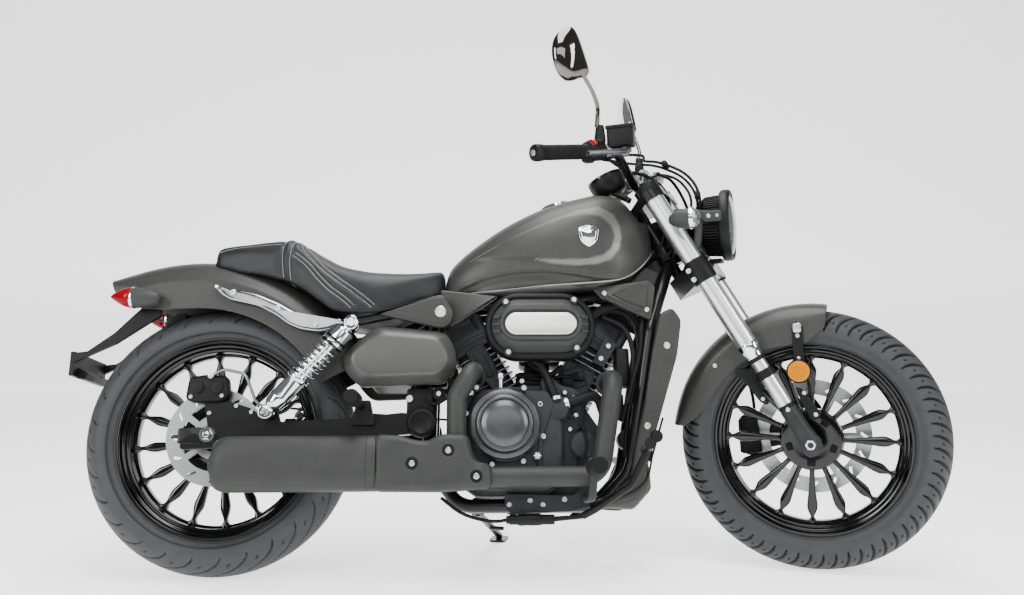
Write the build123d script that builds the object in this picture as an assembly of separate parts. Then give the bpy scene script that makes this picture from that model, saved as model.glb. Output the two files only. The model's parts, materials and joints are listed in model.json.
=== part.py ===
from build123d import *
import os
from math import asin, atan, atan2, cos, degrees, pi, radians, sin, sqrt

# Cruiser motorcycle with a small V-twin engine, parked on its side stand.
#
# Every piece is drawn upright with the bars straight ("bike frame"): X forward,
# Y to the rider's left, Z up, the rear wheel's contact point at the origin.
# park() then turns the bars, leans the whole onto the side stand and sets both
# tyres on the floor. Lengths are in millimetres, angles in degrees.

# ---------------------------------------------------------------- attitude
LEAN = 12.0                     # lean to the left on the side stand
STEER = -24.6                   # bars turned to the right
STEER_LOCK = 33.0               # stop to stop, either side of straight ahead

# ---------------------------------------------------------------- chassis geometry
WHEELBASE = 1400.0
RAKE = 29.2                     # steering axis back from the vertical
CLAMP_OFFSET = 60.0             # fork legs ahead of the steering axis
LEG_R = 24.0                    # thick upper tube
LEG_SPACING = 99.0              # fork leg to the centre line
HEAD_GAP = 30.0                 # steering head's ends to the fork clamps
HEAD_BORE = 19.0

# ---------------------------------------------------------------- wheels
SPOKES = 16
# widest: height of the tyre's widest point, as a share of its section height
REAR = dict(tyre_r=311.0, tyre_half=75.0, widest=0.308, lip_r=230.0, lip_half=51.5, axle_r=10.0)
FRONT = dict(tyre_r=305.0, tyre_half=62.5, widest=0.406, lip_r=223.5, lip_half=42.0, axle_r=8.0)
TYRE_WALL = 8.0
SIDEWALL_SHARE = 0.468          # sidewall's radius, as a share of the section height
REAR_HUB = dict(radius=84.0, core_r=33.0, half=44.0)
FRONT_HUB = dict(radius=70.0, core_r=30.0, half=38.0)
REAR_DISC = dict(radius=111.0, band=34.0, y=-66.0, thick=5.0)
FRONT_DISC = dict(radius=137.0, band=36.0, y=60.0, thick=4.0)

# ---------------------------------------------------------------- engine
CRANK = (738.0, 262.0)          # crankshaft centre, side view
V_HALF = 30.0                   # each cylinder leans this far from the vertical
CASE_HALF = 105.0               # half width of the crankcase
CYL_HALF = 55.0                 # cylinder's half size across the fins
BORE_BASE = 150.0               # crank to cylinder foot, along the cylinder
HEAD_SPLIT = 290.0              # crank to the cylinder head's joint
COVER_TOP = 372.0               # crank to the top of the rocker cover
FIN_COUNT = 7
FIN_THICK = 3.5
CLUTCH = dict(centre=(662.0, 325.0), radius=79.0, face_y=-186.0)
PULLEY = dict(radius=92.0, y=89.0, front_r=38.0, front=(560.0, 322.0), belt=4.0, width=16.0)
PULLEY_IN = PULLEY["y"] - PULLEY["width"] / 2       # belt's inner edge

# ---------------------------------------------------------------- derived geometry
SR, CR = sin(radians(RAKE)), cos(radians(RAKE))
REAR_AXLE = (0.0, 0.0, REAR["tyre_r"])
FRONT_AXLE = (WHEELBASE, 0.0, FRONT["tyre_r"])
STEER_UP = Vector(-SR, 0, CR)                       # along the steering axis
STEER_FWD = Vector(CR, 0, SR)                       # square to it, forwards
STEER_PIVOT = Vector(*FRONT_AXLE) - STEER_FWD * CLAMP_OFFSET
LOWER_CLAMP = (444.0, 494.0)    # along the legs, above the front axle
UPPER_CLAMP = (674.0, 698.0)
CLAMP_WALL = 5.0
HEAD_LOW, HEAD_HIGH = LOWER_CLAMP[1] + HEAD_GAP, UPPER_CLAMP[0] - HEAD_GAP


# ================================================================ drawing helpers
def on_axis(along):
    """Point of the steering axis, along mm above the pivot beside the front axle."""
    return STEER_PIVOT + STEER_UP * along


def on_leg(along, side):
    """Point of a fork leg's centre line, along mm above the front axle."""
    return Vector(*FRONT_AXLE) + STEER_UP * along + Vector(0, side * LEG_SPACING, 0)


def moved(points, by):
    """Side-view points (x, z) carried to where a piece sits."""
    return [(x + by.X, z + by.Z) for x, z in points]


def side_plate(points, y_low, y_high, corner=0.0):
    """Plate drawn in the side view (x, z), from y_low to y_high."""
    face = make_face(Polyline(*points, close=True))
    if corner:
        face = fillet(face.vertices(), corner)
    plane = Plane(origin=(0, y_high, 0), x_dir=(1, 0, 0), z_dir=(0, -1, 0))
    return extrude(plane * face, y_high - y_low)


def rod(start, end, radius, inner=0.0):
    """Round bar or tube between two points."""
    axis = Vector(*end) - Vector(*start)
    section = Circle(radius) - Circle(inner) if inner else Circle(radius)
    return extrude(Plane(origin=Vector(*start), z_dir=axis) * section, axis.length)


def bent_tube(points, radius, bends, inner=0.0):
    """Tube along straight runs joined by arcs; bends is one radius or one per corner."""
    path = FilletPolyline(*points, radius=bends) if len(points) > 2 else Line(*points)
    section = Circle(radius) - Circle(inner) if inner else Circle(radius)
    start = Plane(origin=path @ 0, z_dir=path % 0)
    return sweep(start * section, path=path)


def both(shape):
    """A right-hand piece (negative y) and its mirror image."""
    return [shape, mirror(shape, about=Plane.XZ)]


def wheel_turned(points):
    """Solid of revolution about the wheel's axis from (radius, y) points."""
    return revolve(make_face(Polyline(*points, close=True)), axis=Axis.Y)


def ring(outer, inner, y_low, y_high):
    """Flat ring about the wheel's axis."""
    return wheel_turned([(inner, y_low), (outer, y_low), (outer, y_high), (inner, y_high)])


def disc_y(centre, radius, y_low, y_high):
    """Round disc facing sideways at a side-view centre (x, z)."""
    return rod((centre[0], y_low, centre[1]), (centre[0], y_high, centre[1]), radius)


def fused(shapes):
    """One solid from overlapping shapes."""
    total = shapes[0]
    for shape in shapes[1:]:
        total = total + shape
    return total


# ================================================================ wheels
def sidewall_radius(wheel):
    """Radius of the bulging sidewall."""
    return SIDEWALL_SHARE * (wheel["tyre_r"] - wheel["lip_r"])


def crown_radius(wheel):
    """Radius of the crown that meets the sidewalls smoothly at the widest point."""
    height = wheel["tyre_r"] - wheel["lip_r"]
    side_r = sidewall_radius(wheel)
    sag, reach = (1 - wheel["widest"]) * height - side_r, wheel["tyre_half"] - side_r
    return side_r + (sag ** 2 + reach ** 2) / (2 * sag)


def tyre(wheel):
    """Road tyre: round crown blending into the sidewalls, beads on the rim."""
    lip, seat_half = wheel["lip_r"], wheel["lip_half"] - 5.0
    crown_r, side_r = crown_radius(wheel), sidewall_radius(wheel)

    def carcass(outer_r, half, arc_r, wall_r, foot_r, foot_half):
        centre = outer_r - arc_r
        rise = sqrt((arc_r - wall_r) ** 2 - (half - wall_r) ** 2)
        blend = atan2(half - wall_r, rise)
        crown = (centre + arc_r * cos(blend), arc_r * sin(blend))
        side = (centre + rise, half - wall_r)
        low = radians(-30)
        middle = 0.5 * (blend + pi / 2 - low)
        shoulder = (side[0] + wall_r * cos(middle), side[1] + wall_r * sin(middle))
        end = (side[0] + wall_r * sin(low), side[1] + wall_r * cos(low))
        half_edges = [
            ThreePointArc((crown[0], crown[1]), shoulder, end),
            Line(end, (lip + 2.0, foot_half)),
            Line((lip + 2.0, foot_half), (foot_r, foot_half)),
        ]
        mirrored = [edge.mirror(Plane.XZ) for edge in half_edges]
        across = [
            ThreePointArc((crown[0], -crown[1]), (outer_r, 0), (crown[0], crown[1])),
            Line((foot_r, -foot_half), (foot_r, foot_half)),
        ]
        return make_face(Wire(half_edges + mirrored + across))

    outer = carcass(wheel["tyre_r"], wheel["tyre_half"], crown_r, side_r, lip - 14.0, seat_half)
    inner = carcass(wheel["tyre_r"] - TYRE_WALL, wheel["tyre_half"] - TYRE_WALL,
                    crown_r - TYRE_WALL, side_r - TYRE_WALL, lip - 20.0, seat_half - 12.0)
    return revolve(outer - inner, axis=Axis.Y)


def cast_wheel(wheel, hub, phase):
    """Cast wheel: stepped barrel, spindle-shaped spokes, hub with its bearing bores."""
    lip, half = wheel["lip_r"], wheel["lip_half"]
    visible = [(lip - 1, half), (lip - 16, half - 0.5), (lip - 19, half - 5), (lip - 21, half - 15),
               (lip - 26, half - 17), (lip - 28, half - 26), (lip - 33, half - 28)]
    tyre_side = [(lip - 23, 8.0), (lip - 23, half - 30), (lip - 14, half - 22),
                 (lip - 14, half - 4.5), (lip, half - 4.0)]
    one_side = visible[::-1] + tyre_side[::-1]
    barrel = wheel_turned(one_side + [(r, -y) for r, y in reversed(one_side)])
    inner = lip - 33
    bulge = hub["radius"] + 0.68 * (inner - hub["radius"])
    neck = inner - 9.0
    outline = [
        ThreePointArc((hub["radius"] - 6, 6.0), (0.5 * (hub["radius"] + bulge), 6.0), (bulge, 10.0)),
        ThreePointArc((bulge, 10.0), (0.5 * (bulge + neck), 5.5), (neck, 3.6)),
        Line((neck, 3.6), (inner + 3, 8.0)),
        Line((inner + 3, 8.0), (inner + 3, -8.0)),
        Line((inner + 3, -8.0), (neck, -3.6)),
        ThreePointArc((neck, -3.6), (0.5 * (bulge + neck), -5.5), (bulge, -10.0)),
        ThreePointArc((bulge, -10.0), (0.5 * (hub["radius"] + bulge), -6.0), (hub["radius"] - 6, -6.0)),
        Line((hub["radius"] - 6, -6.0), (hub["radius"] - 6, 6.0)),
    ]
    plane = Plane(origin=(0, 12, 0), x_dir=(1, 0, 0), z_dir=(0, -1, 0))
    spoke = extrude(plane * make_face(Wire(outline)), 24)
    spokes = [Rot(0, -(phase + 360.0 / SPOKES * index), 0) * spoke for index in range(SPOKES)]
    disc = wheel_turned([(wheel["axle_r"], -hub["half"]), (hub["core_r"], -hub["half"]),
                         (hub["core_r"], -16), (hub["radius"] - 8, -16), (hub["radius"], -11),
                         (hub["radius"], 11), (hub["radius"] - 8, 16), (hub["core_r"], 16),
                         (hub["core_r"], hub["half"]), (wheel["axle_r"], hub["half"])])
    return barrel + spokes + disc


def brake_disc(disc, hub_r, arms, slots):
    """Brake disc: slotted band on a spider bolted to the hub's side."""
    low = disc["y"] - disc["thick"] / 2
    high = disc["y"] + disc["thick"] / 2
    band = ring(disc["radius"], disc["radius"] - disc["band"], low, high)
    spider = ring(hub_r + 18, hub_r, low, high)
    arm_length = disc["radius"] - disc["band"] + 4 - hub_r - 10
    arm = Pos(hub_r + 10 + arm_length / 2, disc["y"], 0) * Box(arm_length, disc["thick"], 14)
    pieces = [Rot(0, -360.0 / arms * index, 0) * arm for index in range(arms)]
    slot = Pos(disc["radius"] - disc["band"] / 2, disc["y"], 0) * (Rot(0, 40, 0) * Box(20, 9, 6))
    cuts = [Rot(0, -360.0 / slots * index, 0) * slot for index in range(slots)]
    return (band + spider + pieces) - cuts


def belt_wheel():
    """Toothed pulley on the left of the rear hub."""
    half = PULLEY["width"] / 2 + 1
    face = PULLEY["y"] - half
    rim = ring(PULLEY["radius"], PULLEY["radius"] - 10, face, PULLEY["y"] + half)
    web = ring(PULLEY["radius"] - 8, REAR["axle_r"], face, face + 8)
    boss = ring(REAR_HUB["core_r"] - 3, REAR["axle_r"], REAR_HUB["half"], face + 4)
    hole = Pos(PULLEY["radius"] * 0.62, PULLEY["y"], 0) * (Rot(90, 0, 0) * Cylinder(13, 60))
    return fused([rim, web, boss]) - [Rot(0, 72.0 * index, 0) * hole for index in range(5)]


# ================================================================ rolling pieces in place
def at_rear(shape):
    return Pos(*REAR_AXLE) * shape


def at_front(shape):
    return Pos(*FRONT_AXLE) * shape


# ================================================================ frame
DOWN_TUBE_Y = 84.0
FRAME_TUBE_R = 15.0
PIVOT = (476.0, 335.0)          # swingarm pivot, side view
PIVOT_Y = 58.0                  # frame's pivot plates to the centre line
RAIL_Y = 106.0
RAIL_END = 294.0
HEAD_MIDDLE = on_axis((HEAD_LOW + HEAD_HIGH) / 2)


def frame():
    """Backbone, steering head, twin down tubes and cradle, seat rails and pivot lugs."""
    head = rod(on_axis(HEAD_LOW), on_axis(HEAD_HIGH), 32.0)
    backbone = bent_tube([HEAD_MIDDLE, (905, 0, 656), (700, 0, 637), (488, 0, 624)], 21.0, 150)
    low, high, foot = on_axis(HEAD_LOW + 4), on_axis(HEAD_HIGH - 44), on_axis(HEAD_LOW + 20)
    gusset = side_plate([(low.X, low.Z), (high.X, high.Z), (925, 690), (880, 640), (1000, 610)], -12, 12)
    loops = []
    for side in (-1, 1):
        y = side * DOWN_TUBE_Y
        loops.append(bent_tube([(foot.X, side * 14, foot.Z), (1010, y, 560), (950, y, 225), (880, y, 152),
                                (560, y, 152), (486, side * PIVOT_Y, 250), (470, side * PIVOT_Y, 430),
                                (496, side * 22, 622)], FRAME_TUBE_R, [60, 90, 60, 60, 60, 60]))
        loops.append(bent_tube([(500, side * 14, 620), (420, side * RAIL_Y, 592),
                                (RAIL_END, side * RAIL_Y, 566)], 11.0, 60))
        plate = sorted((side * (PIVOT_Y - 10), side * (PIVOT_Y + 12)))
        loops.append(disc_y(PIVOT, 30.0, *plate))
        loops.append(side_plate([(446, 300), (506, 290), (508, 400), (462, 430)], *plate))
        loops.append(rod((SHOCK_TOP[0], side * RAIL_Y, SHOCK_TOP[1]),
                         (SHOCK_TOP[0], side * (SHOCK_Y - EYE_HALF), SHOCK_TOP[1]), 12.0))
    ties = [rod((x, -DOWN_TUBE_Y, z), (x, DOWN_TUBE_Y, z), 12.0)
            for x, z in ((560, 152), (860, 152))]
    ties.append(rod((PIVOT[0], -PIVOT_Y, PIVOT[1]), (PIVOT[0], PIVOT_Y, PIVOT[1]), 16.0))
    bore = rod(on_axis(HEAD_LOW - 9), on_axis(HEAD_HIGH + 9), HEAD_BORE)
    return fused([head, backbone, gusset, stand_lug()] + loops + ties) - bore


def frame_side_panels():
    """Pressed covers over the frame's gussets below the tank, both sides."""
    shapes = []
    for points, low, high in (
            ([(374, 583), (505, 628), (520, 630), (546, 588), (530, 556)], -132, -122),
            ([(552, 640), (650, 634), (565, 582)], -100, -92),
            ([(876, 656), (1010, 672), (1006, 585), (900, 630)], -96, -88)):
        shapes += both(side_plate(points, low, high, 5))
    return shapes


def radiator():
    """Finned core between two end tanks, ahead of the engine."""
    core = side_plate([(968, 262), (1000, 255), (1040, 540), (1008, 547)], -62, 62)
    gaps = []
    for index in range(22):
        height = 272.0 + 12.0 * index
        shift = 0.14 * (height - 262)
        gaps.append(Pos(999 + shift, 0, height) * Box(10, 118, 5))
    tanks = [side_plate([(964, 256), (1002, 249), (1043, 546), (1005, 553)], low, low + 9)
             for low in (-66, 57)]
    return fused([core - gaps] + tanks)


def radiator_shrouds():
    """Long curved side shrouds from the steering head to under the engine."""
    points = [(1062, 602), (1080, 574), (1064, 490), (1023, 363), (992, 232), (962, 172), (853, 146),
              (846, 158), (930, 200), (958, 284), (1009, 506), (1030, 590)]
    return both(side_plate(points, -114, -102))


# ================================================================ engine
def engine_block():
    """Crankcase and gearbox casting; closed, so solid inside."""
    outline = [(560, 200), (600, 172), (850, 172), (876, 215), (880, 320), (840, 380), (771, 420),
               (705, 420), (640, 400), (560, 400), (535, 350), (535, 250)]
    case = side_plate(outline, -CASE_HALF, CASE_HALF, 14)
    for lean in (-V_HALF, V_HALF):
        case = case - cylinder_block(lean, 2 * CYL_HALF + 3, 2 * CYL_HALF + 9, BORE_BASE, COVER_TOP, 0)
    pocket = side_plate([(500, 262), (500, 382), (622, 382), (622, 262)], PULLEY_IN - 3, CASE_HALF + 20)
    gear = disc_y(PULLEY["front"], PULLEY["front_r"] - 1, PULLEY_IN - 4, PULLEY_IN + PULLEY["width"] + 2)
    return case - pocket + gear


def cylinder_block(lean, width, depth, low, high, corner):
    """Block square to a cylinder's axis, between two distances from the crank."""
    plane = Plane(origin=(CRANK[0], 0, CRANK[1]), x_dir=(cos(radians(lean)), 0, -sin(radians(lean))),
                  z_dir=(sin(radians(lean)), 0, cos(radians(lean))))
    section = RectangleRounded(width, depth, corner) if corner else Rectangle(width, depth)
    return extrude(plane.offset(low) * section, high - low)


def cylinder(lean):
    """One finned cylinder with its head and rocker cover."""
    size = 2 * CYL_HALF

    def block(*sizes):
        return cylinder_block(lean, *sizes)

    barrel = block(size - 18, size - 14, BORE_BASE, HEAD_SPLIT, 12)
    pitch = (HEAD_SPLIT - BORE_BASE) / (FIN_COUNT + 1)
    fins = [block(size, size + 6, BORE_BASE + pitch * (index + 1) - FIN_THICK / 2,
                  BORE_BASE + pitch * (index + 1) + FIN_THICK / 2, 10) for index in range(FIN_COUNT)]
    head = block(size - 4, size + 4, HEAD_SPLIT, HEAD_SPLIT + 38, 8)
    rocker = block(size - 22, size - 12, HEAD_SPLIT + 38, COVER_TOP, 16)
    return fused([barrel] + fins + [head, rocker])


def clutch_cover():
    """Side casting with the round stepped clutch cover."""
    cx, cz = CLUTCH["centre"]
    casting = side_plate([(600, 180), (770, 178), (796, 230), (798, 330), (770, 392), (690, 412),
                          (590, 400), (566, 330), (570, 230)], -150, -CASE_HALF, 20)
    face = CLUTCH["face_y"]
    steps = [disc_y((cx, cz), CLUTCH["radius"], face + 16, -148),
             disc_y((cx, cz), CLUTCH["radius"] - 12, face + 8, face + 18),
             disc_y((cx, cz), CLUTCH["radius"] - 20, face, face + 10)]
    dish = disc_y((cx, cz), CLUTCH["radius"] - 26, face - 1, face + 3)
    return fused([casting] + steps) - dish


def generator_cover():
    """Left-hand casting over the generator and the belt pulley."""
    casting = side_plate([(600, 185), (790, 185), (812, 240), (812, 300), (780, 380), (620, 392), (590, 330)],
                         CASE_HALF, 138, 20)
    boss = disc_y(CRANK, 66, 136, 152)
    return casting + boss


def air_cleaner_cover():
    """Oval air cleaner cover in the V on the right."""
    centre = (746.5, 555.0)
    plane = Plane(origin=(centre[0], -104, centre[1]), x_dir=(1, 0, 0), z_dir=(0, -1, 0))
    body = extrude(plane * SlotOverall(257, 160), 50)
    crown = extrude(plane.offset(50) * SlotOverall(243, 146), 12)
    recess = extrude(plane.offset(56) * SlotOverall(172, 60), 10)
    body = body + crown - recess
    neck = rod((centre[0], -108, centre[1]), (centre[0], -48, centre[1] - 6), 36)
    return body + neck


def air_cleaner_plate():
    """Brushed plate set in the cover's recess."""
    plane = Plane(origin=(746.5, -160, 555), x_dir=(1, 0, 0), z_dir=(0, -1, 0))
    return extrude(plane * SlotOverall(164, 52), 9)


def coolant_pump():
    """Pump body on the right of the crankcase and its hoses to the radiator."""
    body = disc_y((832, 285), 28, -160, -CASE_HALF)
    elbow = bent_tube([(770, -164, 380), (824, -164, 396), (846, -164, 364), (846, -164, 290)], 11, 18)
    thin = bent_tube([(742, -66, 448), (764, -150, 440), (772, -164, 376)], 7, 30)
    return fused([body, elbow, thin])


# ================================================================ exhaust
HEADER_R = 22.0
MUFFLER_AXIS = (-170.0, 242.0)  # y and height of its long axis
MUFFLER_FRONT, MUFFLER_LENGTH = 382.0, 350.0
OUTLET_R, OUTLET_DEPTH = 15.0, 36.0
OUTLET = (MUFFLER_FRONT - MUFFLER_LENGTH + 10, *MUFFLER_AXIS)   # middle of the tail pipe's bore


def front_header():
    """Front cylinder's pipe, down ahead of the clutch cover and back to the collector."""
    return bent_tube([(908, -CYL_HALF - 3.2, 430), (908, -172, 430), (868, -180, 211),
                      (631.2, -180, 211)], HEADER_R, [44, 48])


def rear_header():
    """Rear cylinder's pipe, straight down into the collector."""
    return bent_tube([(592, -CYL_HALF - 3.2, 448), (592, -174, 448), (556, -176, 385), (556, -176, 301.3)],
                     HEADER_R, [32, 44])


def collector():
    """Long flat collector box that both pipes run into."""
    body = side_plate([(384, 182), (384, 301), (430, 300), (472, 287), (498, 287), (513, 301),
                       (582, 300), (590, 240), (631, 236), (631, 186), (520, 180)], -216, -153, 8)
    edges = body.edges().filter_by(lambda edge: edge.length > 90 and abs(edge.center().Y + 184.5) > 31)
    return fillet(edges, 12)


def muffler():
    """Oval silencer with a rounded tail and an outlet tube."""
    plane = Plane(origin=(MUFFLER_FRONT, *MUFFLER_AXIS), x_dir=(0, 1, 0), z_dir=(-1, 0, 0))
    body = extrude(plane * RectangleRounded(92, 120, 42), MUFFLER_LENGTH)
    body = fillet(body.faces().sort_by(Axis.X)[0].edges(), 16)
    mouth, inner = OUTLET[0] - OUTLET_DEPTH / 2, OUTLET[0] + OUTLET_DEPTH / 2
    outlet = rod((inner, *MUFFLER_AXIS), (mouth, *MUFFLER_AXIS), OUTLET_R + 5)
    bore = rod((inner, *MUFFLER_AXIS), (mouth - 5, *MUFFLER_AXIS), OUTLET_R)
    return body + outlet - bore


# ================================================================ body work
TANK_TAIL = 524.0
TANK_NOSE = HEAD_MIDDLE.X - 33
TANK_SECTIONS = (
    # share of the length from the tail, half width, bottom, top
    (0.000, 40, 646, 690),
    (0.111, 76, 645, 768),
    (0.308, 108, 651, 838),
    (0.526, 128, 657, 887),
    (0.723, 130, 664, 917),
    (0.862, 108, 680, 903),
    (0.960, 74, 728, 858),
    (1.000, 44, 765, 815),
)
CAP_R = 30.0
CAP_LOW, CAP_TOP = 16.0, 23.0   # lid's underside and top above the filler well's floor
NECK_R = 22.0
CAP_TILT = 12.0                 # tank top's slope at the filler
CAP_NORMAL = Vector(-sin(radians(CAP_TILT)), 0, cos(radians(CAP_TILT)))
CAP_FORWARD = Vector(cos(radians(CAP_TILT)), 0, sin(radians(CAP_TILT)))
CAP_BASE = Vector(TANK_TAIL + 0.5577 * (TANK_NOSE - TANK_TAIL), 0, 868)
CAP_HINGE = CAP_BASE + CAP_NORMAL * (CAP_TOP - 3) + CAP_FORWARD * (CAP_R + 2)


def tank_section(share, half, bottom, top):
    """Cross-section of the tank: flat floor, bulging sides, round back."""
    middle = bottom + 0.42 * (top - bottom)
    foot = 0.84 * half
    plane = Plane(origin=(TANK_TAIL + share * (TANK_NOSE - TANK_TAIL), 0, 0), x_dir=(0, 1, 0),
                  z_dir=(1, 0, 0))
    outline = Wire([
        Line((-foot, bottom), (foot, bottom)),
        ThreePointArc((foot, bottom), (0.965 * half, 0.5 * (bottom + middle)), (half, middle)),
        ThreePointArc((half, middle), (0, top), (-half, middle)),
        ThreePointArc((-half, middle), (-0.965 * half, 0.5 * (bottom + middle)), (-foot, bottom)),
    ])
    return plane * make_face(outline)


def fuel_tank():
    """Teardrop tank with a tunnel for the backbone and a notch round the steering head."""
    body = loft([tank_section(*row) for row in TANK_SECTIONS], ruled=True)
    front = moved([(17, 44), (57, -86)], HEAD_MIDDLE)
    tunnel = side_plate([(500, 600), (500, 662), (700, 676), (880, 706)] + front + [(1000, 600)], -36, 36)
    notch = rod(on_axis(LOWER_CLAMP[0] - 27), on_axis(UPPER_CLAMP[1] + 86), 60)
    relief_base = STEER_PIVOT + STEER_UP * (UPPER_CLAMP[0] - 6) - STEER_FWD * 38
    relief = extrude(Plane(origin=relief_base + STEER_FWD * 150, x_dir=STEER_FWD, z_dir=STEER_UP)
                     * Rectangle(300, 320), 120)
    well = rod(CAP_BASE, CAP_BASE + CAP_NORMAL * 60, CAP_R + 8)
    neck = rod(CAP_BASE - CAP_NORMAL, CAP_BASE + CAP_NORMAL * (CAP_LOW - 0.5), NECK_R)
    return body - tunnel - notch - relief - well + neck


def fuel_cap():
    """Flush filler lid with the knuckle it hinges on at its front edge."""
    lid = rod(CAP_BASE + CAP_NORMAL * CAP_LOW, CAP_BASE + CAP_NORMAL * CAP_TOP, CAP_R)
    across = Vector(0, 8, 0)
    knuckle = rod(CAP_HINGE - across, CAP_HINGE + across, 2.6)
    tab = rod(CAP_HINGE, CAP_HINGE - CAP_FORWARD * 8, 2)
    return fused([lid, tab, knuckle])


FENDER_CENTRE = (-62.0, 279.0)
FENDER_R = 462.0
FENDER_HALF = REAR["tyre_half"] + 21.0
FENDER_WALL = 4.0
SEAT_SECTIONS = (
    # x, half width, bottom, top
    (-36, 76, 716, 776),
    (40, 90, 700, 788),
    (130, 104, 664, 794),
    (195, 118, 624, 776),
    (265, 128, 600, 724),
    (350, 128, 594, 705),
    (440, 110, 606, 705),
    (512, 74, 640, 714),
)


def seat():
    """Stepped two-up seat, hollowed to sit on the rear mudguard and the rails."""
    sections = []
    for x, half, bottom, top in SEAT_SECTIONS:
        plane = Plane(origin=(x, 0, (bottom + top) / 2), x_dir=(0, 1, 0), z_dir=(1, 0, 0))
        sections.append(plane * RectangleRounded(2 * half, top - bottom, 24))
    body = loft(sections, ruled=True)
    hollow = disc_y(FENDER_CENTRE, FENDER_R + 1, -FENDER_HALF - 2, FENDER_HALF + 2)
    tunnel = side_plate([(150, 500), (150, 640), (300, 640), (560, 662), (560, 500)], -122, 122)
    return body - hollow - tunnel


def fender_profile(grow):
    """Half section of the rear mudguard, (radius, y) from its centre."""
    return [(338 - grow, FENDER_HALF + grow + 1), (404, FENDER_HALF + grow - 3),
            (440, 74 + grow), (457 + grow, 36 + grow * 0.5), (FENDER_R + grow, 0)]


def rear_fender():
    """Deep-skirted rear mudguard."""
    outer = fender_profile(0.0)
    inner = fender_profile(-FENDER_WALL)
    inner[0] = (outer[0][0], outer[0][1] - FENDER_WALL)
    inner[-1] = (FENDER_R - FENDER_WALL, 0)
    points = (outer + [(r, -y) for r, y in outer[-2::-1]]
              + [(r, -y) for r, y in inner[:-1]] + inner[::-1])
    shell = revolve(make_face(Polyline(*points, close=True)), axis=Axis.Y, revolution_arc=82)
    shell = Pos(FENDER_CENTRE[0], 0, FENDER_CENTRE[1]) * (Rot(0, -(36 + 82), 0) * shell)
    tail_cut = side_plate([(-420, 780), (-280, 700), (-262, 690), (-128, 590), (-128, 500), (-420, 500)],
                          -120, 120)
    return shell - tail_cut


def fender_struts():
    """Bright cast struts that carry the mudguard, one each side."""
    points = [(-11, 659), (56, 647), (115, 626), (174, 596), (233, 578), (292, 578), (292, 545),
              (245, 543), (188, 549), (146, 578), (87, 608), (23, 626)]
    return both(side_plate(points, -118, -106, 3))


def side_covers():
    """Moulded covers below the seat, one each side."""
    points = [(378, 557), (527, 544), (550, 512), (556, 460), (528, 421), (333, 416), (300, 458),
              (304, 499)]
    cover = side_plate(points, -149, -116, 8)
    outer = cover.faces().sort_by(Axis.Y)[0]
    return both(fillet(outer.edges(), 7))


def battery_box():
    """Box between the side covers that carries the battery and airbox."""
    return side_plate([(345, 430), (345, 550), (446, 560), (446, 430)], -88, 88, 10)


# ================================================================ rear suspension
ARM_Y = 111.0
ARM_HALF = 11.0
SHOCK_Y = 150.0
EYE_HALF = 13.0
SHOCK_TOP = (315.0, 559.0)
AXLE_Z = REAR_AXLE[2]
SHOCK_FOOT = (133.0, AXLE_Z + 47)
SPRING_TURNS = 6
SPRING_R = 22.0
SPRING_WIRE_R = 4.0


def swingarm():
    """Box-section swingarm with its pivot tube, cross tube and shock lugs."""
    shapes = []
    for side in (-1, 1):
        y = side * ARM_Y
        low, high = y - ARM_HALF, y + ARM_HALF
        shapes.append(side_plate([(-60, AXLE_Z - 32), (-60, AXLE_Z + 13), (93, AXLE_Z + 25), (304, 346),
                                  (430, 358), (490, 354), (500, 330), (484, 312), (430, 308), (330, 300)],
                                 low, high, 6))
        shapes.append(rod((PIVOT[0], side * (PIVOT_Y + 16), PIVOT[1]), (PIVOT[0], y, PIVOT[1]), 20))
        shapes.append(side_plate([(110, AXLE_Z + 19), (160, AXLE_Z + 19), (146, AXLE_Z + 61),
                                  (120, AXLE_Z + 61)], low, high, 5))
        shapes.append(rod((SHOCK_FOOT[0], y, SHOCK_FOOT[1]),
                          (SHOCK_FOOT[0], side * (SHOCK_Y - EYE_HALF), SHOCK_FOOT[1]), 9))
    shapes.append(rod((392, -ARM_Y, 325), (392, ARM_Y, 325), 17))
    return fused(shapes) - rod((0, -200, AXLE_Z), (0, 200, AXLE_Z), REAR["axle_r"] - 0.9)


def rear_axle():
    """Axle through the hub with its end nuts."""
    face = ARM_Y + ARM_HALF
    spindle = rod((0, -face - 6, REAR_AXLE[2]), (0, face + 6, REAR_AXLE[2]), REAR["axle_r"] - 1.0)
    nuts = [rod((0, side * face, REAR_AXLE[2]), (0, side * (face + 10), REAR_AXLE[2]), 17)
            for side in (-1, 1)]
    return fused([spindle] + nuts)


def shock_point(along, side):
    """Point on a shock's axis: 0 at the foot, 1 at the top."""
    x = SHOCK_FOOT[0] + along * (SHOCK_TOP[0] - SHOCK_FOOT[0])
    z = SHOCK_FOOT[1] + along * (SHOCK_TOP[1] - SHOCK_FOOT[1])
    return (x, side * SHOCK_Y, z)


def shock_bodies():
    """Damper bodies, spring seats and end eyes."""
    shapes = []
    for side in (-1, 1):
        eyes = [rod((p[0], p[1] - EYE_HALF, p[2]), (p[0], p[1] + EYE_HALF, p[2]), 17)
                for p in (shock_point(0, side), shock_point(1, side))]
        shapes.append(fused(eyes + [
            rod(shock_point(0.0, side), shock_point(1.0, side), 9),
            rod(shock_point(0.07, side), shock_point(0.55, side), 15),
            rod(shock_point(0.10, side), shock_point(0.17, side), 27),
            rod(shock_point(0.74, side), shock_point(0.94, side), 27)]))
    return shapes


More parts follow.
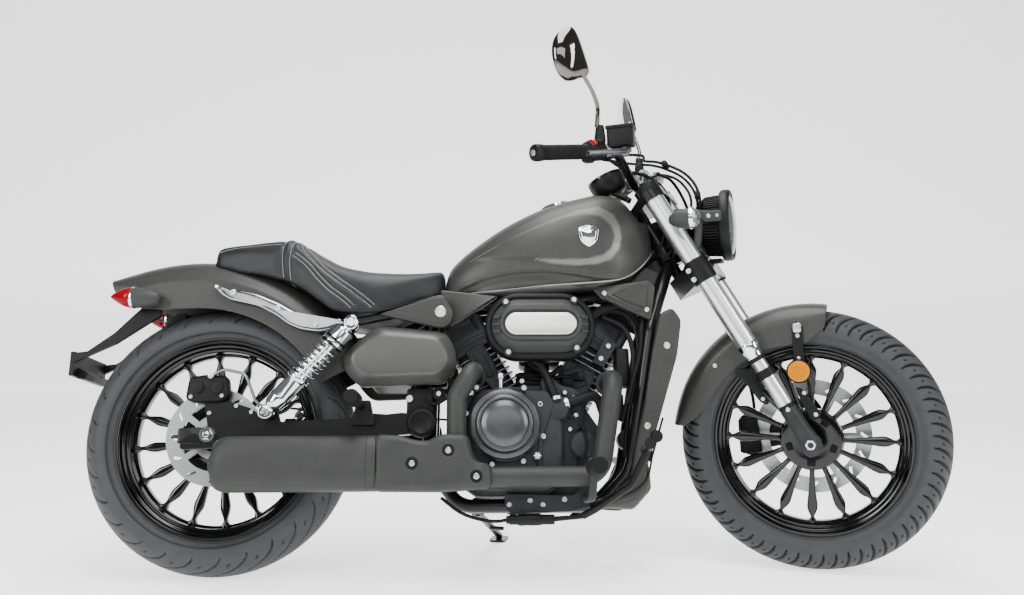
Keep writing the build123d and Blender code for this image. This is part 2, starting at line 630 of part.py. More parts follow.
def shock_springs():
    """Coil springs between the seats."""
    shapes = []
    for side in (-1, 1):
        start = Vector(*shock_point(0.19, side))
        end = Vector(*shock_point(0.72, side))
        length = (end - start).length
        path = Helix(pitch=length / SPRING_TURNS, height=length, radius=SPRING_R)
        section = Plane(origin=path @ 0, z_dir=path % 0) * Circle(SPRING_WIRE_R)
        coil = sweep(section, path=path, is_frenet=True)
        shapes.append(Plane(origin=start, z_dir=end - start) * coil)
    return shapes


def rear_caliper():
    """Rear brake caliper straddling the disc on its bracket."""
    body = side_plate([(-64, 85), (-60, 137), (22, 141), (34, 89), (20, 77), (-50, 77)], -96, -77, 6)
    inner = side_plate([(-50, 85), (-48, 129), (14, 133), (22, 89)], -58, -46, 5)
    bridge = side_plate([(-56, 119), (-54, 137), (16, 139), (20, 119)], -78, -56, 3)
    bracket = side_plate([(-24, -19), (-30, 85), (30, 85), (70, 39), (24, -19)], -86, -78, 3)
    spacer = disc_y((0, 0), 16, -ARM_Y + ARM_HALF, -80)
    bore = disc_y((0, 0), REAR["axle_r"] - 0.9, -120, -40)
    return at_rear(fused([body, inner, bridge, bracket, spacer]) - bore)


def drive_belt():
    """Toothed belt from the gearbox pulley to the rear wheel."""
    outer_r = PULLEY["radius"] + 1.0 + PULLEY["belt"]
    inner_r = PULLEY["radius"] + 1.0
    front_outer = PULLEY["front_r"] + PULLEY["belt"]

    def loop(rear_r, front_r, width):
        rear_disc = disc_y((0, REAR_AXLE[2]), rear_r, PULLEY["y"] - width / 2, PULLEY["y"] + width / 2)
        dx, dz = PULLEY["front"][0], PULLEY["front"][1] - REAR_AXLE[2]
        tilt = atan2(dz, dx)
        open_angle = atan((rear_r - front_r) / sqrt(dx * dx + dz * dz))
        up, down = tilt + pi / 2 - open_angle, tilt - pi / 2 + open_angle
        corners = [(rear_r * cos(up), REAR_AXLE[2] + rear_r * sin(up)),
                   (PULLEY["front"][0] + front_r * cos(up), PULLEY["front"][1] + front_r * sin(up)),
                   (PULLEY["front"][0] + front_r * cos(down), PULLEY["front"][1] + front_r * sin(down)),
                   (rear_r * cos(down), REAR_AXLE[2] + rear_r * sin(down))]
        span = side_plate(corners, PULLEY["y"] - width / 2, PULLEY["y"] + width / 2)
        front_disc = disc_y(PULLEY["front"], front_r, PULLEY["y"] - width / 2, PULLEY["y"] + width / 2)
        return fused([rear_disc, span, front_disc])

    return loop(outer_r, front_outer, PULLEY["width"]) - loop(inner_r, PULLEY["front_r"], PULLEY["width"] + 4)


# ================================================================ tail
PLATE_X, PLATE_WALL = -REAR["tyre_r"] - 22.0, 10.0
PLATE_HOLE_Y, PLATE_HOLE_Z, PLATE_HOLE_R = 70.0, 470.0, 3.25


def plate_bracket():
    """Arm from the mudguard down to a bare number-plate holder and its lamp."""
    low, high = FENDER_HALF - 16, FENDER_HALF - 6
    arms = both(side_plate([(-138, 636), (-160, 636), (-242, 551), (-300, 508), (PLATE_X - 1, 504),
                            (PLATE_X - 1, 480), (-236, 526), (-140, 592)], -high, -low, 2))
    tabs = [rod((-150, side * low, 626), (-150, side * (high + 1), 626), 6) for side in (-1, 1)]
    back, front = PLATE_X - PLATE_WALL / 2, PLATE_X + PLATE_WALL / 2
    holder = side_plate([(front, 452), (front, 508), (back, 508), (back, 452)], -88, 88)
    lamp = side_plate([(back, 452), (PLATE_X + 23, 446), (PLATE_X + 29, 462), (PLATE_X + 1, 476)], -60, 60, 3)
    holes = [rod((back - 5, y, PLATE_HOLE_Z), (front + 5, y, PLATE_HOLE_Z), PLATE_HOLE_R)
             for y in (-PLATE_HOLE_Y, PLATE_HOLE_Y)]
    return fused([holder, lamp] + arms + tabs) - holes


LAMP_Y = 118.0


def rear_lamps():
    """Bullet-shaped rear lamps on short stalks beside the mudguard."""
    shapes = []
    for side in (-1, 1):
        base = Vector(-206, side * LAMP_Y, 636)
        aim = Vector(-1, 0, 0.05)
        plane = Plane(origin=base, z_dir=aim)
        bullet = extrude(plane.offset(-62) * Circle(14), 62, taper=-11)
        stalk = rod((-160, side * (FENDER_HALF + 4), 634), (-168, side * LAMP_Y, 634), 8)
        shapes.append(bullet + stalk)
    return shapes


def rear_lenses():
    """Lenses of the rear lamps."""
    shapes = []
    for side in (-1, 1):
        base = Vector(-206.3, side * LAMP_Y, 636)
        plane = Plane(origin=base, z_dir=Vector(-1, 0, 0.05))
        shapes.append(extrude(plane * Circle(26), 36, taper=24))
    return shapes


# ================================================================ foot controls
def rider_pegs():
    """Bracket plates under the frame and the rider's foot pegs."""
    shapes = []
    for side in (-1, 1):
        low, high = sorted((side * 115, side * 125))
        plate = side_plate([(662, 176), (815, 172), (846, 200), (866, 196), (850, 150), (806, 138),
                            (675, 134), (662, 145)], low, high, 4)
        spacer = rod((700, side * (DOWN_TUBE_Y + FRAME_TUBE_R + 0.2), 152), (700, side * 118, 152), 9)
        stub = bent_tube([(838, side * 118, 164), (846, side * 214, 164), (848, side * 240, 224),
                          (848, side * 262, 224)], 9, [22, 12])
        peg = rod((848, side * 248, 224), (848, side * 335, 224), 16)
        shapes.append(fused([plate, spacer, stub, peg]))
    return shapes


def pillion_pegs():
    """Folding pillion pegs behind the pivot."""
    shapes = []
    for side in (-1, 1):
        low, high = sorted((side * (ARM_Y + ARM_HALF + 0.5), side * 132))
        plate = side_plate([(318, 330), (372, 330), (360, 385), (330, 385)], low, high, 5)
        arm = rod((340, side * 126, 372), (336, side * 196, 376), 9)
        peg = rod((336, side * 190, 376), (333, side * 262, 378), 14)
        shapes.append(fused([plate, arm, peg]))
    return shapes


def brake_pedal():
    """Forward brake pedal on the right with its rod and return spring housing."""
    arm = bent_tube([(834, -134, 128), (856, -152, 140), (930, -206, 190), (966, -222, 262)], 8, 30)
    pad = rod((966, -198, 268), (966, -262, 274), 12)
    cylinder_body = rod((672, -134, 121), (770, -134, 121), 11)
    link = rod((768, -134, 121), (838, -134, 127), 5)
    return fused([arm, pad, cylinder_body, link])


def shift_lever():
    """Gear lever on the left with its rod."""
    arm = bent_tube([(834, 134, 128), (856, 152, 140), (930, 206, 190), (966, 222, 262)], 8, 30)
    pad = rod((966, 198, 268), (966, 262, 274), 10)
    link = rod((700, 134, 121), (838, 134, 127), 5)
    return fused([arm, pad, link])


# ================================================================ parking
def lowest(centre, axle, wheel):
    """Height of a round-crowned tyre's lowest point."""
    crown_r = crown_radius(wheel)
    return centre.Z - (wheel["tyre_r"] - crown_r) * sqrt(1 - axle.Z ** 2) - crown_r


def turned(point, angle=STEER):
    """Point carried round with the bars."""
    return STEER_PIVOT + (Vector(*point) - STEER_PIVOT).rotate(Axis((0, 0, 0), STEER_UP), angle)


def leaned(vector, pitch):
    """Direction or point after the lean and the pitch that levels both tyres."""
    return Vector(*vector).rotate(Axis.X, -LEAN).rotate(Axis.Y, pitch)


def settled():
    """Pitch and lift that put both tyres on the floor."""
    axle = Vector(0, 1, 0)
    front_axle = axle.rotate(Axis((0, 0, 0), STEER_UP), STEER)
    pitch = rear_low = 0.0
    for _ in range(5):
        rear_low = lowest(leaned(REAR_AXLE, pitch), leaned(axle, pitch), REAR)
        front_low = lowest(leaned(turned(FRONT_AXLE), pitch), leaned(front_axle, pitch), FRONT)
        pitch += degrees(atan2(front_low - rear_low, WHEELBASE))
    return pitch, -rear_low


PITCH, LIFT = settled()


def floor_point(x, across):
    """Bike-frame point that lies on the floor once parked."""
    return Vector(x, across, -LIFT).rotate(Axis.Y, -PITCH).rotate(Axis.X, LEAN)


FLOOR_UP = Vector(0, 0, 1).rotate(Axis.Y, -PITCH).rotate(Axis.X, LEAN)


def parked(point, steered=False):
    """Parked position of a bike-frame point."""
    return leaned(turned(point) if steered else point, PITCH) + Vector(0, 0, LIFT)


def parked_direction(direction, steered=False):
    """Parked direction of a bike-frame direction."""
    vector = Vector(*direction)
    if steered:
        vector = vector.rotate(Axis((0, 0, 0), STEER_UP), STEER)
    return leaned(vector, PITCH)


def park(shape, steered=False):
    """A bike-frame shape as it stands parked."""
    if steered:
        shape = shape.rotate(Axis(STEER_PIVOT, STEER_UP), STEER)
    return Pos(0, 0, LIFT) * (shape.rotate(Axis.X, -LEAN).rotate(Axis.Y, PITCH))


# ================================================================ side stand
STAND_PIVOT = Vector(600, 126, 140)
STAND_FOOT_X = 655.0
STAND_REACH = 352.0             # foot's distance left of the wheels' line, on the floor
STAND_LEG_R = 9.0
STAND_SOLE = 6.0                # thickness of the foot plate
STAND_GAP = 18.0                # eye's middle to the frame lug
STAND_FOOT = floor_point(STAND_FOOT_X, STAND_REACH)
STAND_DOWN = (STAND_FOOT - STAND_PIVOT).normalized()
STAND_UP = Vector(-1, 0.05, 0.03).normalized()      # leg's direction when folded
STAND_AXIS = STAND_DOWN.cross(STAND_UP).normalized()
STAND_SWEEP = STAND_DOWN.get_angle(STAND_UP)


def side_stand():
    """Leg with its pivot eye and pin, and a flat foot plate on the floor."""
    ankle = STAND_FOOT + FLOOR_UP * 14
    eye = rod(STAND_PIVOT - STAND_AXIS * 8, STAND_PIVOT + STAND_AXIS * 8, 15)
    pin = rod(STAND_PIVOT - STAND_AXIS * 10, STAND_PIVOT + STAND_AXIS * 42, 6)
    leg = rod(STAND_PIVOT, ankle, STAND_LEG_R)
    toe = Plane(origin=STAND_FOOT, x_dir=STAND_DOWN - FLOOR_UP * STAND_DOWN.dot(FLOOR_UP), z_dir=FLOOR_UP)
    sole = extrude(toe * RectangleRounded(62, 42, 12), STAND_SOLE)
    shank = rod(STAND_FOOT + FLOOR_UP * 3, ankle, 8)
    spur = rod(STAND_PIVOT + STAND_DOWN * 120, STAND_PIVOT + STAND_DOWN * 120 + Vector(38, 4, -4), 5)
    return fused([eye, pin, leg, sole, shank, spur])


def stand_lug():
    """Frame lug that the side stand hangs from."""
    low = STAND_PIVOT + STAND_AXIS * STAND_GAP
    lug = rod(low, low + STAND_AXIS * 16, 15)
    arm = rod((600, DOWN_TUBE_Y, 158), low + STAND_AXIS * 9, 7)
    bore = rod(low - STAND_AXIS * 4, low + STAND_AXIS * 30, 6.2)
    return lug + arm - bore


# ================================================================ steering assembly
BAR_R = 11.0
GRIP_R = 17.0
BAR_SEAT = on_axis(UPPER_CLAMP[1] + 36.5) + STEER_FWD * 33
BAR_HALF = (BAR_SEAT + Vector(0, 68, 0), BAR_SEAT + Vector(-18, 180, 73), BAR_SEAT + Vector(-146, 372, 49))
BAR_RUN = (BAR_HALF[2] - BAR_HALF[1]).length
GRIP_START, GRIP_END = 96.0, BAR_RUN + 6    # along the bar's last run
MIRROR_CENTRE = BAR_SEAT + Vector(-93, 290, 289)
LAMP_DROP = 54.0                # headlamp's collars below the upper clamp
LAMP_COLLAR = UPPER_CLAMP[0] - LAMP_DROP
HEADLAMP = on_leg(LAMP_COLLAR, 0) + Vector(132.5, 0, -17.2)
HEADLAMP_R = 88.0
LAMP_FINS, LAMP_FIN = 54, 6.0   # cooling fins round the bucket and their height
INDICATOR_COLLAR = LAMP_COLLAR - 25
INDICATOR_FACE = 20.0           # bullet's open end ahead of its middle
GUARD_R = FRONT["tyre_r"] + 17.0
GUARD_HALF = FRONT["tyre_half"] + 9.0
GUARD_WALL = 3.5
SKIRT_R = FRONT["tyre_r"] - 67.0    # mudguard's lower edge from the axle


def fork_legs():
    """Both fork legs: thick upper tube, stepped collar, thin chromed tube, axle lug."""
    shapes = []
    for side in (-1, 1):
        def piece(low, high, radius):
            return rod(on_leg(low, side), on_leg(high, side), radius)
        lug = at_front(disc_y((0, 0), 24, *sorted((side * 84, side * 114))))
        shapes.append(fused([piece(10, 100, 20), piece(90, 262, 17.5), piece(238, 262, 27),
                             piece(258, 700, LEG_R), piece(698, 716, 26), lug]))
    return shapes


def triple_clamps():
    """Upper and lower clamps on the steering stem, with the bar clamps."""
    shapes = [rod(on_axis(LOWER_CLAMP[1] - 7), on_axis(UPPER_CLAMP[1]), 14)]
    for low, high in (LOWER_CLAMP, UPPER_CLAMP):
        plane = Plane(origin=Vector(*FRONT_AXLE) + STEER_UP * low, x_dir=STEER_FWD, z_dir=STEER_UP)
        outline = make_hull([Pos(-CLAMP_OFFSET, 0) * Circle(LEG_R + CLAMP_WALL).edge()] + [
            Pos(0, y) * Circle(LEG_R + CLAMP_WALL).edge() for y in (-LEG_SPACING, LEG_SPACING)])
        bores = [Pos(0, y) * Circle(LEG_R + 0.2) for y in (-LEG_SPACING, LEG_SPACING)]
        shapes.append(extrude(plane * (make_face(outline) - bores), high - low))
    for y in (-38, 38):
        top = Vector(*FRONT_AXLE) + STEER_UP * (UPPER_CLAMP[1] - 2) - STEER_FWD * 26 + Vector(0, y, 0)
        shapes.append(rod(top, top + STEER_UP * 30, 16))
    across = Vector(0, 60, 0)
    return fused(shapes) - rod(BAR_SEAT - across, BAR_SEAT + across, BAR_R)


def on_grip(along, side, ahead=0.0, above=0.0):
    """Point beside the bar's last run, along mm from its inner corner."""
    corner, end = BAR_HALF[1], BAR_HALF[2]
    point = corner + (end - corner).normalized() * along + Vector(ahead, 0, above)
    return Vector(point.X, side * point.Y, point.Z)


def handlebar():
    """Wide swept-back handlebar."""
    right = [(point.X, -point.Y, point.Z) for point in reversed(BAR_HALF)]
    return bent_tube([*right, *BAR_HALF], BAR_R, [70, 40, 40, 70])


def grips():
    """Rubber grips with end flanges."""
    shapes = []
    for side in (-1, 1):
        body = rod(on_grip(GRIP_START, side), on_grip(GRIP_END, side), GRIP_R)
        flange = rod(on_grip(GRIP_START - 6, side), on_grip(GRIP_START, side), GRIP_R + 6)
        shapes.append(fused([body, flange]) - rod(on_grip(0, side), on_grip(BAR_RUN + 0.4, side), BAR_R))
    return shapes


def hand_controls():
    """Switch housings, lever perches, levers and the brake master cylinder."""
    shapes = []
    bar = handlebar()
    for side in (-1, 1):
        housing = rod(on_grip(46, side), on_grip(GRIP_START - 6.5, side), 21)
        perch = rod(on_grip(12, side), on_grip(48, side), 17)
        pivot = on_grip(26, side, 44, -8)
        arm = rod(on_grip(26, side), pivot, 9)
        lever = bent_tube([pivot - Vector(0, side * 10, 0), on_grip(92, side, 58, -12),
                           on_grip(205, side, 52, -14)], 6, 90)
        boss = rod(on_grip(60, side), on_grip(60, side, 0, 25), 9)
        ball = rod(on_grip(205, side, 52, -14), on_grip(209, side, 52, -14), 9)
        pieces = [housing, perch, arm, lever, boss, ball]
        if side < 0:
            base = on_grip(26, side, 6, 34)
            pieces.append(Pos(*base) * Box(64, 40, 34))
            pieces.append(rod(on_grip(26, side), base, 10))
        shapes.append(fused(pieces) - bar)
    return shapes


def mirrors():
    """Kite-shaped mirrors on curved stems."""
    shapes = []
    outline = [(-46, -40), (38, -66), (48, -20), (34, 40), (8, 66), (-38, 42), (-52, 0)]
    for side in (-1, 1):
        foot = on_grip(60, side, 0, 27)
        centre = Vector(MIRROR_CENTRE.X, side * MIRROR_CENTRE.Y, MIRROR_CENTRE.Z)
        bends = [BAR_SEAT + Vector(-44, side * 234, 147), BAR_SEAT + Vector(-60, side * 262, 257)]
        stem = bent_tube([foot, *bends, centre], 6, [60, 25])
        normal = Vector(-0.77, side * -0.64, 0)
        plane = Plane(origin=centre - normal * 7, x_dir=Vector(normal.Y, -normal.X, 0), z_dir=normal)
        points = [(u * side, v) for u, v in outline]
        face = fillet(make_face(Polyline(*points, close=True)).vertices(), 12)
        shapes.append(extrude(plane * face, 14) + stem)
    return shapes


def instrument():
    """Round instrument above the upper clamp."""
    centre = BAR_SEAT + Vector(-78, 0, 35)
    aim = Vector(-0.42, 0, 0.91)
    pod = rod(centre - aim * 26, centre + aim * 16, 46)
    stay = rod(on_axis(UPPER_CLAMP[1] + 0.4), on_axis(UPPER_CLAMP[1] + 52), 12)
    neck = rod(on_axis(UPPER_CLAMP[1] + 45), centre - aim * 10, 12)
    return fused([pod, stay, neck])


def headlamp_shell():
    """Finned bucket, bezel and side arms of the headlamp."""
    drum_r = HEADLAMP_R - 12
    profile = [(-84, 0), (-84, 34), (-70, drum_r - 18), (-52, drum_r), (-10, drum_r)]
    profile += [(-10, HEADLAMP_R), (6, HEADLAMP_R), (10, HEADLAMP_R - 4), (10, HEADLAMP_R - 9),
                (-6, HEADLAMP_R - 9), (-30, drum_r - 16), (-60, 20), (-60, 0)]
    plane = Plane(origin=HEADLAMP, x_dir=(1, 0, 0), z_dir=(0, -1, 0))
    bucket = revolve(plane * make_face(Polyline(*profile, close=True)),
                     axis=Axis(HEADLAMP, (1, 0, 0)))
    slot = Pos(-38, 0, drum_r - LAMP_FIN + 5) * Box(55, pi * 2 * drum_r / LAMP_FINS * 0.6, 10)
    bucket = bucket - [Pos(*HEADLAMP) * (Rot(360.0 / LAMP_FINS * index, 0, 0) * slot)
                       for index in range(LAMP_FINS)]
    arms, bores = [], []
    for side in (-1, 1):
        leg = on_leg(LAMP_COLLAR, side)
        arms.append(rod(on_leg(LAMP_COLLAR - 14, side), on_leg(LAMP_COLLAR + 14, side), LEG_R + 4))
        ends = moved([(-8, 24), (-8, 2)], HEADLAMP)
        arms.append(side_plate([(leg.X + 20, leg.Z + 6), (leg.X + 14, leg.Z + 24)] + ends,
                               *sorted((side * (drum_r - 12), side * (HEADLAMP_R - 4)))))
        bores.append(rod(on_leg(LAMP_COLLAR - 30, side), on_leg(LAMP_COLLAR + 40, side), LEG_R + 0.2))
    return fused([bucket] + arms) - bores


def headlamp_lens():
    """Domed clear lens."""
    dome_r = 150.0
    rim_r = HEADLAMP_R - 9.4
    opening = asin(rim_r / dome_r)
    centre = 4 - dome_r * cos(opening)
    half_way = (centre + dome_r * cos(opening / 2), dome_r * sin(opening / 2))
    profile = (Polyline((centre + dome_r, 0), (-4, 0), (-4, rim_r), (4, rim_r))
               + ThreePointArc((4, rim_r), half_way, (centre + dome_r, 0)))
    plane = Plane(origin=HEADLAMP, x_dir=(1, 0, 0), z_dir=(0, -1, 0))
    return revolve(plane * make_face(profile), axis=Axis(HEADLAMP, (1, 0, 0)))


def indicator_centre(side):
    """Middle of a front indicator."""
    return on_leg(INDICATOR_COLLAR, side) + Vector(40.3, side * 69, 9.6)


def front_indicators():
    """Bullet indicators on stalks from the fork legs."""
    shapes = []
    for side in (-1, 1):
        centre = indicator_centre(side)
        bullet = extrude(Plane(origin=centre + Vector(INDICATOR_FACE, 0, 0), z_dir=(-1, 0, 0)) * Circle(23),
                         52, taper=12)
        stalk = rod(on_leg(INDICATOR_COLLAR, side), centre, 7)
        collar = rod(on_leg(INDICATOR_COLLAR - 11, side), on_leg(INDICATOR_COLLAR + 10, side), LEG_R + 4)
        leg = rod(on_leg(INDICATOR_COLLAR - 25, side), on_leg(INDICATOR_COLLAR + 35, side), LEG_R + 0.2)
        shapes.append(fused([bullet, stalk, collar]) - leg)
    return shapes


def front_indicator_lenses():
    """Clear fronts of the indicators."""
    return [extrude(Plane(origin=indicator_centre(side) + Vector(INDICATOR_FACE + 0.2, 0, 0), z_dir=(1, 0, 0))
                    * Circle(22), 16, taper=28) for side in (-1, 1)]


def front_fender():
    """Front mudguard hugging the tyre, with stays to the fork legs."""
    outer = [(SKIRT_R, GUARD_HALF), (GUARD_R - 22, GUARD_HALF - 2), (GUARD_R - 7, GUARD_HALF - 23.5),
             (GUARD_R, 18)]
    inner = [(SKIRT_R, GUARD_HALF - GUARD_WALL), (GUARD_R - 24, GUARD_HALF - 2 - GUARD_WALL),
             (GUARD_R - 10.5, GUARD_HALF - 25.5), (GUARD_R - GUARD_WALL, 17)]
    points = outer + [(r, -y) for r, y in reversed(outer)] + [(r, -y) for r, y in inner] + inner[::-1]
    shell = revolve(make_face(Polyline(*points, close=True)), axis=Axis.Y, revolution_arc=94)
    shell = at_front(Rot(0, -(80 + 94), 0) * shell)
    rear_cut = side_plate(moved([(-GUARD_R - 48, -5), (-GUARD_R - 4, 39), (-SKIRT_R - 12, 61),
                                 (-SKIRT_R + 30, 119), (-138, SKIRT_R - 73), (-138, -5)],
                                Vector(*FRONT_AXLE)),
                          -GUARD_HALF - 18, GUARD_HALF + 18)
    stay = moved([(-18, -18), (-18, 18), (18, 18), (18, -18)], on_leg(SKIRT_R - 38, 0))
    stays = [side_plate(stay, *sorted((side * (GUARD_HALF - 2.5), side * (LEG_SPACING - 17.6))), 4)
             for side in (-1, 1)]
    return fused([shell - rear_cut] + stays)


def reflectors():
    """Round side reflectors on tabs below the front mudguard."""
    shapes = []
    for side in (-1, 1):
        face = GUARD_HALF + 8.5
        disc = disc_y((-16, SKIRT_R - 71), 27, *sorted((side * face, side * (face + 8))))
        tab = side_plate([(-24, SKIRT_R - 63), (-24, SKIRT_R + 39), (-8, SKIRT_R + 39), (-8, SKIRT_R - 63)],
                         *sorted((side * (GUARD_HALF + 0.2), side * face)))
        shapes.append(at_front(disc + tab))
    return shapes


def front_caliper():
    """Front brake caliper on the left leg."""
    outer = side_plate([(-168, -43), (-172, 45), (-118, 51), (-110, -43)], 67, 92, 6)
    inner = side_plate([(-168, -43), (-172, 45), (-125, 47), (-118, -39)], 45, 53, 6)
    bridge = side_plate([(-170, -41), (-172, 43), (-146, 45), (-144, -41)], 52, 68)
    bracket = side_plate([(-120, -25), (-120, 25), (-16, 17), (-16, -13)], 67, 78)
    return at_front(fused([outer, inner, bridge, bracket]))


def front_axle():
    """Front spindle with its ends in the leg lugs."""
    return rod((WHEELBASE, -83.5, FRONT_AXLE[2]), (WHEELBASE, 83.5, FRONT_AXLE[2]), FRONT["axle_r"] - 1)


def bar_cables():
    """Brake hose to the front caliper."""
    beside = STEER_FWD * -20 + Vector(0, 41, 0)
    over = [BAR_SEAT + Vector(*by) for by in ((24, -186, 101), (62, -90, 77), (70, 132, 52))]
    down = [Vector(*FRONT_AXLE) + Vector(*by) for by in ((-146, 112, 125), (-142, 84, 52))]
    return bent_tube([*over, on_leg(LAMP_COLLAR + 20, 1) + beside, on_leg(300, 1) + beside, *down],
                     5, [60, 60, 60, 60, 30])


# ================================================================ nodes
BACKWARDS = (-1, 0, 0)
MOUNTS = (
    # name, point on the bike, direction
    ("plate_hole_left", (PLATE_X, PLATE_HOLE_Y, PLATE_HOLE_Z), BACKWARDS),
    ("plate_hole_right", (PLATE_X, -PLATE_HOLE_Y, PLATE_HOLE_Z), BACKWARDS),
    ("exhaust_outlet", OUTLET, BACKWARDS),
    ("stand_sole", STAND_FOOT, -FLOOR_UP),
)
BODIES = {
    "chassis": {
        "frame": frame, "frame_side_panels": frame_side_panels, "radiator": radiator,
        "radiator_shrouds": radiator_shrouds, "engine_block": engine_block,
        "cylinder_front": lambda: cylinder(V_HALF), "cylinder_rear": lambda: cylinder(-V_HALF),
        "clutch_cover": clutch_cover, "generator_cover": generator_cover,
        "air_cleaner_cover": air_cleaner_cover, "air_cleaner_plate": air_cleaner_plate,
        "coolant_pump": coolant_pump, "exhaust_header_front": front_header,
        "exhaust_header_rear": rear_header, "exhaust_collector": collector, "muffler": muffler,
        "fuel_tank": fuel_tank, "seat": seat, "rear_fender": rear_fender,
        "fender_struts": fender_struts, "side_covers": side_covers, "battery_box": battery_box,
        "swingarm": swingarm, "rear_axle": rear_axle, "shock_bodies": shock_bodies,
        "shock_springs": shock_springs, "rear_caliper": rear_caliper, "drive_belt": drive_belt,
        "plate_bracket": plate_bracket, "rear_lamps": rear_lamps, "rear_lenses": rear_lenses,
        "rider_pegs": rider_pegs, "pillion_pegs": pillion_pegs, "brake_pedal": brake_pedal,
        "shift_lever": shift_lever},
    "fuel_cap_lid": {"fuel_cap": fuel_cap},
    "rear_wheel": {
        "rear_rim": lambda: at_rear(cast_wheel(REAR, REAR_HUB, 6.0)),
        "rear_tyre": lambda: at_rear(tyre(REAR)),
        "rear_disc": lambda: at_rear(brake_disc(REAR_DISC, REAR_HUB["core_r"], 5, 12)),
        "rear_pulley": lambda: at_rear(belt_wheel())},
    "steering": {
        "fork_legs": fork_legs, "triple_clamps": triple_clamps, "handlebar": handlebar, "grips": grips,
        "hand_controls": hand_controls, "mirrors": mirrors, "instrument": instrument,
        "headlamp_shell": headlamp_shell, "headlamp_lens": headlamp_lens,
        "front_indicators": front_indicators, "front_indicator_lenses": front_indicator_lenses,
        "front_fender": front_fender, "reflectors": reflectors, "front_caliper": front_caliper,
        "front_axle": front_axle, "bar_cables": bar_cables},
    "front_wheel": {
        "front_rim": lambda: at_front(cast_wheel(FRONT, FRONT_HUB, 20.0)),
        "front_tyre": lambda: at_front(tyre(FRONT)),
        "front_disc": lambda: at_front(brake_disc(FRONT_DISC, FRONT_HUB["core_r"], 6, 16))},
    "side_stand_leg": {"side_stand": side_stand},
}
STEERED = ("steering", "front_wheel")


def main():
    """Build every node, park it and write one STEP file each."""
    os.makedirs("parts", exist_ok=True)
    parked_nodes = {}
    for body, nodes in BODIES.items():
        for name, make in nodes.items():
            made = make()
            solids = [solid for piece in (made if isinstance(made, list) else [made])
                      for solid in piece.solids()]
            parked_nodes[name] = [park(solid, body in STEERED) for solid in solids]
    box = Compound([solid for solids in parked_nodes.values() for solid in solids]).bounding_box()
    to_origin = Vector(-box.center().X, -box.center().Y, -box.min.Z)
    for name, solids in parked_nodes.items():
        placed = [Pos(*to_origin) * solid for solid in solids]
        export_step(Compound(placed) if len(placed) > 1 else placed[0], "parts/" + name + ".step")
    print("box", box.size, "to origin", to_origin)
    axle = (0, 1, 0)
    for name, point, direction, steered in (
            ("joint rear_wheel_spin", REAR_AXLE, axle, False),
            ("joint front_wheel_spin", FRONT_AXLE, axle, True),
            ("joint steering", STEER_PIVOT, STEER_UP, False),
            ("joint side_stand_fold", STAND_PIVOT, STAND_AXIS, False),
            ("joint fuel_cap_hinge", CAP_HINGE, axle, False),
            *(("mount " + mount, point, direction, False) for mount, point, direction in MOUNTS)):
        where, way = parked(point, steered) + to_origin, parked_direction(direction, steered)
        print(name, *(round(value / 1000, 6) for value in (where.X, where.Y, where.Z)),
              *(round(value, 6) for value in (way.X, way.Y, way.Z)))
    print("stand sweep", round(STAND_SWEEP, 2))


if __name__ == "__main__":
    main()
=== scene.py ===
"""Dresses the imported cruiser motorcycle: its real surfaces, finishes, floor, lights and camera.

Lengths are in millimetres in the upright frame that the sizes below are written in: X forward,
Y to the rider's left, Z up, the rear wheel's contact point at the origin, bars straight ahead.
Stance.place turns the steered pieces, leans the whole onto its stand and gives metres.
"""

from __future__ import annotations

import json
import logging
import math
from dataclasses import dataclass, field
from enum import Enum
from typing import Any, Callable, Iterable, Sequence

import bmesh
import bpy
import numpy as np
from mathutils import Matrix

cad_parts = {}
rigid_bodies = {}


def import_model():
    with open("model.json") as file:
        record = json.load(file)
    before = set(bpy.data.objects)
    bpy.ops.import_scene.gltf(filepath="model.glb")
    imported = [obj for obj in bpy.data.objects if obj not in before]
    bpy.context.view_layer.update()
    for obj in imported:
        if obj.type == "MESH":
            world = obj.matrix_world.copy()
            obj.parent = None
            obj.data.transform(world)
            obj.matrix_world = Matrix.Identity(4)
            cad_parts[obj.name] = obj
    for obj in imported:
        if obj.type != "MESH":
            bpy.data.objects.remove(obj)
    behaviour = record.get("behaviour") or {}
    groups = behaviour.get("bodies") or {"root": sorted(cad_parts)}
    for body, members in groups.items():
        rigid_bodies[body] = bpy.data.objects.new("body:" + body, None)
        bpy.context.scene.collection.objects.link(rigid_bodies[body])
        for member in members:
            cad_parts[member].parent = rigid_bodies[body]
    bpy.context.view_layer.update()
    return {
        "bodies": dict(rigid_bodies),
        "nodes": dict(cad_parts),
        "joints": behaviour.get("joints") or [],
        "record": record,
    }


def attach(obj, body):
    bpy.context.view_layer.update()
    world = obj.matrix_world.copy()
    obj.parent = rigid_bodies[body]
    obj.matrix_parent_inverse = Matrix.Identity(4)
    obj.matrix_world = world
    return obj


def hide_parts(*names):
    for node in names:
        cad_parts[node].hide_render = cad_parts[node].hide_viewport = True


LOG = logging.getLogger("cruiser")
Array = np.ndarray
Point = tuple[float, float, float]
TAU = 2.0 * math.pi


class Body(Enum):
    """The bodies of the frame that pieces ride on."""

    CHASSIS = "chassis"
    CAP = "fuel_cap_lid"
    REAR_WHEEL = "rear_wheel"
    STEERING = "steering"
    FRONT_WHEEL = "front_wheel"
    STAND = "side_stand_leg"

    @property
    def steered(self) -> bool:
        """Whether the body turns with the bars."""
        return self in (Body.STEERING, Body.FRONT_WHEEL)


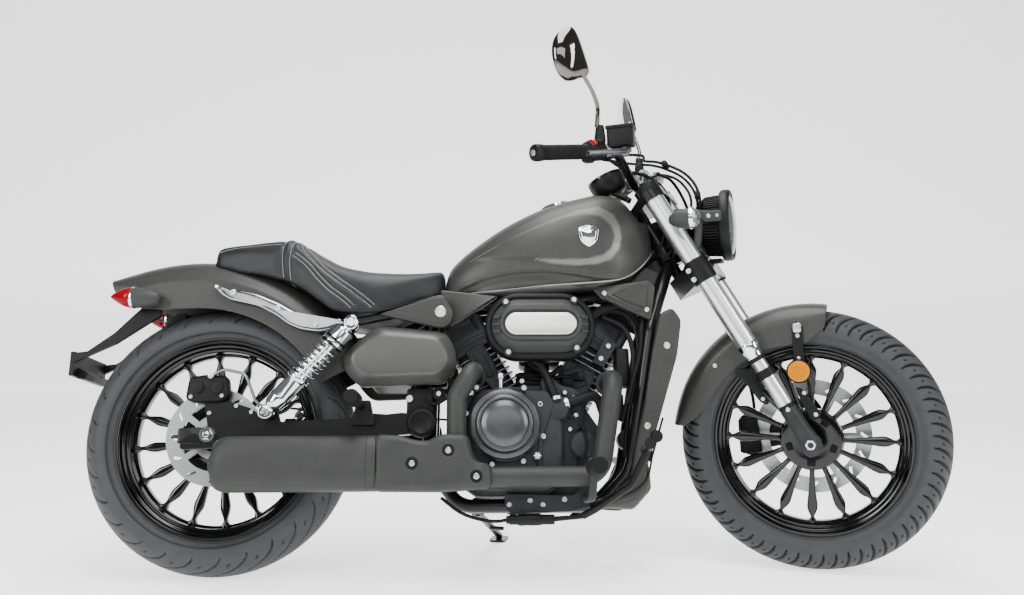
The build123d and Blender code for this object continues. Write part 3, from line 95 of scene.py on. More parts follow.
# ------------------------------------------------------------------ stance
def turn(axis: Sequence[float], degrees: float) -> Array:
    """Rotation matrix about an axis, by Rodrigues' formula I + sin K + (1 - cos) K K."""
    x, y, z = np.asarray(axis, float) / np.linalg.norm(axis)
    cross = np.array([[0, -z, y], [z, 0, -x], [-y, x, 0]])
    angle = math.radians(degrees)
    return np.eye(3) + math.sin(angle) * cross + (1 - math.cos(angle)) * cross @ cross


@dataclass(frozen=True)
class Stance:
    """How the motorcycle stands: bars turned, leaned onto the stand, tyres on the floor."""

    lean: float = 12.0
    pitch: float = -0.0904879
    lift: float = 1.855525
    steer: float = -24.6
    rake: float = 29.2
    pivot: Point = (1347.6247, 0.0, 275.7284)
    shift: Point = (-672.520, -152.774, 0.0)

    @property
    def up(self) -> Array:
        """Direction up the steering axis."""
        angle = math.radians(self.rake)
        return np.array([-math.sin(angle), 0.0, math.cos(angle)])

    @property
    def ahead(self) -> Array:
        """Direction square to the steering axis, forwards."""
        angle = math.radians(self.rake)
        return np.array([math.cos(angle), 0.0, math.sin(angle)])

    def place(self, points: Array, steered: bool) -> Array:
        """Upright millimetres to parked metres.

        Args:
            points: Points as rows.
            steered: Whether they turn with the bars.

        Returns:
            The points in the shared frame, in metres.
        """
        points = np.asarray(points, float)
        if steered:
            pivot = np.asarray(self.pivot)
            points = (points - pivot) @ turn(self.up, self.steer).T + pivot
        settle = turn((0, 1, 0), self.pitch) @ turn((1, 0, 0), -self.lean)
        return (points @ settle.T + (0, 0, self.lift) + self.shift) / 1000.0


STANCE = Stance()


REAR_AXLE: Point = (0.0, 0.0, 311.0)
FRONT_AXLE: Point = (1400.0, 0.0, 305.0)
LEG_SPACING = 99.0


def on_leg(along: float, side: float) -> Array:
    """Point of a fork leg's centre line, along mm above the front axle."""
    return np.array(FRONT_AXLE) + (0, side * LEG_SPACING, 0) + STANCE.up * along


# ------------------------------------------------------------------ surfaces
@dataclass
class Shell:
    """Points and faces of a surface before it becomes an object."""

    points: Array
    quads: Array = field(default_factory=lambda: np.zeros((0, 4), int))
    caps: list[list[int]] = field(default_factory=list)

    def __add__(self, other: Shell) -> Shell:
        """Both surfaces as one."""
        count = len(self.points)
        return Shell(np.vstack([self.points, other.points]), np.vstack([self.quads, other.quads + count]),
                     self.caps + [[index + count for index in cap] for cap in other.caps])

    def mapped(self, rule: Callable[[Array], Array]) -> Shell:
        """The surface with its points passed through a rule."""
        return Shell(rule(self.points), self.quads, self.caps)

    def mirrored(self) -> Shell:
        """The surface on the other side of the centre plane, still facing outwards."""
        return Shell(self.points * (1, -1, 1), self.quads[:, ::-1], [cap[::-1] for cap in self.caps])


def joined(shells: Iterable[Shell]) -> Shell:
    """Several surfaces as one."""
    shells = list(shells)
    total = shells[0]
    for shell in shells[1:]:
        total = total + shell
    return total


def both(shell: Shell) -> Shell:
    """A surface and its mirror image."""
    return shell + shell.mirrored()


def grid(points: Array, loop_rows: bool = False, loop_cols: bool = False,
         cap_start: bool = False, cap_end: bool = False) -> Shell:
    """Surface through a grid of points, with faces on the side of rows x columns.

    Args:
        points: Array of rows by columns by three.
        loop_rows: Whether the last row joins the first.
        loop_cols: Whether the last column joins the first.
        cap_start: Whether the first row is closed by one face.
        cap_end: Whether the last row is closed by one face.

    Returns:
        The surface.
    """
    rows, cols = points.shape[:2]
    index = np.arange(rows * cols).reshape(rows, cols)
    across = np.hstack([index, index[:, :1]]) if loop_cols else index
    down = np.vstack([across, across[:1]]) if loop_rows else across
    quads = np.stack([down[:-1, :-1], down[1:, :-1], down[1:, 1:], down[:-1, 1:]], -1).reshape(-1, 4)
    caps = []
    if cap_start:
        caps.append(index[0].tolist())
    if cap_end:
        caps.append(index[-1][::-1].tolist())
    return Shell(points.reshape(-1, 3), quads, caps)


def curve(knots: Sequence[Sequence[float]], count: int, loop: bool = False) -> Array:
    """Points along a uniform Catmull-Rom curve: each run blends its four nearest knots cubically.

    Args:
        knots: Points that the curve passes through.
        count: How many points are returned.
        loop: Whether the curve closes on itself.

    Returns:
        Points evenly spread over the knots.
    """
    knots = np.asarray(knots, float)
    if loop:
        padded = np.vstack([knots[-1:], knots, knots[:2]])
        runs = len(knots)
    else:
        padded = np.vstack([2 * knots[0] - knots[1], knots, 2 * knots[-1] - knots[-2]])
        runs = len(knots) - 1
    along = np.linspace(0, runs, count, endpoint=not loop)
    run = np.minimum(along.astype(int), runs - 1)
    t = (along - run)[:, None]
    a, b, c, d = (padded[run + step] for step in range(4))
    square, cube = 2 * a - 5 * b + 4 * c - d, 3 * b - a - 3 * c + d
    return 0.5 * (2 * b + (c - a) * t + square * t ** 2 + cube * t ** 3)


def rounded(outline: Sequence[Sequence[float]], radius: float, steps: int = 5) -> Array:
    """Closed outline with each corner replaced by a quadratic blend that starts radius from it.

    Args:
        outline: Corners in order.
        radius: Distance from a corner to the start of its blend, at most 45% of the shorter run.
        steps: Points on each corner.

    Returns:
        Points of the rounded outline.
    """
    corner = np.asarray(outline, float)
    back, on = np.roll(corner, 1, 0) - corner, np.roll(corner, -1, 0) - corner
    reach_back = np.minimum(radius, 0.45 * np.linalg.norm(back, axis=1))[:, None]
    reach_on = np.minimum(radius, 0.45 * np.linalg.norm(on, axis=1))[:, None]
    start = corner + back / np.linalg.norm(back, axis=1)[:, None] * reach_back
    end = corner + on / np.linalg.norm(on, axis=1)[:, None] * reach_on
    t = np.linspace(0, 1, steps)[None, :, None]
    points = (1 - t) ** 2 * start[:, None] + 2 * t * (1 - t) * corner[:, None] + t ** 2 * end[:, None]
    return points.reshape(-1, corner.shape[1])


def inset(outline: Array, distance: float) -> Array:
    """Closed 2-D outline moved inwards along the mean of its two edge normals."""
    edge = np.roll(outline, -1, 0) - outline
    edge = edge / np.maximum(np.linalg.norm(edge, axis=1)[:, None], 1e-9)
    normal = np.stack([-edge[:, 1], edge[:, 0]], -1)
    mean = normal + np.roll(normal, 1, 0)
    mean = mean / np.maximum(np.linalg.norm(mean, axis=1)[:, None], 0.35)
    area = np.sum(outline[:, 0] * np.roll(outline[:, 1], -1) - outline[:, 1] * np.roll(outline[:, 0], -1))
    return outline + mean * distance * (1 if area > 0 else -1)


def frame_of(direction: Sequence[float]) -> tuple[Array, Array, Array]:
    """Right-handed axes whose last one is the direction."""
    forward = np.asarray(direction, float) / np.linalg.norm(direction)
    hint = (0, 0, 1) if abs(forward[2]) < 0.9 else (1, 0, 0)
    side = np.cross(np.asarray(hint, float), forward)
    side = side / np.linalg.norm(side)
    return side, np.cross(forward, side), forward


def shrunk(outline: Array, distance: float) -> Array:
    """Outline drawn in towards its middle, by a distance at its widest points, so that it never crosses."""
    low, high = outline.min(0), outline.max(0)
    return (low + high) / 2 + (outline - (low + high) / 2) * (1 - 2 * distance / (high - low))


def stacked(outline: Array, steps: Sequence[tuple[float, float]], origin: Sequence[float] = (0, 0, 0),
            x_dir: Sequence[float] = (1, 0, 0), y_dir: Sequence[float] = (0, 0, 1), crown: float = 0.0,
            draw_in: Callable[[Array, float], Array] = inset) -> Shell:
    """Closed form of one outline stepped in and up, like the contours of a pressed cover.

    Args:
        outline: Closed outline in the form's own plane.
        steps: How far in, and the height along the plane's normal, of every contour.
        origin: Origin of the plane.
        x_dir: First axis of the plane; with the default second one the normal points to the right.
        y_dir: Second axis of the plane.
        crown: How far the last face bulges over its middle.
        draw_in: Rule that moves the outline inwards.

    Returns:
        The closed surface.
    """
    outline = np.asarray(outline, float)
    area = np.sum(outline[:, 0] * np.roll(outline[:, 1], -1) - outline[:, 1] * np.roll(outline[:, 0], -1))
    if area < 0:
        outline = outline[::-1]
    x_axis, y_axis = np.asarray(x_dir, float), np.asarray(y_dir, float)
    normal = np.cross(x_axis, y_axis)
    rings = [np.column_stack([draw_in(outline, step) if abs(step) > 1e-6 else outline,
                              np.full(len(outline), height)]) for step, height in steps]
    if crown:
        last = rings[-1].copy()
        middle = last[:, :2].mean(0)
        for share in (0.9, 0.75, 0.55, 0.35, 0.15):
            ring = last.copy()
            ring[:, :2] = middle + (last[:, :2] - middle) * share
            ring[:, 2] = last[0, 2] + crown * (1 - share ** 2)
            rings.append(ring)
    local = np.array(rings)
    points = (np.asarray(origin, float) + local[..., :1] * x_axis + local[..., 1:2] * y_axis
              + local[..., 2:] * normal)
    return grid(points[:, ::-1], loop_cols=True, cap_start=True, cap_end=True)


def rim_steps(low: float, high: float, edge: float) -> list[tuple[float, float]]:
    """Contours of a plate whose two rims are rounded by quarter circles."""
    angle = np.linspace(0, math.pi / 2, 4)
    steps = [(edge * (1 - math.sin(a)), low + edge * (1 - math.cos(a))) for a in angle]
    return steps + [(edge * (1 - math.cos(a)), high - edge * (1 - math.sin(a))) for a in angle]


def plate(outline: Array, low: float, high: float, edge: float = 1.5,
          origin: Sequence[float] = (0, 0, 0), x_dir: Sequence[float] = (1, 0, 0),
          y_dir: Sequence[float] = (0, 0, 1), crown: float = 0.0) -> Shell:
    """Plate of an outline between two heights along its plane's normal, with both rims rounded."""
    return stacked(outline, rim_steps(low, high, edge), origin, x_dir, y_dir, crown)


def side_plate(outline: Array, y_low: float, y_high: float, edge: float = 1.5) -> Shell:
    """Plate drawn in the side view (x, z), its high face towards y_high."""
    outline = np.asarray(outline, float)
    if y_high >= y_low:
        return plate(outline * (-1, 1), y_low, y_high, edge, x_dir=(-1, 0, 0))
    return plate(outline, -y_low, -y_high, edge)


def lathe(profile: Sequence[Sequence[float]], origin: Sequence[float] = (0, 0, 0),
          axis: Sequence[float] = (0, 1, 0), sides: int = 48, closed: bool = False) -> Shell:
    """Surface of revolution: every (along, radius) point of the profile turned round the axis.

    Args:
        profile: Points as (distance along the axis, radius), along the axis with the outside on the left.
        origin: Point where distance is zero.
        axis: Direction of the axis.
        sides: Points round the axis.
        closed: Whether the profile is a loop, as for a ring.

    Returns:
        The surface, its ends capped unless it is a ring.
    """
    profile = np.asarray(profile, float)
    side, up, forward = frame_of(axis)
    angle = np.linspace(0, TAU, sides, endpoint=False)
    radial = np.cos(angle)[:, None] * side + np.sin(angle)[:, None] * up
    points = (np.asarray(origin, float) + profile[:, 0][:, None, None] * forward
              + profile[:, 1][:, None, None] * radial)
    return grid(points[:, ::-1], loop_rows=closed, loop_cols=True, cap_start=not closed, cap_end=not closed)


def bent(points: Sequence[Sequence[float]], radius: float) -> Array:
    """Path of straight runs joined by true arcs, drawn as rational quadratics weighted by cos(turn / 2)."""
    corner = np.asarray(points, float)
    runs = []
    for before, here, after in zip(corner[:-2], corner[1:-1], corner[2:]):
        into, out = before - here, after - here
        into_len, out_len = np.linalg.norm(into), np.linalg.norm(out)
        half = 0.5 * (math.pi - math.acos(np.clip(into @ out / (into_len * out_len), -1, 1)))
        reach = min(radius * math.tan(half), 0.48 * into_len, 0.48 * out_len)
        t = np.linspace(0, 1, 9)[:, None]
        ends = here + into / into_len * reach, here + out / out_len * reach
        weight = [(1 - t) ** 2, 2 * t * (1 - t) * math.cos(half), t ** 2]
        runs.append((weight[0] * ends[0] + weight[1] * here + weight[2] * ends[1]) / sum(weight))
    return np.vstack([corner[:1], *runs, corner[-1:]])


def carried(path: Array, hint: Sequence[float] | None) -> tuple[Array, Array]:
    """Across and up directions along a path: level with a hint, or carried on without twist."""
    tangent = np.gradient(path, axis=0)
    tangent /= np.maximum(np.linalg.norm(tangent, axis=1)[:, None], 1e-9)
    if hint is not None:
        across = np.cross(tangent, np.asarray(hint, float))
    else:
        across = np.empty_like(tangent)
        side = frame_of(tangent[0])[0]
        for index, along in enumerate(tangent):
            side = side - (side @ along) * along
            side = side / np.linalg.norm(side)
            across[index] = side
    across /= np.maximum(np.linalg.norm(across, axis=1)[:, None], 1e-9)
    return across, np.cross(across, tangent)


def swept(path: Array, section: Array, hint: Sequence[float] | None = None, scale: Array | float = 1.0,
          loop: bool = False) -> Shell:
    """Section carried along a path and kept square to it.

    Args:
        path: Points of the path.
        section: Closed outline, anticlockwise, as (across, up) points.
        hint: Direction that the section's second axis leans towards; without it the section isn't twisted.
        scale: Size of the section at every point of the path.
        loop: Whether the path closes.

    Returns:
        The surface, its ends capped unless the path closes.
    """
    path = np.asarray(path, float)
    ends = (path[-1:], path[:1]) if loop else (2 * path[:1] - path[1:2], 2 * path[-1:] - path[-2:-1])
    across, up = carried(np.vstack([ends[0], path, ends[1]]), hint)
    size = np.broadcast_to(np.asarray(scale, float), (len(path),))[:, None, None]
    points = path[:, None] + size * (section[None, :, :1] * across[1:-1, None]
                                     + section[None, :, 1:] * up[1:-1, None])
    return grid(points, loop_rows=loop, loop_cols=True, cap_start=not loop, cap_end=not loop)


def circle(radius: float, sides: int = 20) -> Array:
    """Circle as an anticlockwise outline."""
    angle = np.linspace(0, TAU, sides, endpoint=False)
    return radius * np.column_stack([np.cos(angle), np.sin(angle)])


def stadium(length: float, width: float, centre: Sequence[float] = (0, 0), steps: int = 18) -> Array:
    """Outline with two straight sides and half-round ends."""
    angle = np.linspace(-math.pi / 2, math.pi / 2, steps)
    end = 0.5 * width * np.column_stack([np.cos(angle), np.sin(angle)])
    shift = np.array([0.5 * (length - width), 0.0])
    return np.vstack([end + shift, -end - shift]) + np.asarray(centre, float)


def slab(width: float, height: float, corner: float, centre: Sequence[float] = (0, 0)) -> Array:
    """Rectangle with rounded corners."""
    x, y = width / 2, height / 2
    return rounded([(-x, -y), (x, -y), (x, y), (-x, y)], corner, 5) + np.asarray(centre, float)


def superellipse(half_x: float, half_y: float, power: float, count: int = 48) -> Array:
    """Outline |x/a|^p + |y/b|^p = 1."""
    angle = np.linspace(0, TAU, count, endpoint=False)
    cos, sin = np.cos(angle), np.sin(angle)
    return np.column_stack([half_x * np.sign(cos) * np.abs(cos) ** (2 / power),
                            half_y * np.sign(sin) * np.abs(sin) ** (2 / power)])


def tube(knots: Sequence[Sequence[float]], radius: float | Sequence[float], count: int = 40,
         sides: int = 16) -> Shell:
    """Round tube through knots, its radius spread evenly along it when several are given."""
    path = curve(knots, count)
    radii = np.atleast_1d(np.asarray(radius, float))
    along = np.linspace(0, 1, count)
    scale = np.interp(along, np.linspace(0, 1, len(radii)), radii)
    return swept(path, circle(1.0, sides), scale=scale)


def pipe(points: Sequence[Sequence[float]], radius: float, bend: float) -> Shell:
    """Round pipe of straight runs and arcs."""
    return swept(bent(points, bend), circle(radius, 28))


def coil(start: Sequence[float], end: Sequence[float], radius: float, wire: float, turns: float) -> Shell:
    """Compression spring: a helix whose end turns close up, swept with round wire."""
    start, end = np.asarray(start, float), np.asarray(end, float)
    side, up, _ = frame_of(end - start)
    t = np.linspace(0, 1, int(turns * 40))
    angle = TAU * turns * t
    rise = t + 0.035 * np.sin(TAU * t)
    ring = np.cos(angle)[:, None] * side + np.sin(angle)[:, None] * up
    return swept(start + rise[:, None] * (end - start) + radius * ring, circle(wire, 10))


def rod(start: Sequence[float], end: Sequence[float], radius: float, edge: float = 1.0,
        sides: int = 32) -> Shell:
    """Round bar with rounded rims between two points."""
    start, end = np.asarray(start, float), np.asarray(end, float)
    length = float(np.linalg.norm(end - start))
    edge = min(edge, radius * 0.6, length * 0.4)
    angle = np.linspace(0, math.pi / 2, 4)
    profile = [(edge * (1 - math.cos(a)), radius - edge * (1 - math.sin(a))) for a in angle]
    profile += [(length - edge * (1 - math.sin(a)), radius - edge * (1 - math.cos(a))) for a in angle]
    return lathe(profile, start, end - start, sides)


def bolt(centre: Sequence[float], direction: Sequence[float], radius: float, height: float) -> Shell:
    """Cap screw with a chamfered head and a round socket."""
    rim = radius * 0.18
    profile = [(0, radius), (height - rim, radius), (height, radius - rim), (height, radius * 0.55),
               (height * 0.45, radius * 0.5)]
    return lathe(profile, centre, direction, 12)


def box(centre: Sequence[float], size: Sequence[float], edge: float = 2.0) -> Shell:
    """Box with rounded upright and level rims."""
    x, y, z = np.asarray(size, float) / 2
    outline = rounded([(-x, -y), (x, -y), (x, y), (-x, y)], min(edge * 1.5, x * 0.8, y * 0.8), 4)
    return plate(outline, -z, z, min(edge, z * 0.8), origin=centre, y_dir=(0, 1, 0))


# ------------------------------------------------------------------ finishes
def linear(code: str) -> tuple[float, float, float, float]:
    """Linear colour from an sRGB hex code."""
    parts = [int(code[i:i + 2], 16) / 255 for i in (1, 3, 5)]
    red, green, blue = (p / 12.92 if p <= 0.04045 else ((p + 0.055) / 1.055) ** 2.4 for p in parts)
    return (red, green, blue, 1.0)


def add(tree: bpy.types.NodeTree, kind: str, settings: dict[str, Any] | None = None,
        **links: bpy.types.NodeSocket) -> bpy.types.Node:
    """Adds a node with its settings and links.

    Args:
        tree: Node tree of the material.
        kind: Blender's name of the node.
        settings: Socket values by socket name or number, or properties of the node.
        links: Output sockets by the name of the input they feed, with _ for a space.

    Returns:
        The node.
    """
    node = tree.nodes.new(kind)
    for key, value in (settings or {}).items():
        if isinstance(key, str) and key not in node.inputs:
            setattr(node, key, value)
        else:
            node.inputs[key].default_value = value
    for key, socket in links.items():
        name = key.replace("_", " ")
        tree.links.new(socket, node.inputs[int(name[1:]) if name[0] == "n" and name[1:].isdigit() else name])
    return node


def per_mm(size: float) -> float:
    """Noise scale whose features are about size mm, on coordinates in metres."""
    return 1000.0 / size


@dataclass(frozen=True)
class Finish:
    """A surface finish: colour, gloss, a slight mottle and a fine relief.

    Colours are sRGB codes; mottle_mm and grain_mm are the sizes of the colour patches and of the
    relief, and grain_depth is the relief's height in mm.
    """

    name: str
    colour: str
    shade: str = ""
    roughness: float = 0.5
    metallic: float = 0.0
    ior: float = 1.5
    specular: float = 0.16
    coat: float = 0.0
    clear: float = 0.0
    glow: float = 0.0
    mottle_mm: float = 60.0
    mottle: float = 0.5
    grain_mm: float = 1.2
    grain_depth: float = 0.0
    stretch: tuple[float, float, float] = (1.0, 1.0, 1.0)
    uneven: float = 0.06

    def build(self) -> bpy.types.Material:
        """The material of the finish."""
        material = bpy.data.materials.new(self.name)
        material.use_nodes = True
        tree = material.node_tree
        tree.nodes.clear()
        place = add(tree, "ShaderNodeTexCoord")
        shader = add(tree, "ShaderNodeBsdfPrincipled", {
            "Metallic": self.metallic, "IOR": self.ior, "Specular IOR Level": self.specular,
            "Coat Weight": self.coat, "Transmission Weight": self.clear, "Emission Strength": self.glow})
        self.dress(tree, place.outputs["Object"], shader)
        add(tree, "ShaderNodeOutputMaterial", Surface=shader.outputs["BSDF"])
        return material

    def dress(self, tree: bpy.types.NodeTree, place: bpy.types.NodeSocket, shader: bpy.types.Node) -> None:
        """Links the mottle, the uneven gloss and the relief to the shader."""
        patches = add(tree, "ShaderNodeTexNoise", {"Scale": per_mm(self.mottle_mm), "Detail": 4.0},
                      Vector=place)
        blend = add(tree, "ShaderNodeMix", {"data_type": "RGBA", 6: linear(self.colour),
                                            7: linear(self.shade or self.colour)},
                    Factor=self.scaled(tree, patches.outputs["Fac"], self.mottle))
        tree.links.new(blend.outputs[2], shader.inputs["Base Color"])
        gloss = add(tree, "ShaderNodeMapRange", {"To Min": max(0.02, self.roughness - self.uneven),
                                                 "To Max": min(1.0, self.roughness + self.uneven)},
                    Value=patches.outputs["Fac"])
        tree.links.new(gloss.outputs[0], shader.inputs["Roughness"])
        if self.grain_depth:
            stretched = add(tree, "ShaderNodeMapping", {"Scale": self.stretch}, Vector=place)
            grain = add(tree, "ShaderNodeTexNoise", {"Scale": per_mm(self.grain_mm), "Detail": 3.0},
                        Vector=stretched.outputs[0])
            self.relief(tree, grain.outputs["Fac"], shader, self.grain_depth)

    @staticmethod
    def scaled(tree: bpy.types.NodeTree, socket: bpy.types.NodeSocket, share: float) -> bpy.types.NodeSocket:
        """A socket's values spread from zero to a share of one."""
        return add(tree, "ShaderNodeMapRange", {"From Min": 0.3, "From Max": 0.7, "To Max": share},
                   Value=socket).outputs[0]

    @staticmethod
    def relief(tree: bpy.types.NodeTree, height: bpy.types.NodeSocket, shader: bpy.types.Node,
               depth: float) -> None:
        """Bump of a height given in mm."""
        bump = add(tree, "ShaderNodeBump", {"Distance": depth / 1000.0, "Strength": 1.0}, Height=height)
        tree.links.new(bump.outputs["Normal"], shader.inputs["Normal"])


@dataclass(frozen=True)
class Paint(Finish):
    """Matt lacquer with a metallic fleck, and a lighter stripe where a piece's stripe attribute is 1."""

    stripe: str = "#6b6c69"

    def dress(self, tree: bpy.types.NodeTree, place: bpy.types.NodeSocket, shader: bpy.types.Node) -> None:
        """Adds the fleck and the stripe to the plain finish."""
        super().dress(tree, place, shader)
        base = shader.inputs["Base Color"].links[0].from_socket
        fleck = add(tree, "ShaderNodeTexNoise", {"Scale": per_mm(0.9), "Detail": 1.0}, Vector=place)
        specks = add(tree, "ShaderNodeMapRange", {"From Min": 0.56, "From Max": 0.78, "To Max": 0.3},
                     Value=fleck.outputs["Fac"])
        lit = add(tree, "ShaderNodeMix", {"data_type": "RGBA", "blend_type": "SCREEN", 7: linear("#8e908c")},
                  n6=base, Factor=specks.outputs[0])
        mask = add(tree, "ShaderNodeAttribute", {"attribute_name": "stripe"})
        striped = add(tree, "ShaderNodeMix", {"data_type": "RGBA", 7: linear(self.stripe)},
                      n6=lit.outputs[2], Factor=mask.outputs["Fac"])
        tree.links.new(striped.outputs[2], shader.inputs["Base Color"])


@dataclass(frozen=True)
class Leather(Finish):
    """Grained vinyl: a relief of rounded cells, grain_mm wide, over slow waves."""

    def dress(self, tree: bpy.types.NodeTree, place: bpy.types.NodeSocket, shader: bpy.types.Node) -> None:
        """Puts the cells' relief in place of the plain grain."""
        super().dress(tree, place, shader)
        cells = add(tree, "ShaderNodeTexVoronoi", {"Scale": per_mm(self.grain_mm), "feature": "F1"},
                    Vector=place)
        waves = add(tree, "ShaderNodeTexNoise", {"Scale": per_mm(14.0), "Detail": 5.0}, Vector=place)
        height = add(tree, "ShaderNodeMath", {"operation": "SUBTRACT"},
                     n0=waves.outputs["Fac"], n1=cells.outputs["Distance"])
        self.relief(tree, height.outputs[0], shader, self.grain_depth)


@dataclass(frozen=True)
class Rubber(Finish):
    """Tyre rubber with painted shade: darker in the tread grooves that the groove attribute marks."""

    def dress(self, tree: bpy.types.NodeTree, place: bpy.types.NodeSocket, shader: bpy.types.Node) -> None:
        """Adds the painted shade of the grooves to the plain finish."""
        super().dress(tree, place, shader)
        # Painted shade: the groove mask mixes the rubber towards near black where the grooves are cut.
        mask = add(tree, "ShaderNodeAttribute", {"attribute_name": "groove"})
        dark = add(tree, "ShaderNodeMix", {"data_type": "RGBA", 7: linear("#020203")},
                   n6=shader.inputs["Base Color"].links[0].from_socket, Factor=mask.outputs["Fac"])
        tree.links.new(dark.outputs[2], shader.inputs["Base Color"])


@dataclass(frozen=True)
class Metal(Finish):
    """Bare or plated metal; its relief, where it has one, is drawn out along the stretch."""


FINISHES: dict[str, Finish] = {
    # Matt lacquer over a fine metallic base, sprayed: soft wide highlights, no mirror image.
    "body_paint": Paint("matt metallic lacquer", "#333332", "#3a3a38", roughness=0.4, metallic=0.4,
                        mottle_mm=180, mottle=0.4, grain_mm=0.8, grain_depth=0.008),
    # Powder-coated steel and cast covers: even satin with a faint orange peel.
    "satin_grey": Paint("satin powder coat", "#2e2e2c", "#343432", roughness=0.42, metallic=0.35,
                        mottle_mm=120, grain_mm=1.5, grain_depth=0.012),
    "frame_black": Finish("black powder coat", "#0a0a0b", "#0f0f10", roughness=0.34, coat=0.25,
                          grain_mm=2.2, grain_depth=0.02),
    "engine_grey": Finish("charcoal engine enamel", "#252628", "#303132", roughness=0.5, metallic=0.25,
                          mottle_mm=25, grain_mm=0.9, grain_depth=0.03),
    "fin_edge": Finish("machined fin edge", "#7d7f80", "#5b5d5e", roughness=0.36, metallic=0.9,
                       mottle_mm=9, grain_mm=0.5, grain_depth=0.01),
    "radiator_black": Finish("matt black radiator", "#080809", "#0f0f0f", roughness=0.6, metallic=0.3),
    "moulded_grey": Finish("moulded grey ABS", "#2f3030", "#373838", roughness=0.5, grain_mm=0.7,
                           grain_depth=0.02),
    "moulded_black": Finish("moulded black ABS", "#0b0b0c", "#111112", roughness=0.48, grain_mm=0.7,
                            grain_depth=0.03),
    "brushed_plate": Metal("brushed aluminium", "#f1f1ee", "#dcdcd8", roughness=0.36, metallic=1.0,
                           mottle_mm=30, grain_mm=0.5, grain_depth=0.015, stretch=(0.04, 1, 1)),
    "hose_rubber": Finish("hose rubber", "#0a0a0b", "#121213", roughness=0.55, grain_mm=1.4,
                          grain_depth=0.03),
    # Sprayed heat-proof coating, baked hard: matt charcoal with a fine sandy grain.
    "exhaust_grey": Finish("heat-proof coating", "#303130", "#393a39", roughness=0.52, metallic=0.35,
                           mottle_mm=45, grain_mm=0.8, grain_depth=0.03),
    "chrome": Metal("bright chrome", "#dfe1e2", "#cfd1d3", roughness=0.09, metallic=1.0, uneven=0.03,
                    mottle_mm=40),
    # Rolled, then polished: a streaky mirror, greyer than plating.
    "polished_steel": Metal("polished stainless", "#94989b", "#6e7276", roughness=0.15, metallic=1.0,
                            mottle_mm=60, grain_mm=0.6, grain_depth=0.004, stretch=(0.1, 1, 1)),
    "fork_tube": Metal("hard-chromed tube", "#dfe0e0", "#cfd0d0", roughness=0.34, metallic=1.0, uneven=0.05,
                       mottle_mm=14, grain_mm=0.6, grain_depth=0.006, stretch=(1, 1, 0.05)),
    "seat_leather": Leather("grained vinyl", "#121315", "#181a1c", roughness=0.46, specular=0.28,
                            mottle_mm=30, grain_mm=1.6, grain_depth=0.16),
    "thread": Finish("white thread", "#dcdbd4", "#c6c5bf", roughness=0.7, mottle_mm=3),
    "belt_rubber": Finish("belt rubber", "#070707", "#0c0c0e", roughness=0.7, grain_mm=1.0, grain_depth=0.05),
    "red_lens": Finish("red acrylic", "#7c0010", "#58000c", roughness=0.1, specular=0.1, mottle_mm=12),
    "amber_lens": Finish("amber reflex lens", "#c07400", "#a86000", roughness=0.16, specular=0.06,
                         mottle_mm=5),
    "clutch_enamel": Finish("satin clutch enamel", "#464748", "#505152", roughness=0.3, metallic=0.75,
                            mottle_mm=40, grain_mm=0.6, grain_depth=0.008),
    "cover_grey": Finish("soft-touch cover", "#383936", "#42433f", roughness=0.38, metallic=0.2, specular=0.5,
                         grain_mm=0.7, grain_depth=0.012),
    "clear_lens": Finish("clear polycarbonate", "#f4f7f7", "#eef2f2", roughness=0.03, clear=0.94, ior=1.45,
                         uneven=0.01),
    "lamp_reflector": Metal("aluminised reflector", "#d6d9da", "#c4c7c9", roughness=0.12, metallic=1.0),
    "peg_steel": Metal("satin steel", "#6f7172", "#5a5c5d", roughness=0.35, metallic=1.0, mottle_mm=12),
    "wheel_black": Finish("gloss black wheel enamel", "#050505", "#070708", roughness=0.14, specular=0.2,
                          coat=0.3, uneven=0.03),
    # Tyre rubber whose grooves get painted shade from the groove attribute.
    "tyre": Rubber("tyre rubber", "#323436", "#3c3e40", roughness=0.55, mottle_mm=22, grain_mm=0.8,
                   grain_depth=0.05),
    "disc_steel": Metal("ground disc steel", "#9b9c9d", "#858687", roughness=0.34, metallic=1.0,
                        mottle_mm=7, grain_mm=0.7, grain_depth=0.01),
    "grip_rubber": Finish("grip rubber", "#09090a", "#0f0f10", roughness=0.66, grain_mm=0.9,
                          grain_depth=0.05),
    # Painted reflection: chrome with its colour darkened to stand in for the dark surroundings that the
    # mirror backs and stems reflect.
    "mirror_chrome": Metal("chrome darkened as painted reflection", "#6c6a67", "#5a5856", roughness=0.06, metallic=1.0, uneven=0.02,
                           mottle_mm=50),
    "mirror_glass": Metal("silvered glass", "#eef0f1", "#e8eaec", roughness=0.02, metallic=1.0, uneven=0.01),
    "bolt_steel": Metal("zinc-plated steel", "#d0d2d3", "#b4b6b7", roughness=0.32, metallic=1.0, mottle_mm=4),
    "red_switch": Finish("red moulded switch", "#a30a0f", "#8c070b", roughness=0.4),
    # Painted highlight: a lighter satin grey along the tank's rolled seam for the line of light on its edge.
    "painted_seam_highlight": Finish("satin edge bead", "#8b8c88", "#7c7d79", roughness=0.4, metallic=0.5),
}


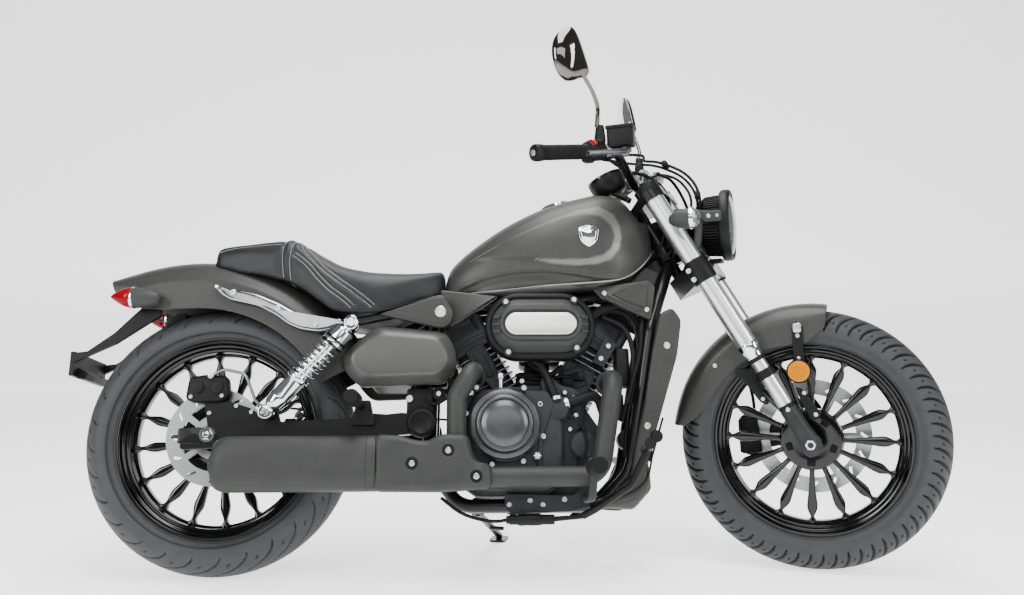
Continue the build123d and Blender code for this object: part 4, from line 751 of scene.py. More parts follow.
@dataclass
class Workshop:
    """Makes objects from surfaces and hands out finishes.

    Args:
        finishes: Finishes by name.
    """

    frame: dict[str, Any]
    finishes: dict[str, Finish]
    made: dict[str, bpy.types.Material] = field(default_factory=dict)

    def material(self, name: str) -> bpy.types.Material:
        """The material of a finish, built the first time it is asked for."""
        if name not in self.made:
            self.made[name] = self.finishes[name].build()
        return self.made[name]

    def recoat(self, node: str, finish: str) -> None:
        """Gives a carried-over CAD node a better finish."""
        mesh = self.frame["nodes"][node].data
        mesh.materials.clear()
        mesh.materials.append(self.material(finish))

    def piece(self, name: str, shell: Shell, finish: str, body: Body,
              replaces: Sequence[str] = (), sharp: float = 38.0,
              marks: dict[str, Array] | None = None) -> bpy.types.Object:
        """Makes an object of a surface, in place, riding on its body.

        Args:
            name: Name of the piece.
            shell: Its surface in upright millimetres.
            finish: Name of its finish.
            body: Body it rides on.
            replaces: CAD nodes that it stands for.
            sharp: Angle in degrees over which an edge stays sharp.
            marks: Values of point attributes.

        Returns:
            The object.
        """
        mesh = bpy.data.meshes.new(name)
        mesh.from_pydata(STANCE.place(shell.points, body.steered), [], shell.quads.tolist() + shell.caps)
        for key, values in (marks or {}).items():
            mesh.attributes.new(key, "FLOAT", "POINT").data.foreach_set("value",
                                                                        np.asarray(values, np.float32))
        mesh.validate()
        work = bmesh.new()
        work.from_mesh(mesh)
        bmesh.ops.remove_doubles(work, verts=work.verts, dist=1e-6)
        bmesh.ops.recalc_face_normals(work, faces=work.faces)
        work.to_mesh(mesh)
        work.free()
        mesh.shade_smooth()
        mesh.set_sharp_from_angle(angle=math.radians(sharp))
        mesh.materials.append(self.material(finish))
        thing = bpy.data.objects.new(name, mesh)
        bpy.context.collection.objects.link(thing)
        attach(thing, body.value)
        if replaces:
            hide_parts(*replaces)
        LOG.info("%s: %d faces", name, len(mesh.polygons))
        return thing


# ------------------------------------------------------------------ wheels
@dataclass
class Wheel:
    """Cast sixteen-spoke wheel with its tyre; angles run from straight ahead upwards, sizes in mm.

    The _r sizes are radii and the _half sizes reach across from the wheel's middle. A bulge is its
    radius and half width, hub_size the hub's half width and radius. The tread has that many blocks
    round the tyre; sweep, groove, shoulder and depth shape its grooves.
    """

    name: str
    body: Body
    centre: Point
    phase: float
    tyre_r: float
    tyre_half: float
    crown_r: float
    lip_r: float
    lip_half: float
    floor_r: float
    hub_r: float
    bulge: tuple[float, float]
    neck_r: float
    hub_size: tuple[float, float]
    blocks: int = 28
    sweep: float = 2.2
    groove: float = 2.6
    shoulder: float = 4.0
    depth: float = 3.4
    spokes: int = 16
    tyre_steps: int = 720

    def polar(self, radius: Array, angle: Array, across: Array) -> Array:
        """Points from radius, angle in radians and distance across the wheel."""
        radius, angle, across = np.broadcast_arrays(radius, angle, across)
        x, y, z = self.centre
        return np.stack([x + radius * np.cos(angle), y + across, z + radius * np.sin(angle)], -1)

    def turned(self, profile: Sequence[Sequence[float]], sides: int = 160) -> Shell:
        """Ring of a closed (across, radius) profile round the axle."""
        return lathe(profile, self.centre, (0, 1, 0), sides, closed=True)

    def barrel(self) -> Shell:
        """Rim: flanges, the stepped rings inside them and the drop centre under the tyre."""
        half, lip, floor = self.lip_half, self.lip_r, self.floor_r
        steps = [(half - 1.5, lip), (half, lip - 2), (half, lip - 7), (half - 4, lip - 9.5),
                 (half - 9, lip - 11), (half - 10.5, lip - 15), (half - 12, lip - 17),
                 (half - 18, lip - 18.5), (half - 19.5, floor + 9), (half - 21, floor + 7.5),
                 (14, floor + 5.5), (10, floor)]
        inner = steps + [(-y, r) for y, r in reversed(steps)]
        seat = [(-half + 4, lip - 1), (-half + 7, lip - 8), (-half + 16, lip - 9), (-half + 20, lip - 20),
                (half - 20, lip - 20), (half - 16, lip - 9), (half - 7, lip - 8), (half - 4, lip - 1)]
        profile = np.array(inner + seat)
        return self.turned(rounded(profile, 1.2, 3)[::-1], 192)

    def spoke(self, angle: float) -> Shell:
        """One spoke: a rounded bar whose width swells to the bulge and pinches at the neck."""
        bulge_r, bulge_w = self.bulge
        radii = [self.hub_r - 8, self.hub_r + 8, 0.5 * (self.hub_r + bulge_r), bulge_r, bulge_r + 14,
                 self.neck_r, self.floor_r - 1, self.floor_r + 4]
        widths = [9.5, 6.2, 7.6, bulge_w, bulge_w * 0.86, 4.6, 9.5, 15.0]
        depths = [13, 11, 10, 11, 11.5, 12, 13, 13]
        knots = curve(np.column_stack([radii, widths, depths]), 40)
        ring = np.linspace(0, TAU, 16, endpoint=False)
        corner = 2.0 / 3.2
        cos, sin = np.cos(ring), np.sin(ring)
        across = np.sign(cos) * np.abs(cos) ** corner * knots[:, 1:2]
        depth = np.sign(sin) * np.abs(sin) ** corner * knots[:, 2:3]
        radius = np.broadcast_to(knots[:, :1], across.shape)
        return grid(self.polar(np.hypot(radius, across), angle + np.arctan2(across, radius), depth)[:, ::-1],
                    loop_cols=True, cap_start=True, cap_end=True)

    def hub(self) -> Shell:
        """Hub drum with stepped rims on both faces."""
        half, radius = self.hub_size
        profile = [(-half, radius - 26), (-half - 2, radius - 12), (-half, radius - 3), (-half + 4, radius),
                   (-14, radius), (-12, radius + 3), (12, radius + 3), (14, radius), (half - 4, radius),
                   (half, radius - 3), (half + 2, radius - 12), (half, radius - 26)]
        return lathe(profile, self.centre, (0, 1, 0), 72)

    def tread(self, angle: Array, walk: Array) -> Array:
        """Groove depth share: sickles rising from the shoulders and bending over the crown, and dots between.

        Walk is the distance along the section from the crown's middle, as a share of the grooved part.
        """
        pitch = TAU / self.blocks
        reach = np.abs(walk)
        outer = np.clip((reach - 0.1) / 0.9, 0, 1)
        band = smooth((reach - 0.1) / 0.04) * smooth((1.0 - reach) / 0.03)
        stagger = np.where(walk > 0, 0.5 * pitch, 0.0)
        lead = (angle - stagger + self.sweep * pitch * (1 - outer) ** 1.8) / pitch % 1.0
        gap = (lead - 0.5) * pitch * self.tyre_r
        width = self.groove * np.sin(math.pi * np.clip(0.1 + 0.82 * outer, 0, 1)) ** 0.7
        sickle = smooth(0.5 + (width - np.abs(gap)) / 1.5) * band
        dots = smooth(0.5 + (2.6 - np.hypot(np.abs(gap) - 0.5 * pitch * self.tyre_r,
                                            (reach - 0.72) * 60)) / 1.3)
        return np.maximum(sickle, dots)

    def tyre(self) -> tuple[Shell, Array]:
        """Tyre, and the groove's share of its full depth at every point.

        The profile is a crown arc, a shoulder and a bulging sidewall with moulded rings; the grooves
        are pressed into the crown.
        """
        last, middle = 48, 24
        core = self.tyre_r - self.crown_r
        edge = math.asin(min(0.97, (self.tyre_half - 3) / self.crown_r))
        crown = np.linspace(-edge, edge, last + 1)
        top = np.column_stack([self.crown_r * np.sin(crown), core + self.crown_r * np.cos(crown)])
        side_top, bead = top[-1], (self.lip_half - 6, self.lip_r - 3)
        wall = curve([side_top, (self.tyre_half - 0.4, side_top[1] - 9),
                      (self.tyre_half - 2.5, side_top[1] - 24),
                      (self.lip_half + 10, self.lip_r + 15), (self.lip_half + 4, self.lip_r + 6),
                      (self.lip_half - 1, self.lip_r + 3), bead], 21)[1:]
        rings = np.exp(-((wall[:, 1] - self.lip_r - 7) / 1.4) ** 2) + 0.8 * np.exp(
            -((wall[:, 1] - side_top[1] + 16) / 1.2) ** 2)
        wall[:, 0] += 0.9 * rings
        half = np.vstack([top, wall])
        lining = [(self.lip_half - 10, self.lip_r + 8), (self.tyre_half - 14, self.lip_r + 34),
                  (0, self.tyre_r - 16), (-self.tyre_half + 14, self.lip_r + 34),
                  (-self.lip_half + 10, self.lip_r + 8)]
        profile = np.vstack([half, lining, (wall * (-1, 1))[::-1]])
        angle = np.linspace(0, TAU, self.tyre_steps, endpoint=False)
        across, radius = np.broadcast_arrays(profile[:, 0][:, None], profile[:, 1][:, None] + 0 * angle)
        run = np.concatenate([[0], np.cumsum(np.linalg.norm(np.diff(half, axis=0), axis=1))])
        run = (run - run[middle]) / (run[last] - run[middle] + self.shoulder)
        ungrooved = np.full(len(lining), 9.0)
        walk = np.concatenate([run, ungrooved, -run[last + 1:][::-1]])
        cut = self.depth * self.tread(angle[None, :], walk[:, None])
        away = np.stack([profile[:, 0], profile[:, 1] - core], -1)
        away /= np.maximum(np.linalg.norm(away, axis=1)[:, None], 1e-6)
        points = self.polar(radius - cut * away[:, 1:2], angle[None, :], across - cut * away[:, :1])
        return grid(points[::-1], loop_rows=True, loop_cols=True), cut[::-1].ravel() / self.depth

    def windows(self) -> Shell:
        """Dark square wells in the hub: in both faces of the front one, in the rear one's right face."""
        half, radius = self.hub_size
        wells = []
        for angle in np.radians(195 + 72 * np.arange(5)):
            out = np.array([math.cos(angle), 0, math.sin(angle)])
            round_dir = np.array([-math.sin(angle), 0, math.cos(angle)])
            wells.append(stacked(slab(15, 19, 3), [(0, half - 8), (0, half + 2.2), (1, half + 2.8)],
                                 np.asarray(self.centre) + out * radius * 0.74, out, round_dir))
        return both(joined(wells)) if self.body is Body.FRONT_WHEEL else joined(wells)

    def build(self, shop: Workshop) -> None:
        """Makes the rim, spokes, hub and tyre."""
        angles = np.radians(self.phase) + TAU / self.spokes * np.arange(self.spokes)
        rim = joined([self.barrel(), self.hub()] + [self.spoke(angle) for angle in angles])
        shop.piece(f"{self.name}_cast_wheel", rim, "wheel_black", self.body, replaces=[f"{self.name}_rim"])
        tyre, grooves = self.tyre()
        # The groove marks also carry the tread's painted shade.
        shop.piece(f"{self.name}_tread_tyre", tyre, "tyre", self.body, replaces=[f"{self.name}_tyre"],
                   sharp=50, marks={"groove": grooves})
        shop.piece(f"{self.name}_hub_wells", self.windows(), "radiator_black", self.body)


REAR = Wheel("rear", Body.REAR_WHEEL, REAR_AXLE, phase=6.0, tyre_r=311, tyre_half=75, crown_r=85, lip_r=230,
             lip_half=51.5, floor_r=197, hub_r=84, bulge=(152, 11.5), neck_r=185, hub_size=(44, 84))
FRONT = Wheel("front", Body.FRONT_WHEEL, FRONT_AXLE, phase=20.0, tyre_r=305, tyre_half=62.5, crown_r=72,
              lip_r=223.5, lip_half=42, floor_r=192, hub_r=70, bulge=(155, 12.2), neck_r=183,
              hub_size=(38, 70), blocks=60, sweep=1.5, groove=4.4, shoulder=17.0)


# ------------------------------------------------------------------ bodywork
def to_line(points: Array, line: Sequence[Sequence[float]]) -> tuple[Array, Array]:
    """Distance of 2-D points from a polyline, and how far along it (0 to 1) the nearest place is."""
    line = np.asarray(line, float)
    best = np.full(len(points), 1e9)
    along = np.zeros(len(points))
    for index, (a, b) in enumerate(zip(line[:-1], line[1:])):
        run = b - a
        t = np.clip((points - a) @ run / (run @ run), 0, 1)
        gap = np.linalg.norm(points - a - t[:, None] * run, axis=1)
        along = np.where(gap < best, (index + t) / (len(line) - 1), along)
        best = np.minimum(best, gap)
    return best, along


def inside(points: Array, outline: Sequence[Sequence[float]]) -> Array:
    """Whether 2-D points lie in a closed outline, by counting the edges to their right."""
    outline = np.asarray(outline, float)
    x, y = points[:, :1], points[:, 1:]
    a, b = outline, np.roll(outline, -1, 0)
    crosses = (a[:, 1] > y) != (b[:, 1] > y)
    rise = np.where(b[:, 1] == a[:, 1], 1e-9, b[:, 1] - a[:, 1])
    return (np.sum(crosses & (x < (b[:, 0] - a[:, 0]) * (y - a[:, 1]) / rise + a[:, 0]),
                   axis=1) % 2).astype(bool)


def smooth(value: Array) -> Array:
    """Smooth step from 0 to 1 over the same range."""
    value = np.clip(value, 0, 1)
    return value * value * (3 - 2 * value)


def normals(points: Array) -> Array:
    """Unit normals of a grid of points, from the cross product of its two gradients."""
    down = np.gradient(points, axis=0)
    across = np.gradient(points, axis=1)
    normal = np.cross(down, across)
    return normal / np.maximum(np.linalg.norm(normal, axis=-1, keepdims=True), 1e-9)


def sit_on(points: Array, side: Sequence[float], spot: Sequence[float]) -> tuple[Array, Array]:
    """Nearest grid point to a side-view spot on one side, and its outward normal.

    Args:
        points: Grid of points.
        side: Direction that the wanted face looks towards.
        spot: Side-view place (x, z).

    Returns:
        The point and the normal.
    """
    normal = normals(points)
    facing = normal @ np.asarray(side, float)
    gap = np.hypot(points[..., 0] - spot[0], points[..., 2] - spot[1])
    gap = gap + np.where(points @ np.asarray(side, float) > 20, 0, 1e6)
    gap = gap + np.where(np.abs(facing) > 0.2, 0, 1e3)
    index = np.unravel_index(np.argmin(gap), gap.shape)
    facing_out = normal[index] * np.sign(normal[index] @ np.asarray(side, float))
    return points[index], facing_out


@dataclass
class Tank:
    """Teardrop tank: sculpted flanks with a painted stripe, undercut sides, rolled seam and filler."""

    stations: tuple[tuple[float, float, float, float], ...] = (
        # x, half width, bottom, top
        (521, 24, 652, 664), (524, 38, 643, 690), (533, 50, 641, 720), (552, 64, 643, 743),
        (580, 79, 646, 768),
        (625, 96, 648, 802), (670, 108, 650, 832), (716, 118, 653, 857), (762, 125, 656, 878),
        (810, 129, 659, 895), (855, 131, 662, 907), (892, 129, 665, 915), (932, 120, 672, 913),
        (965, 106, 686, 901), (992, 90, 707, 880), (1012, 74, 730, 855), (1027, 56, 752, 828),
        (1035, 36, 770, 803), (1038, 18, 780, 790))
    band_outer: tuple[tuple[float, float], ...] = (
        (583, 727), (701, 789), (781, 822), (841, 849), (898, 856), (930, 836), (945, 806), (950, 776),
        (941, 744), (918, 719), (882, 706), (830, 703), (778, 708), (734, 720))
    band_inner: tuple[tuple[float, float], ...] = (
        (734, 720), (802, 716), (858, 717), (898, 727), (920, 746), (929, 777), (922, 802), (897, 826),
        (861, 834), (804, 823), (749, 801), (649, 760), (583, 727))
    undercut: tuple[tuple[float, float], ...] = (
        (545, 655), (583, 667), (622, 680), (681, 689), (760, 690), (819, 683), (882, 673), (937, 672),
        (975, 684))
    badge_at: tuple[float, float] = (866, 774)
    cap_base: Point = (806, 0, 868)
    cap_tilt: float = 12.0
    rows: int = 231
    head_clear: tuple[float, float] = (61.0, 73.0)
    clamps_behind: float = 38.5
    clamps_from: float = 646.0

    def surface(self) -> Array:
        """Grid of the tank: rows along it, columns round its section.

        Each section is a flat floor, a turned-in lower side and a superellipse arch; the front is
        pushed clear of the steering head, and the flanks carry the band's bevel and the undercut.
        """
        rows = curve(self.stations, self.rows)
        x, half, bottom, top = (rows[:, i:i + 1] for i in range(4))
        middle = bottom + 0.40 * (top - bottom)
        low = np.linspace(0, math.pi / 2, 30)[None, :]
        high = np.linspace(0, math.pi / 2, 66)[None, 1:]
        floor = np.linspace(0, 1, 9)[None, :-1]
        foot = 0.84 * half
        across = np.hstack([floor * foot, foot + (half - foot) * np.sin(low),
                            half * np.abs(np.cos(high)) ** 0.90])
        rise = np.hstack([bottom + 0 * floor, middle - (middle - bottom) * np.cos(low) ** 0.9,
                          middle + (top - middle) * np.sin(high) ** 0.96])
        right = np.stack([np.broadcast_to(x, across.shape), -across, rise], -1)
        left = right[:, 1:-1][:, ::-1] * (1, -1, 1)
        return self.sculpted(np.concatenate([right, left], 1))

    def sculpted(self, points: Array) -> Array:
        """Moves the flanks out along the band and in under the undercut line, and clears the steering."""
        flat = points.reshape(-1, 3)
        side = flat[:, ::2]
        flank = smooth((np.abs(flat[:, 1]) - 30) / 30)
        outer = to_line(side, self.band_outer + self.band_outer[:1])[0] * np.where(
            inside(side, self.band_outer), 1, -1)
        raised = smooth((outer + 1.5) / 7.0) * 2.6
        line = np.array(self.undercut, float)
        below = np.interp(side[:, 0], line[:, 0], line[:, 1]) - side[:, 1]
        fade = smooth((side[:, 0] - 540) / 60) * smooth((985 - side[:, 0]) / 60)
        tucked = -5.0 * smooth((below + 3) / 9) * smooth((34 - below) / 16) * fade
        ridge = 1.6 * np.exp(-((below + 6) / 5) ** 2) * fade
        shift = flank * (raised + tucked + ridge)
        normal = normals(points).reshape(-1, 3)
        outward = np.sign(np.sum(normal * (flat * (0, 1, 0)), axis=1, keepdims=True))
        moved = flat + normal * outward * shift[:, None]
        up, pivot = STANCE.up, np.asarray(STANCE.pivot)
        away = moved - pivot - ((moved - pivot) @ up)[:, None] * up
        distance = np.linalg.norm(away, axis=1)[:, None]
        near, far = self.head_clear
        clear = near + (far - near) * smooth((distance - 40) / 50)
        push = np.maximum(0, clear - distance) * (away[:, :1] < 0)
        pushed = moved + away / np.maximum(distance, 1e-6) * push
        height, ahead = (pushed - pivot) @ up, (pushed - pivot) @ STANCE.ahead
        over = np.clip(ahead + self.clamps_behind, 0, None) * smooth((height - self.clamps_from) / 20)
        return (pushed - over[:, None] * STANCE.ahead).reshape(points.shape)

    def stripe(self, points: Array) -> Array:
        """1 in the painted band on the flanks, with a 6 mm soft edge, and less towards its tail."""
        flat = points.reshape(-1, 3)
        side = flat[:, ::2]
        edge = np.minimum(to_line(side, self.band_outer)[0], to_line(side, self.band_inner)[0])
        within = inside(side, self.band_outer) & ~inside(side, self.band_inner)
        fade = np.interp(side[:, 0], [600, 700, 820, 900], [0.1, 0.25, 0.35, 0.6])
        fade = np.where(side[:, 1] < 760, 1.0, fade)
        return smooth(0.5 + np.where(within, edge, -edge) / 6.0) * fade * (np.abs(flat[:, 1]) > 40)

    def seam(self) -> Shell:
        """Rolled seam along both lower edges, from the tail up the front."""
        rows = curve(self.stations, self.rows)[6:206:2]
        edge = np.column_stack([rows[:, 0], -0.85 * rows[:, 1] - 1.0, rows[:, 2] + 1.5])
        return both(swept(edge, circle(1.0, 12) * (3.4, 2.4), (0, 0, 1)))

    def badge(self, points: Array) -> Shell:
        """Bare shield on both flanks: a rim and a raised field, set to the flank's slope."""
        place, out = sit_on(points, (0, -1, 0), self.badge_at)
        shield = np.array([(-25, 19), (-12, 24), (0, 27), (12, 24), (25, 19), (22, -6), (14, -20), (0, -29),
                           (-14, -20), (-22, -6)], float)
        x_dir = np.cross((0, 0, 1.0), out)
        x_dir /= np.linalg.norm(x_dir)
        y_dir = np.cross(out, x_dir)
        rim = plate(rounded(shield, 5), -3, 3.0, 1.2, place, x_dir, y_dir)
        middle = plate(rounded(shield * 0.76, 4), 0, 4.6, 1.6, place, x_dir, y_dir, crown=1.5)
        return both(rim + middle)

    def build(self, shop: Workshop) -> None:
        """Makes the tank, its seam, badges and filler lid."""
        points = self.surface()
        closed = grid(points, loop_cols=True, cap_start=True, cap_end=True)
        shop.piece("fuel_tank_shell", closed, "body_paint", Body.CHASSIS, replaces=["fuel_tank"],
                   marks={"stripe": self.stripe(points)}, sharp=50)
        # Painted highlight: the seam's lighter grey is the light along the rolled edge.
        shop.piece("fuel_tank_seam", self.seam(), "painted_seam_highlight", Body.CHASSIS)
        shop.piece("fuel_tank_badges", self.badge(points), "chrome", Body.CHASSIS)
        angle = math.radians(self.cap_tilt)
        up = np.array([-math.sin(angle), 0, math.cos(angle)])
        base = np.asarray(self.cap_base)
        collar = lathe([(17, 38.6), (24.6, 38.8), (25.8, 40), (25, 42), (15, 44), (12, 42), (14, 38.6)],
                       base, up, 64, closed=True)
        shop.piece("filler_collar", collar, "chrome", Body.CHASSIS)
        knurl = lathe([(16, 27), (16.5, 30), (22, 30), (24.5, 29), (25.5, 26), (25.5, 16), (24.6, 14),
                       (24.6, 0.5)], base, up, 64)
        shop.piece("filler_lid", knurl, "chrome", Body.CAP, replaces=["fuel_cap"])


@dataclass
class Seat:
    """Stepped two-up seat: crowned cushions, a stitched cross band and double seams down its sides."""

    stations: tuple[tuple[float, float, float, float], ...] = (
        # x, half width, bottom, top
        (-31, 34, 738, 748), (-29, 58, 727, 762), (-18, 74, 716, 772), (8, 82, 709, 777), (46, 90, 698, 781),
        (93, 97, 690, 786), (130, 103, 680, 789), (152, 107, 674, 789), (174, 111, 664, 784),
        (200, 117, 648, 768), (232, 123, 624, 746), (266, 128, 600, 727), (301, 131, 592, 714),
        (344, 130, 591, 706), (390, 124, 597, 703), (430, 113, 612, 703), (470, 97, 626, 707),
        (500, 80, 636, 712), (515, 66, 642, 712), (521, 46, 652, 702))
    band: tuple[tuple[float, float], ...] = ((142, 786), (139, 744), (139, 724), (142, 699), (147, 664))
    band_front: tuple[tuple[float, float], ...] = ((163, 786), (159, 744), (157, 724), (159, 693), (164, 660))
    first: tuple[tuple[float, float], ...] = (
        (178, 776), (186, 752), (208, 726), (239, 694), (281, 660), (322, 630), (354, 604))
    second: tuple[tuple[float, float], ...] = (
        (162, 736), (178, 724), (200, 704), (225, 674), (253, 646), (285, 622), (307, 602))
    bench: tuple[tuple[float, float], ...] = ((-22, 751), (8, 759), (46, 763), (105, 767), (136, 767))
    twin: float = 8.0
    pitch: float = 5.2
    rows: int = 301

    def surface(self) -> Array:
        """Grid of the cushion: each section a superellipse with a tucked-in lower side, seams pressed in."""
        rows = curve(self.stations, self.rows)
        x, half, bottom, top = (rows[:, i:i + 1] for i in range(4))
        middle = bottom + 0.46 * (top - bottom)
        low = np.linspace(0, math.pi / 2, 34)[None, :]
        high = np.linspace(0, math.pi / 2, 62)[None, 1:]
        floor = np.linspace(0, 1, 8)[None, :-1]
        foot = half * 0.93
        across = np.hstack([floor * foot, foot + (half - foot) * np.sin(low), half * np.cos(high) ** 0.66])
        rise = np.hstack([bottom + 0 * floor, middle - (middle - bottom) * np.cos(low) ** 0.85,
                          middle + (top - middle) * np.sin(high) ** 0.8])
        right = np.stack([np.broadcast_to(x, across.shape), -across, rise], -1)
        points = np.concatenate([right, right[:, 1:-1][:, ::-1] * (1, -1, 1)], 1)
        return self.pressed(points)

    def seams(self) -> list[Array]:
        """Side-view lines of every row of stitches."""
        rows = [np.asarray(line, float) for line in (self.band, self.band_front, self.first, self.second)]
        shift = np.array([self.twin, self.twin * 0.75])
        return [rows[0], rows[1], rows[2], rows[2] + shift, rows[3], rows[3] + shift,
                np.asarray(self.bench, float)]

    def pressed(self, points: Array) -> Array:
        """Presses the seams in and lets the panels between them crown."""
        flat = points.reshape(-1, 3)
        side = flat[:, ::2]
        normal = normals(points).reshape(-1, 3)
        centre = np.column_stack([flat[:, 0], 0 * flat[:, 0],
                                  np.repeat(points[:, :, 2].mean(1), points.shape[1])])
        normal *= np.sign(np.sum(normal * (flat - centre), axis=1, keepdims=True))
        *others, bench = self.seams()
        flanks = smooth((np.abs(flat[:, 1]) - 24) / 24)
        press = np.zeros(len(flat))
        for line, flank in [(line, 1.0) for line in others] + [(bench, flanks)]:
            gap = to_line(side, line)[0]
            dip = 2.4 * np.exp(-(gap / 3.2) ** 2) + 1.8 * np.exp(-(gap / 14) ** 2)
            press = np.maximum(press, dip * flank)
        band = smooth((side[:, 0] - 138) / 5) * smooth((165 - side[:, 0]) / 5) * (side[:, 1] > 655)
        rim = smooth((flat[:, 2] - np.repeat(points[:, :, 2].min(1), points.shape[1])) / 12)
        ripple = 0.5 * np.sin(flat[:, 0] / 17.0 + 2.2 * np.sin(flat[:, 2] / 31.0)) * np.sin(flat[:, 2] / 13.0)
        shift = (2.6 * band - press + ripple) * rim
        return (flat + normal * shift[:, None]).reshape(points.shape)

    def stitches(self, points: Array) -> Shell:
        """Short rounded thread stitches laid along every seam on both sides of the surface."""
        flat = points.reshape(-1, 3)
        normal = normals(points).reshape(-1, 3)
        shells = []
        for line in self.seams():
            dense = curve(line, 200)
            reach = np.concatenate([[0], np.cumsum(np.linalg.norm(np.diff(dense, axis=0), axis=1))])
            marks = np.arange(2.0, reach[-1] - 2.0, self.pitch)
            spots = np.column_stack([np.interp(marks, reach, dense[:, i]) for i in (0, 1)])
            ends = np.column_stack([np.interp(marks + 0.68 * self.pitch, reach, dense[:, i]) for i in (0, 1)])
            right = flat[:, 1] < -12
            for start, end in zip(spots, ends):
                pair = []
                for spot in (start, end):
                    gap = np.hypot(flat[:, 0] - spot[0], flat[:, 2] - spot[1]) + np.where(right, 0, 1e6)
                    nearest = int(np.argmin(gap))
                    if gap[nearest] > 5.0:
                        break
                    out = normal[nearest] * (1 if normal[nearest][1] < 0 else -1)
                    pair.append(np.array([spot[0], flat[nearest][1], spot[1]]) + out * 0.35)
                if len(pair) == 2:
                    shells.append(swept(np.linspace(pair[0], pair[1], 4), circle(1.0, 6), (0, 1, 0.3),
                                        scale=np.array([0.2, 0.36, 0.36, 0.2])))
        return both(joined(shells))

    def build(self, shop: Workshop) -> None:
        """Makes the cushion, its stitches and the welt along its lower edge."""
        points = self.surface()
        cushion = shop.piece("seat_cushion", grid(points, loop_cols=True, cap_start=True, cap_end=True),
                             "seat_leather", Body.CHASSIS, replaces=["seat"], sharp=60)
        shop.piece("seat_stitching", self.stitches(points), "thread", Body.CHASSIS)
        rows = curve(self.stations, self.rows)[8:290:4]
        edge = np.column_stack([rows[:, 0], -0.95 * rows[:, 1], rows[:, 2] + 1.0])
        shop.piece("seat_welt", both(swept(edge, circle(2.6, 10), (0, 0, 1))), "moulded_black", Body.CHASSIS)


@dataclass
class Mudguard:
    """Pressed mudguard: a profile turned about a centre, with a rolled edge all round.

    The half profile is (radius, across) from the outer edge to the crown. Angles are in degrees
    from straight ahead upwards, lower gives the edge's radius by angle, wall is the thickness and
    crease the radius at which the flanks step in.
    """

    name: str
    node: str
    centre: tuple[float, float]
    body: Body
    profile: tuple[tuple[float, float], ...]
    angles: tuple[float, float]
    lower: tuple[tuple[float, float], ...]
    wall: float = 3.0
    crease: float = 0.0

    def surface(self, shrink: float = 0.0) -> Array:
        """Grid of one face, drawn in by shrink: rows round the wheel, columns across it."""
        angle = np.radians(np.linspace(*self.angles, 111))
        half = curve(self.profile, 37)
        skirt = np.interp(np.degrees(angle), [row[0] for row in self.lower], [row[1] for row in self.lower])
        crown = half[-1, 0]
        share = (half[:, 0] - half[0, 0]) / (crown - half[0, 0])
        radius = skirt[:, None] + share[None, :] * (crown - skirt[:, None])
        across = np.broadcast_to(half[:, 1][None, :], radius.shape)
        if self.crease:
            band = (radius - self.crease) / 5.0
            across = across + 2.2 * smooth(0.5 - band) - 1.1
        radius = radius - shrink * share[None, :] ** 2
        across = across - shrink * (1 - share[None, :] ** 4)
        both_sides = np.concatenate([-across, across[:, ::-1][:, 1:]], 1)
        radii = np.concatenate([radius, radius[:, ::-1][:, 1:]], 1)
        x = self.centre[0] + radii * np.cos(angle)[:, None]
        z = self.centre[1] + radii * np.sin(angle)[:, None]
        return np.stack([x, both_sides, z], -1)

    @staticmethod
    def border(face: Array) -> Array:
        """The points round a grid, in order."""
        return np.concatenate([face[:, 0], face[-1, 1:-1], face[::-1, -1], face[0, 1:-1][::-1]])

    def build(self, shop: Workshop) -> None:
        """Makes the guard as an outer and an inner skin, and its rolled rim."""
        outer, inner = self.surface(), self.surface(self.wall)
        loop = np.concatenate([outer, inner[:, ::-1]], 1)
        shell = grid(loop, loop_cols=True, cap_start=True, cap_end=True)
        shop.piece(f"{self.name}_pressing", shell, "body_paint", self.body, replaces=[self.node], sharp=42)
        path = 0.5 * (self.border(outer) + self.border(inner))
        rim = swept(path, circle(self.wall * 0.62, 10), (0.02, 1, 0.01), loop=True)
        shop.piece(f"{self.name}_rolled_edge", rim, "body_paint", self.body)


REAR_GUARD = Mudguard(
    "rear_mudguard", "rear_fender", (-62, 279), Body.CHASSIS,
    ((330, 96), (366, 98), (396, 97), (412, 92), (426, 84), (441, 68), (452, 48), (459, 24), (462, 0)),
    (27.0, 116.5), ((27, 340), (48, 338), (62, 336), (80, 333), (92, 330), (102, 334), (110, 352),
                    (116.5, 392)),
    crease=404.0)
FRONT_GUARD = Mudguard(
    "front_mudguard", "front_fender", FRONT_AXLE[::2], Body.STEERING,
    ((262, 71), (284, 71.5), (298, 70), (308, 62), (315, 50), (320, 30), (322, 0)),
    (81.0, 172.0), ((81, 268), (86, 246), (90, 231), (96, 230), (104, 231), (113, 235), (133, 239),
                    (152, 247), (162, 254), (167, 266), (172, 292)),
    wall=2.6)


# ------------------------------------------------------------------ engine
RIGHT: Point = (0, -1, 0)


def screws(spots: Iterable[tuple[float, float]], depth: float, radius: float, height: float) -> Shell:
    """Screws that face right at side-view spots, their seats depth mm from the centre plane."""
    return joined(bolt((x, -depth, z), RIGHT, radius, height) for x, z in spots)


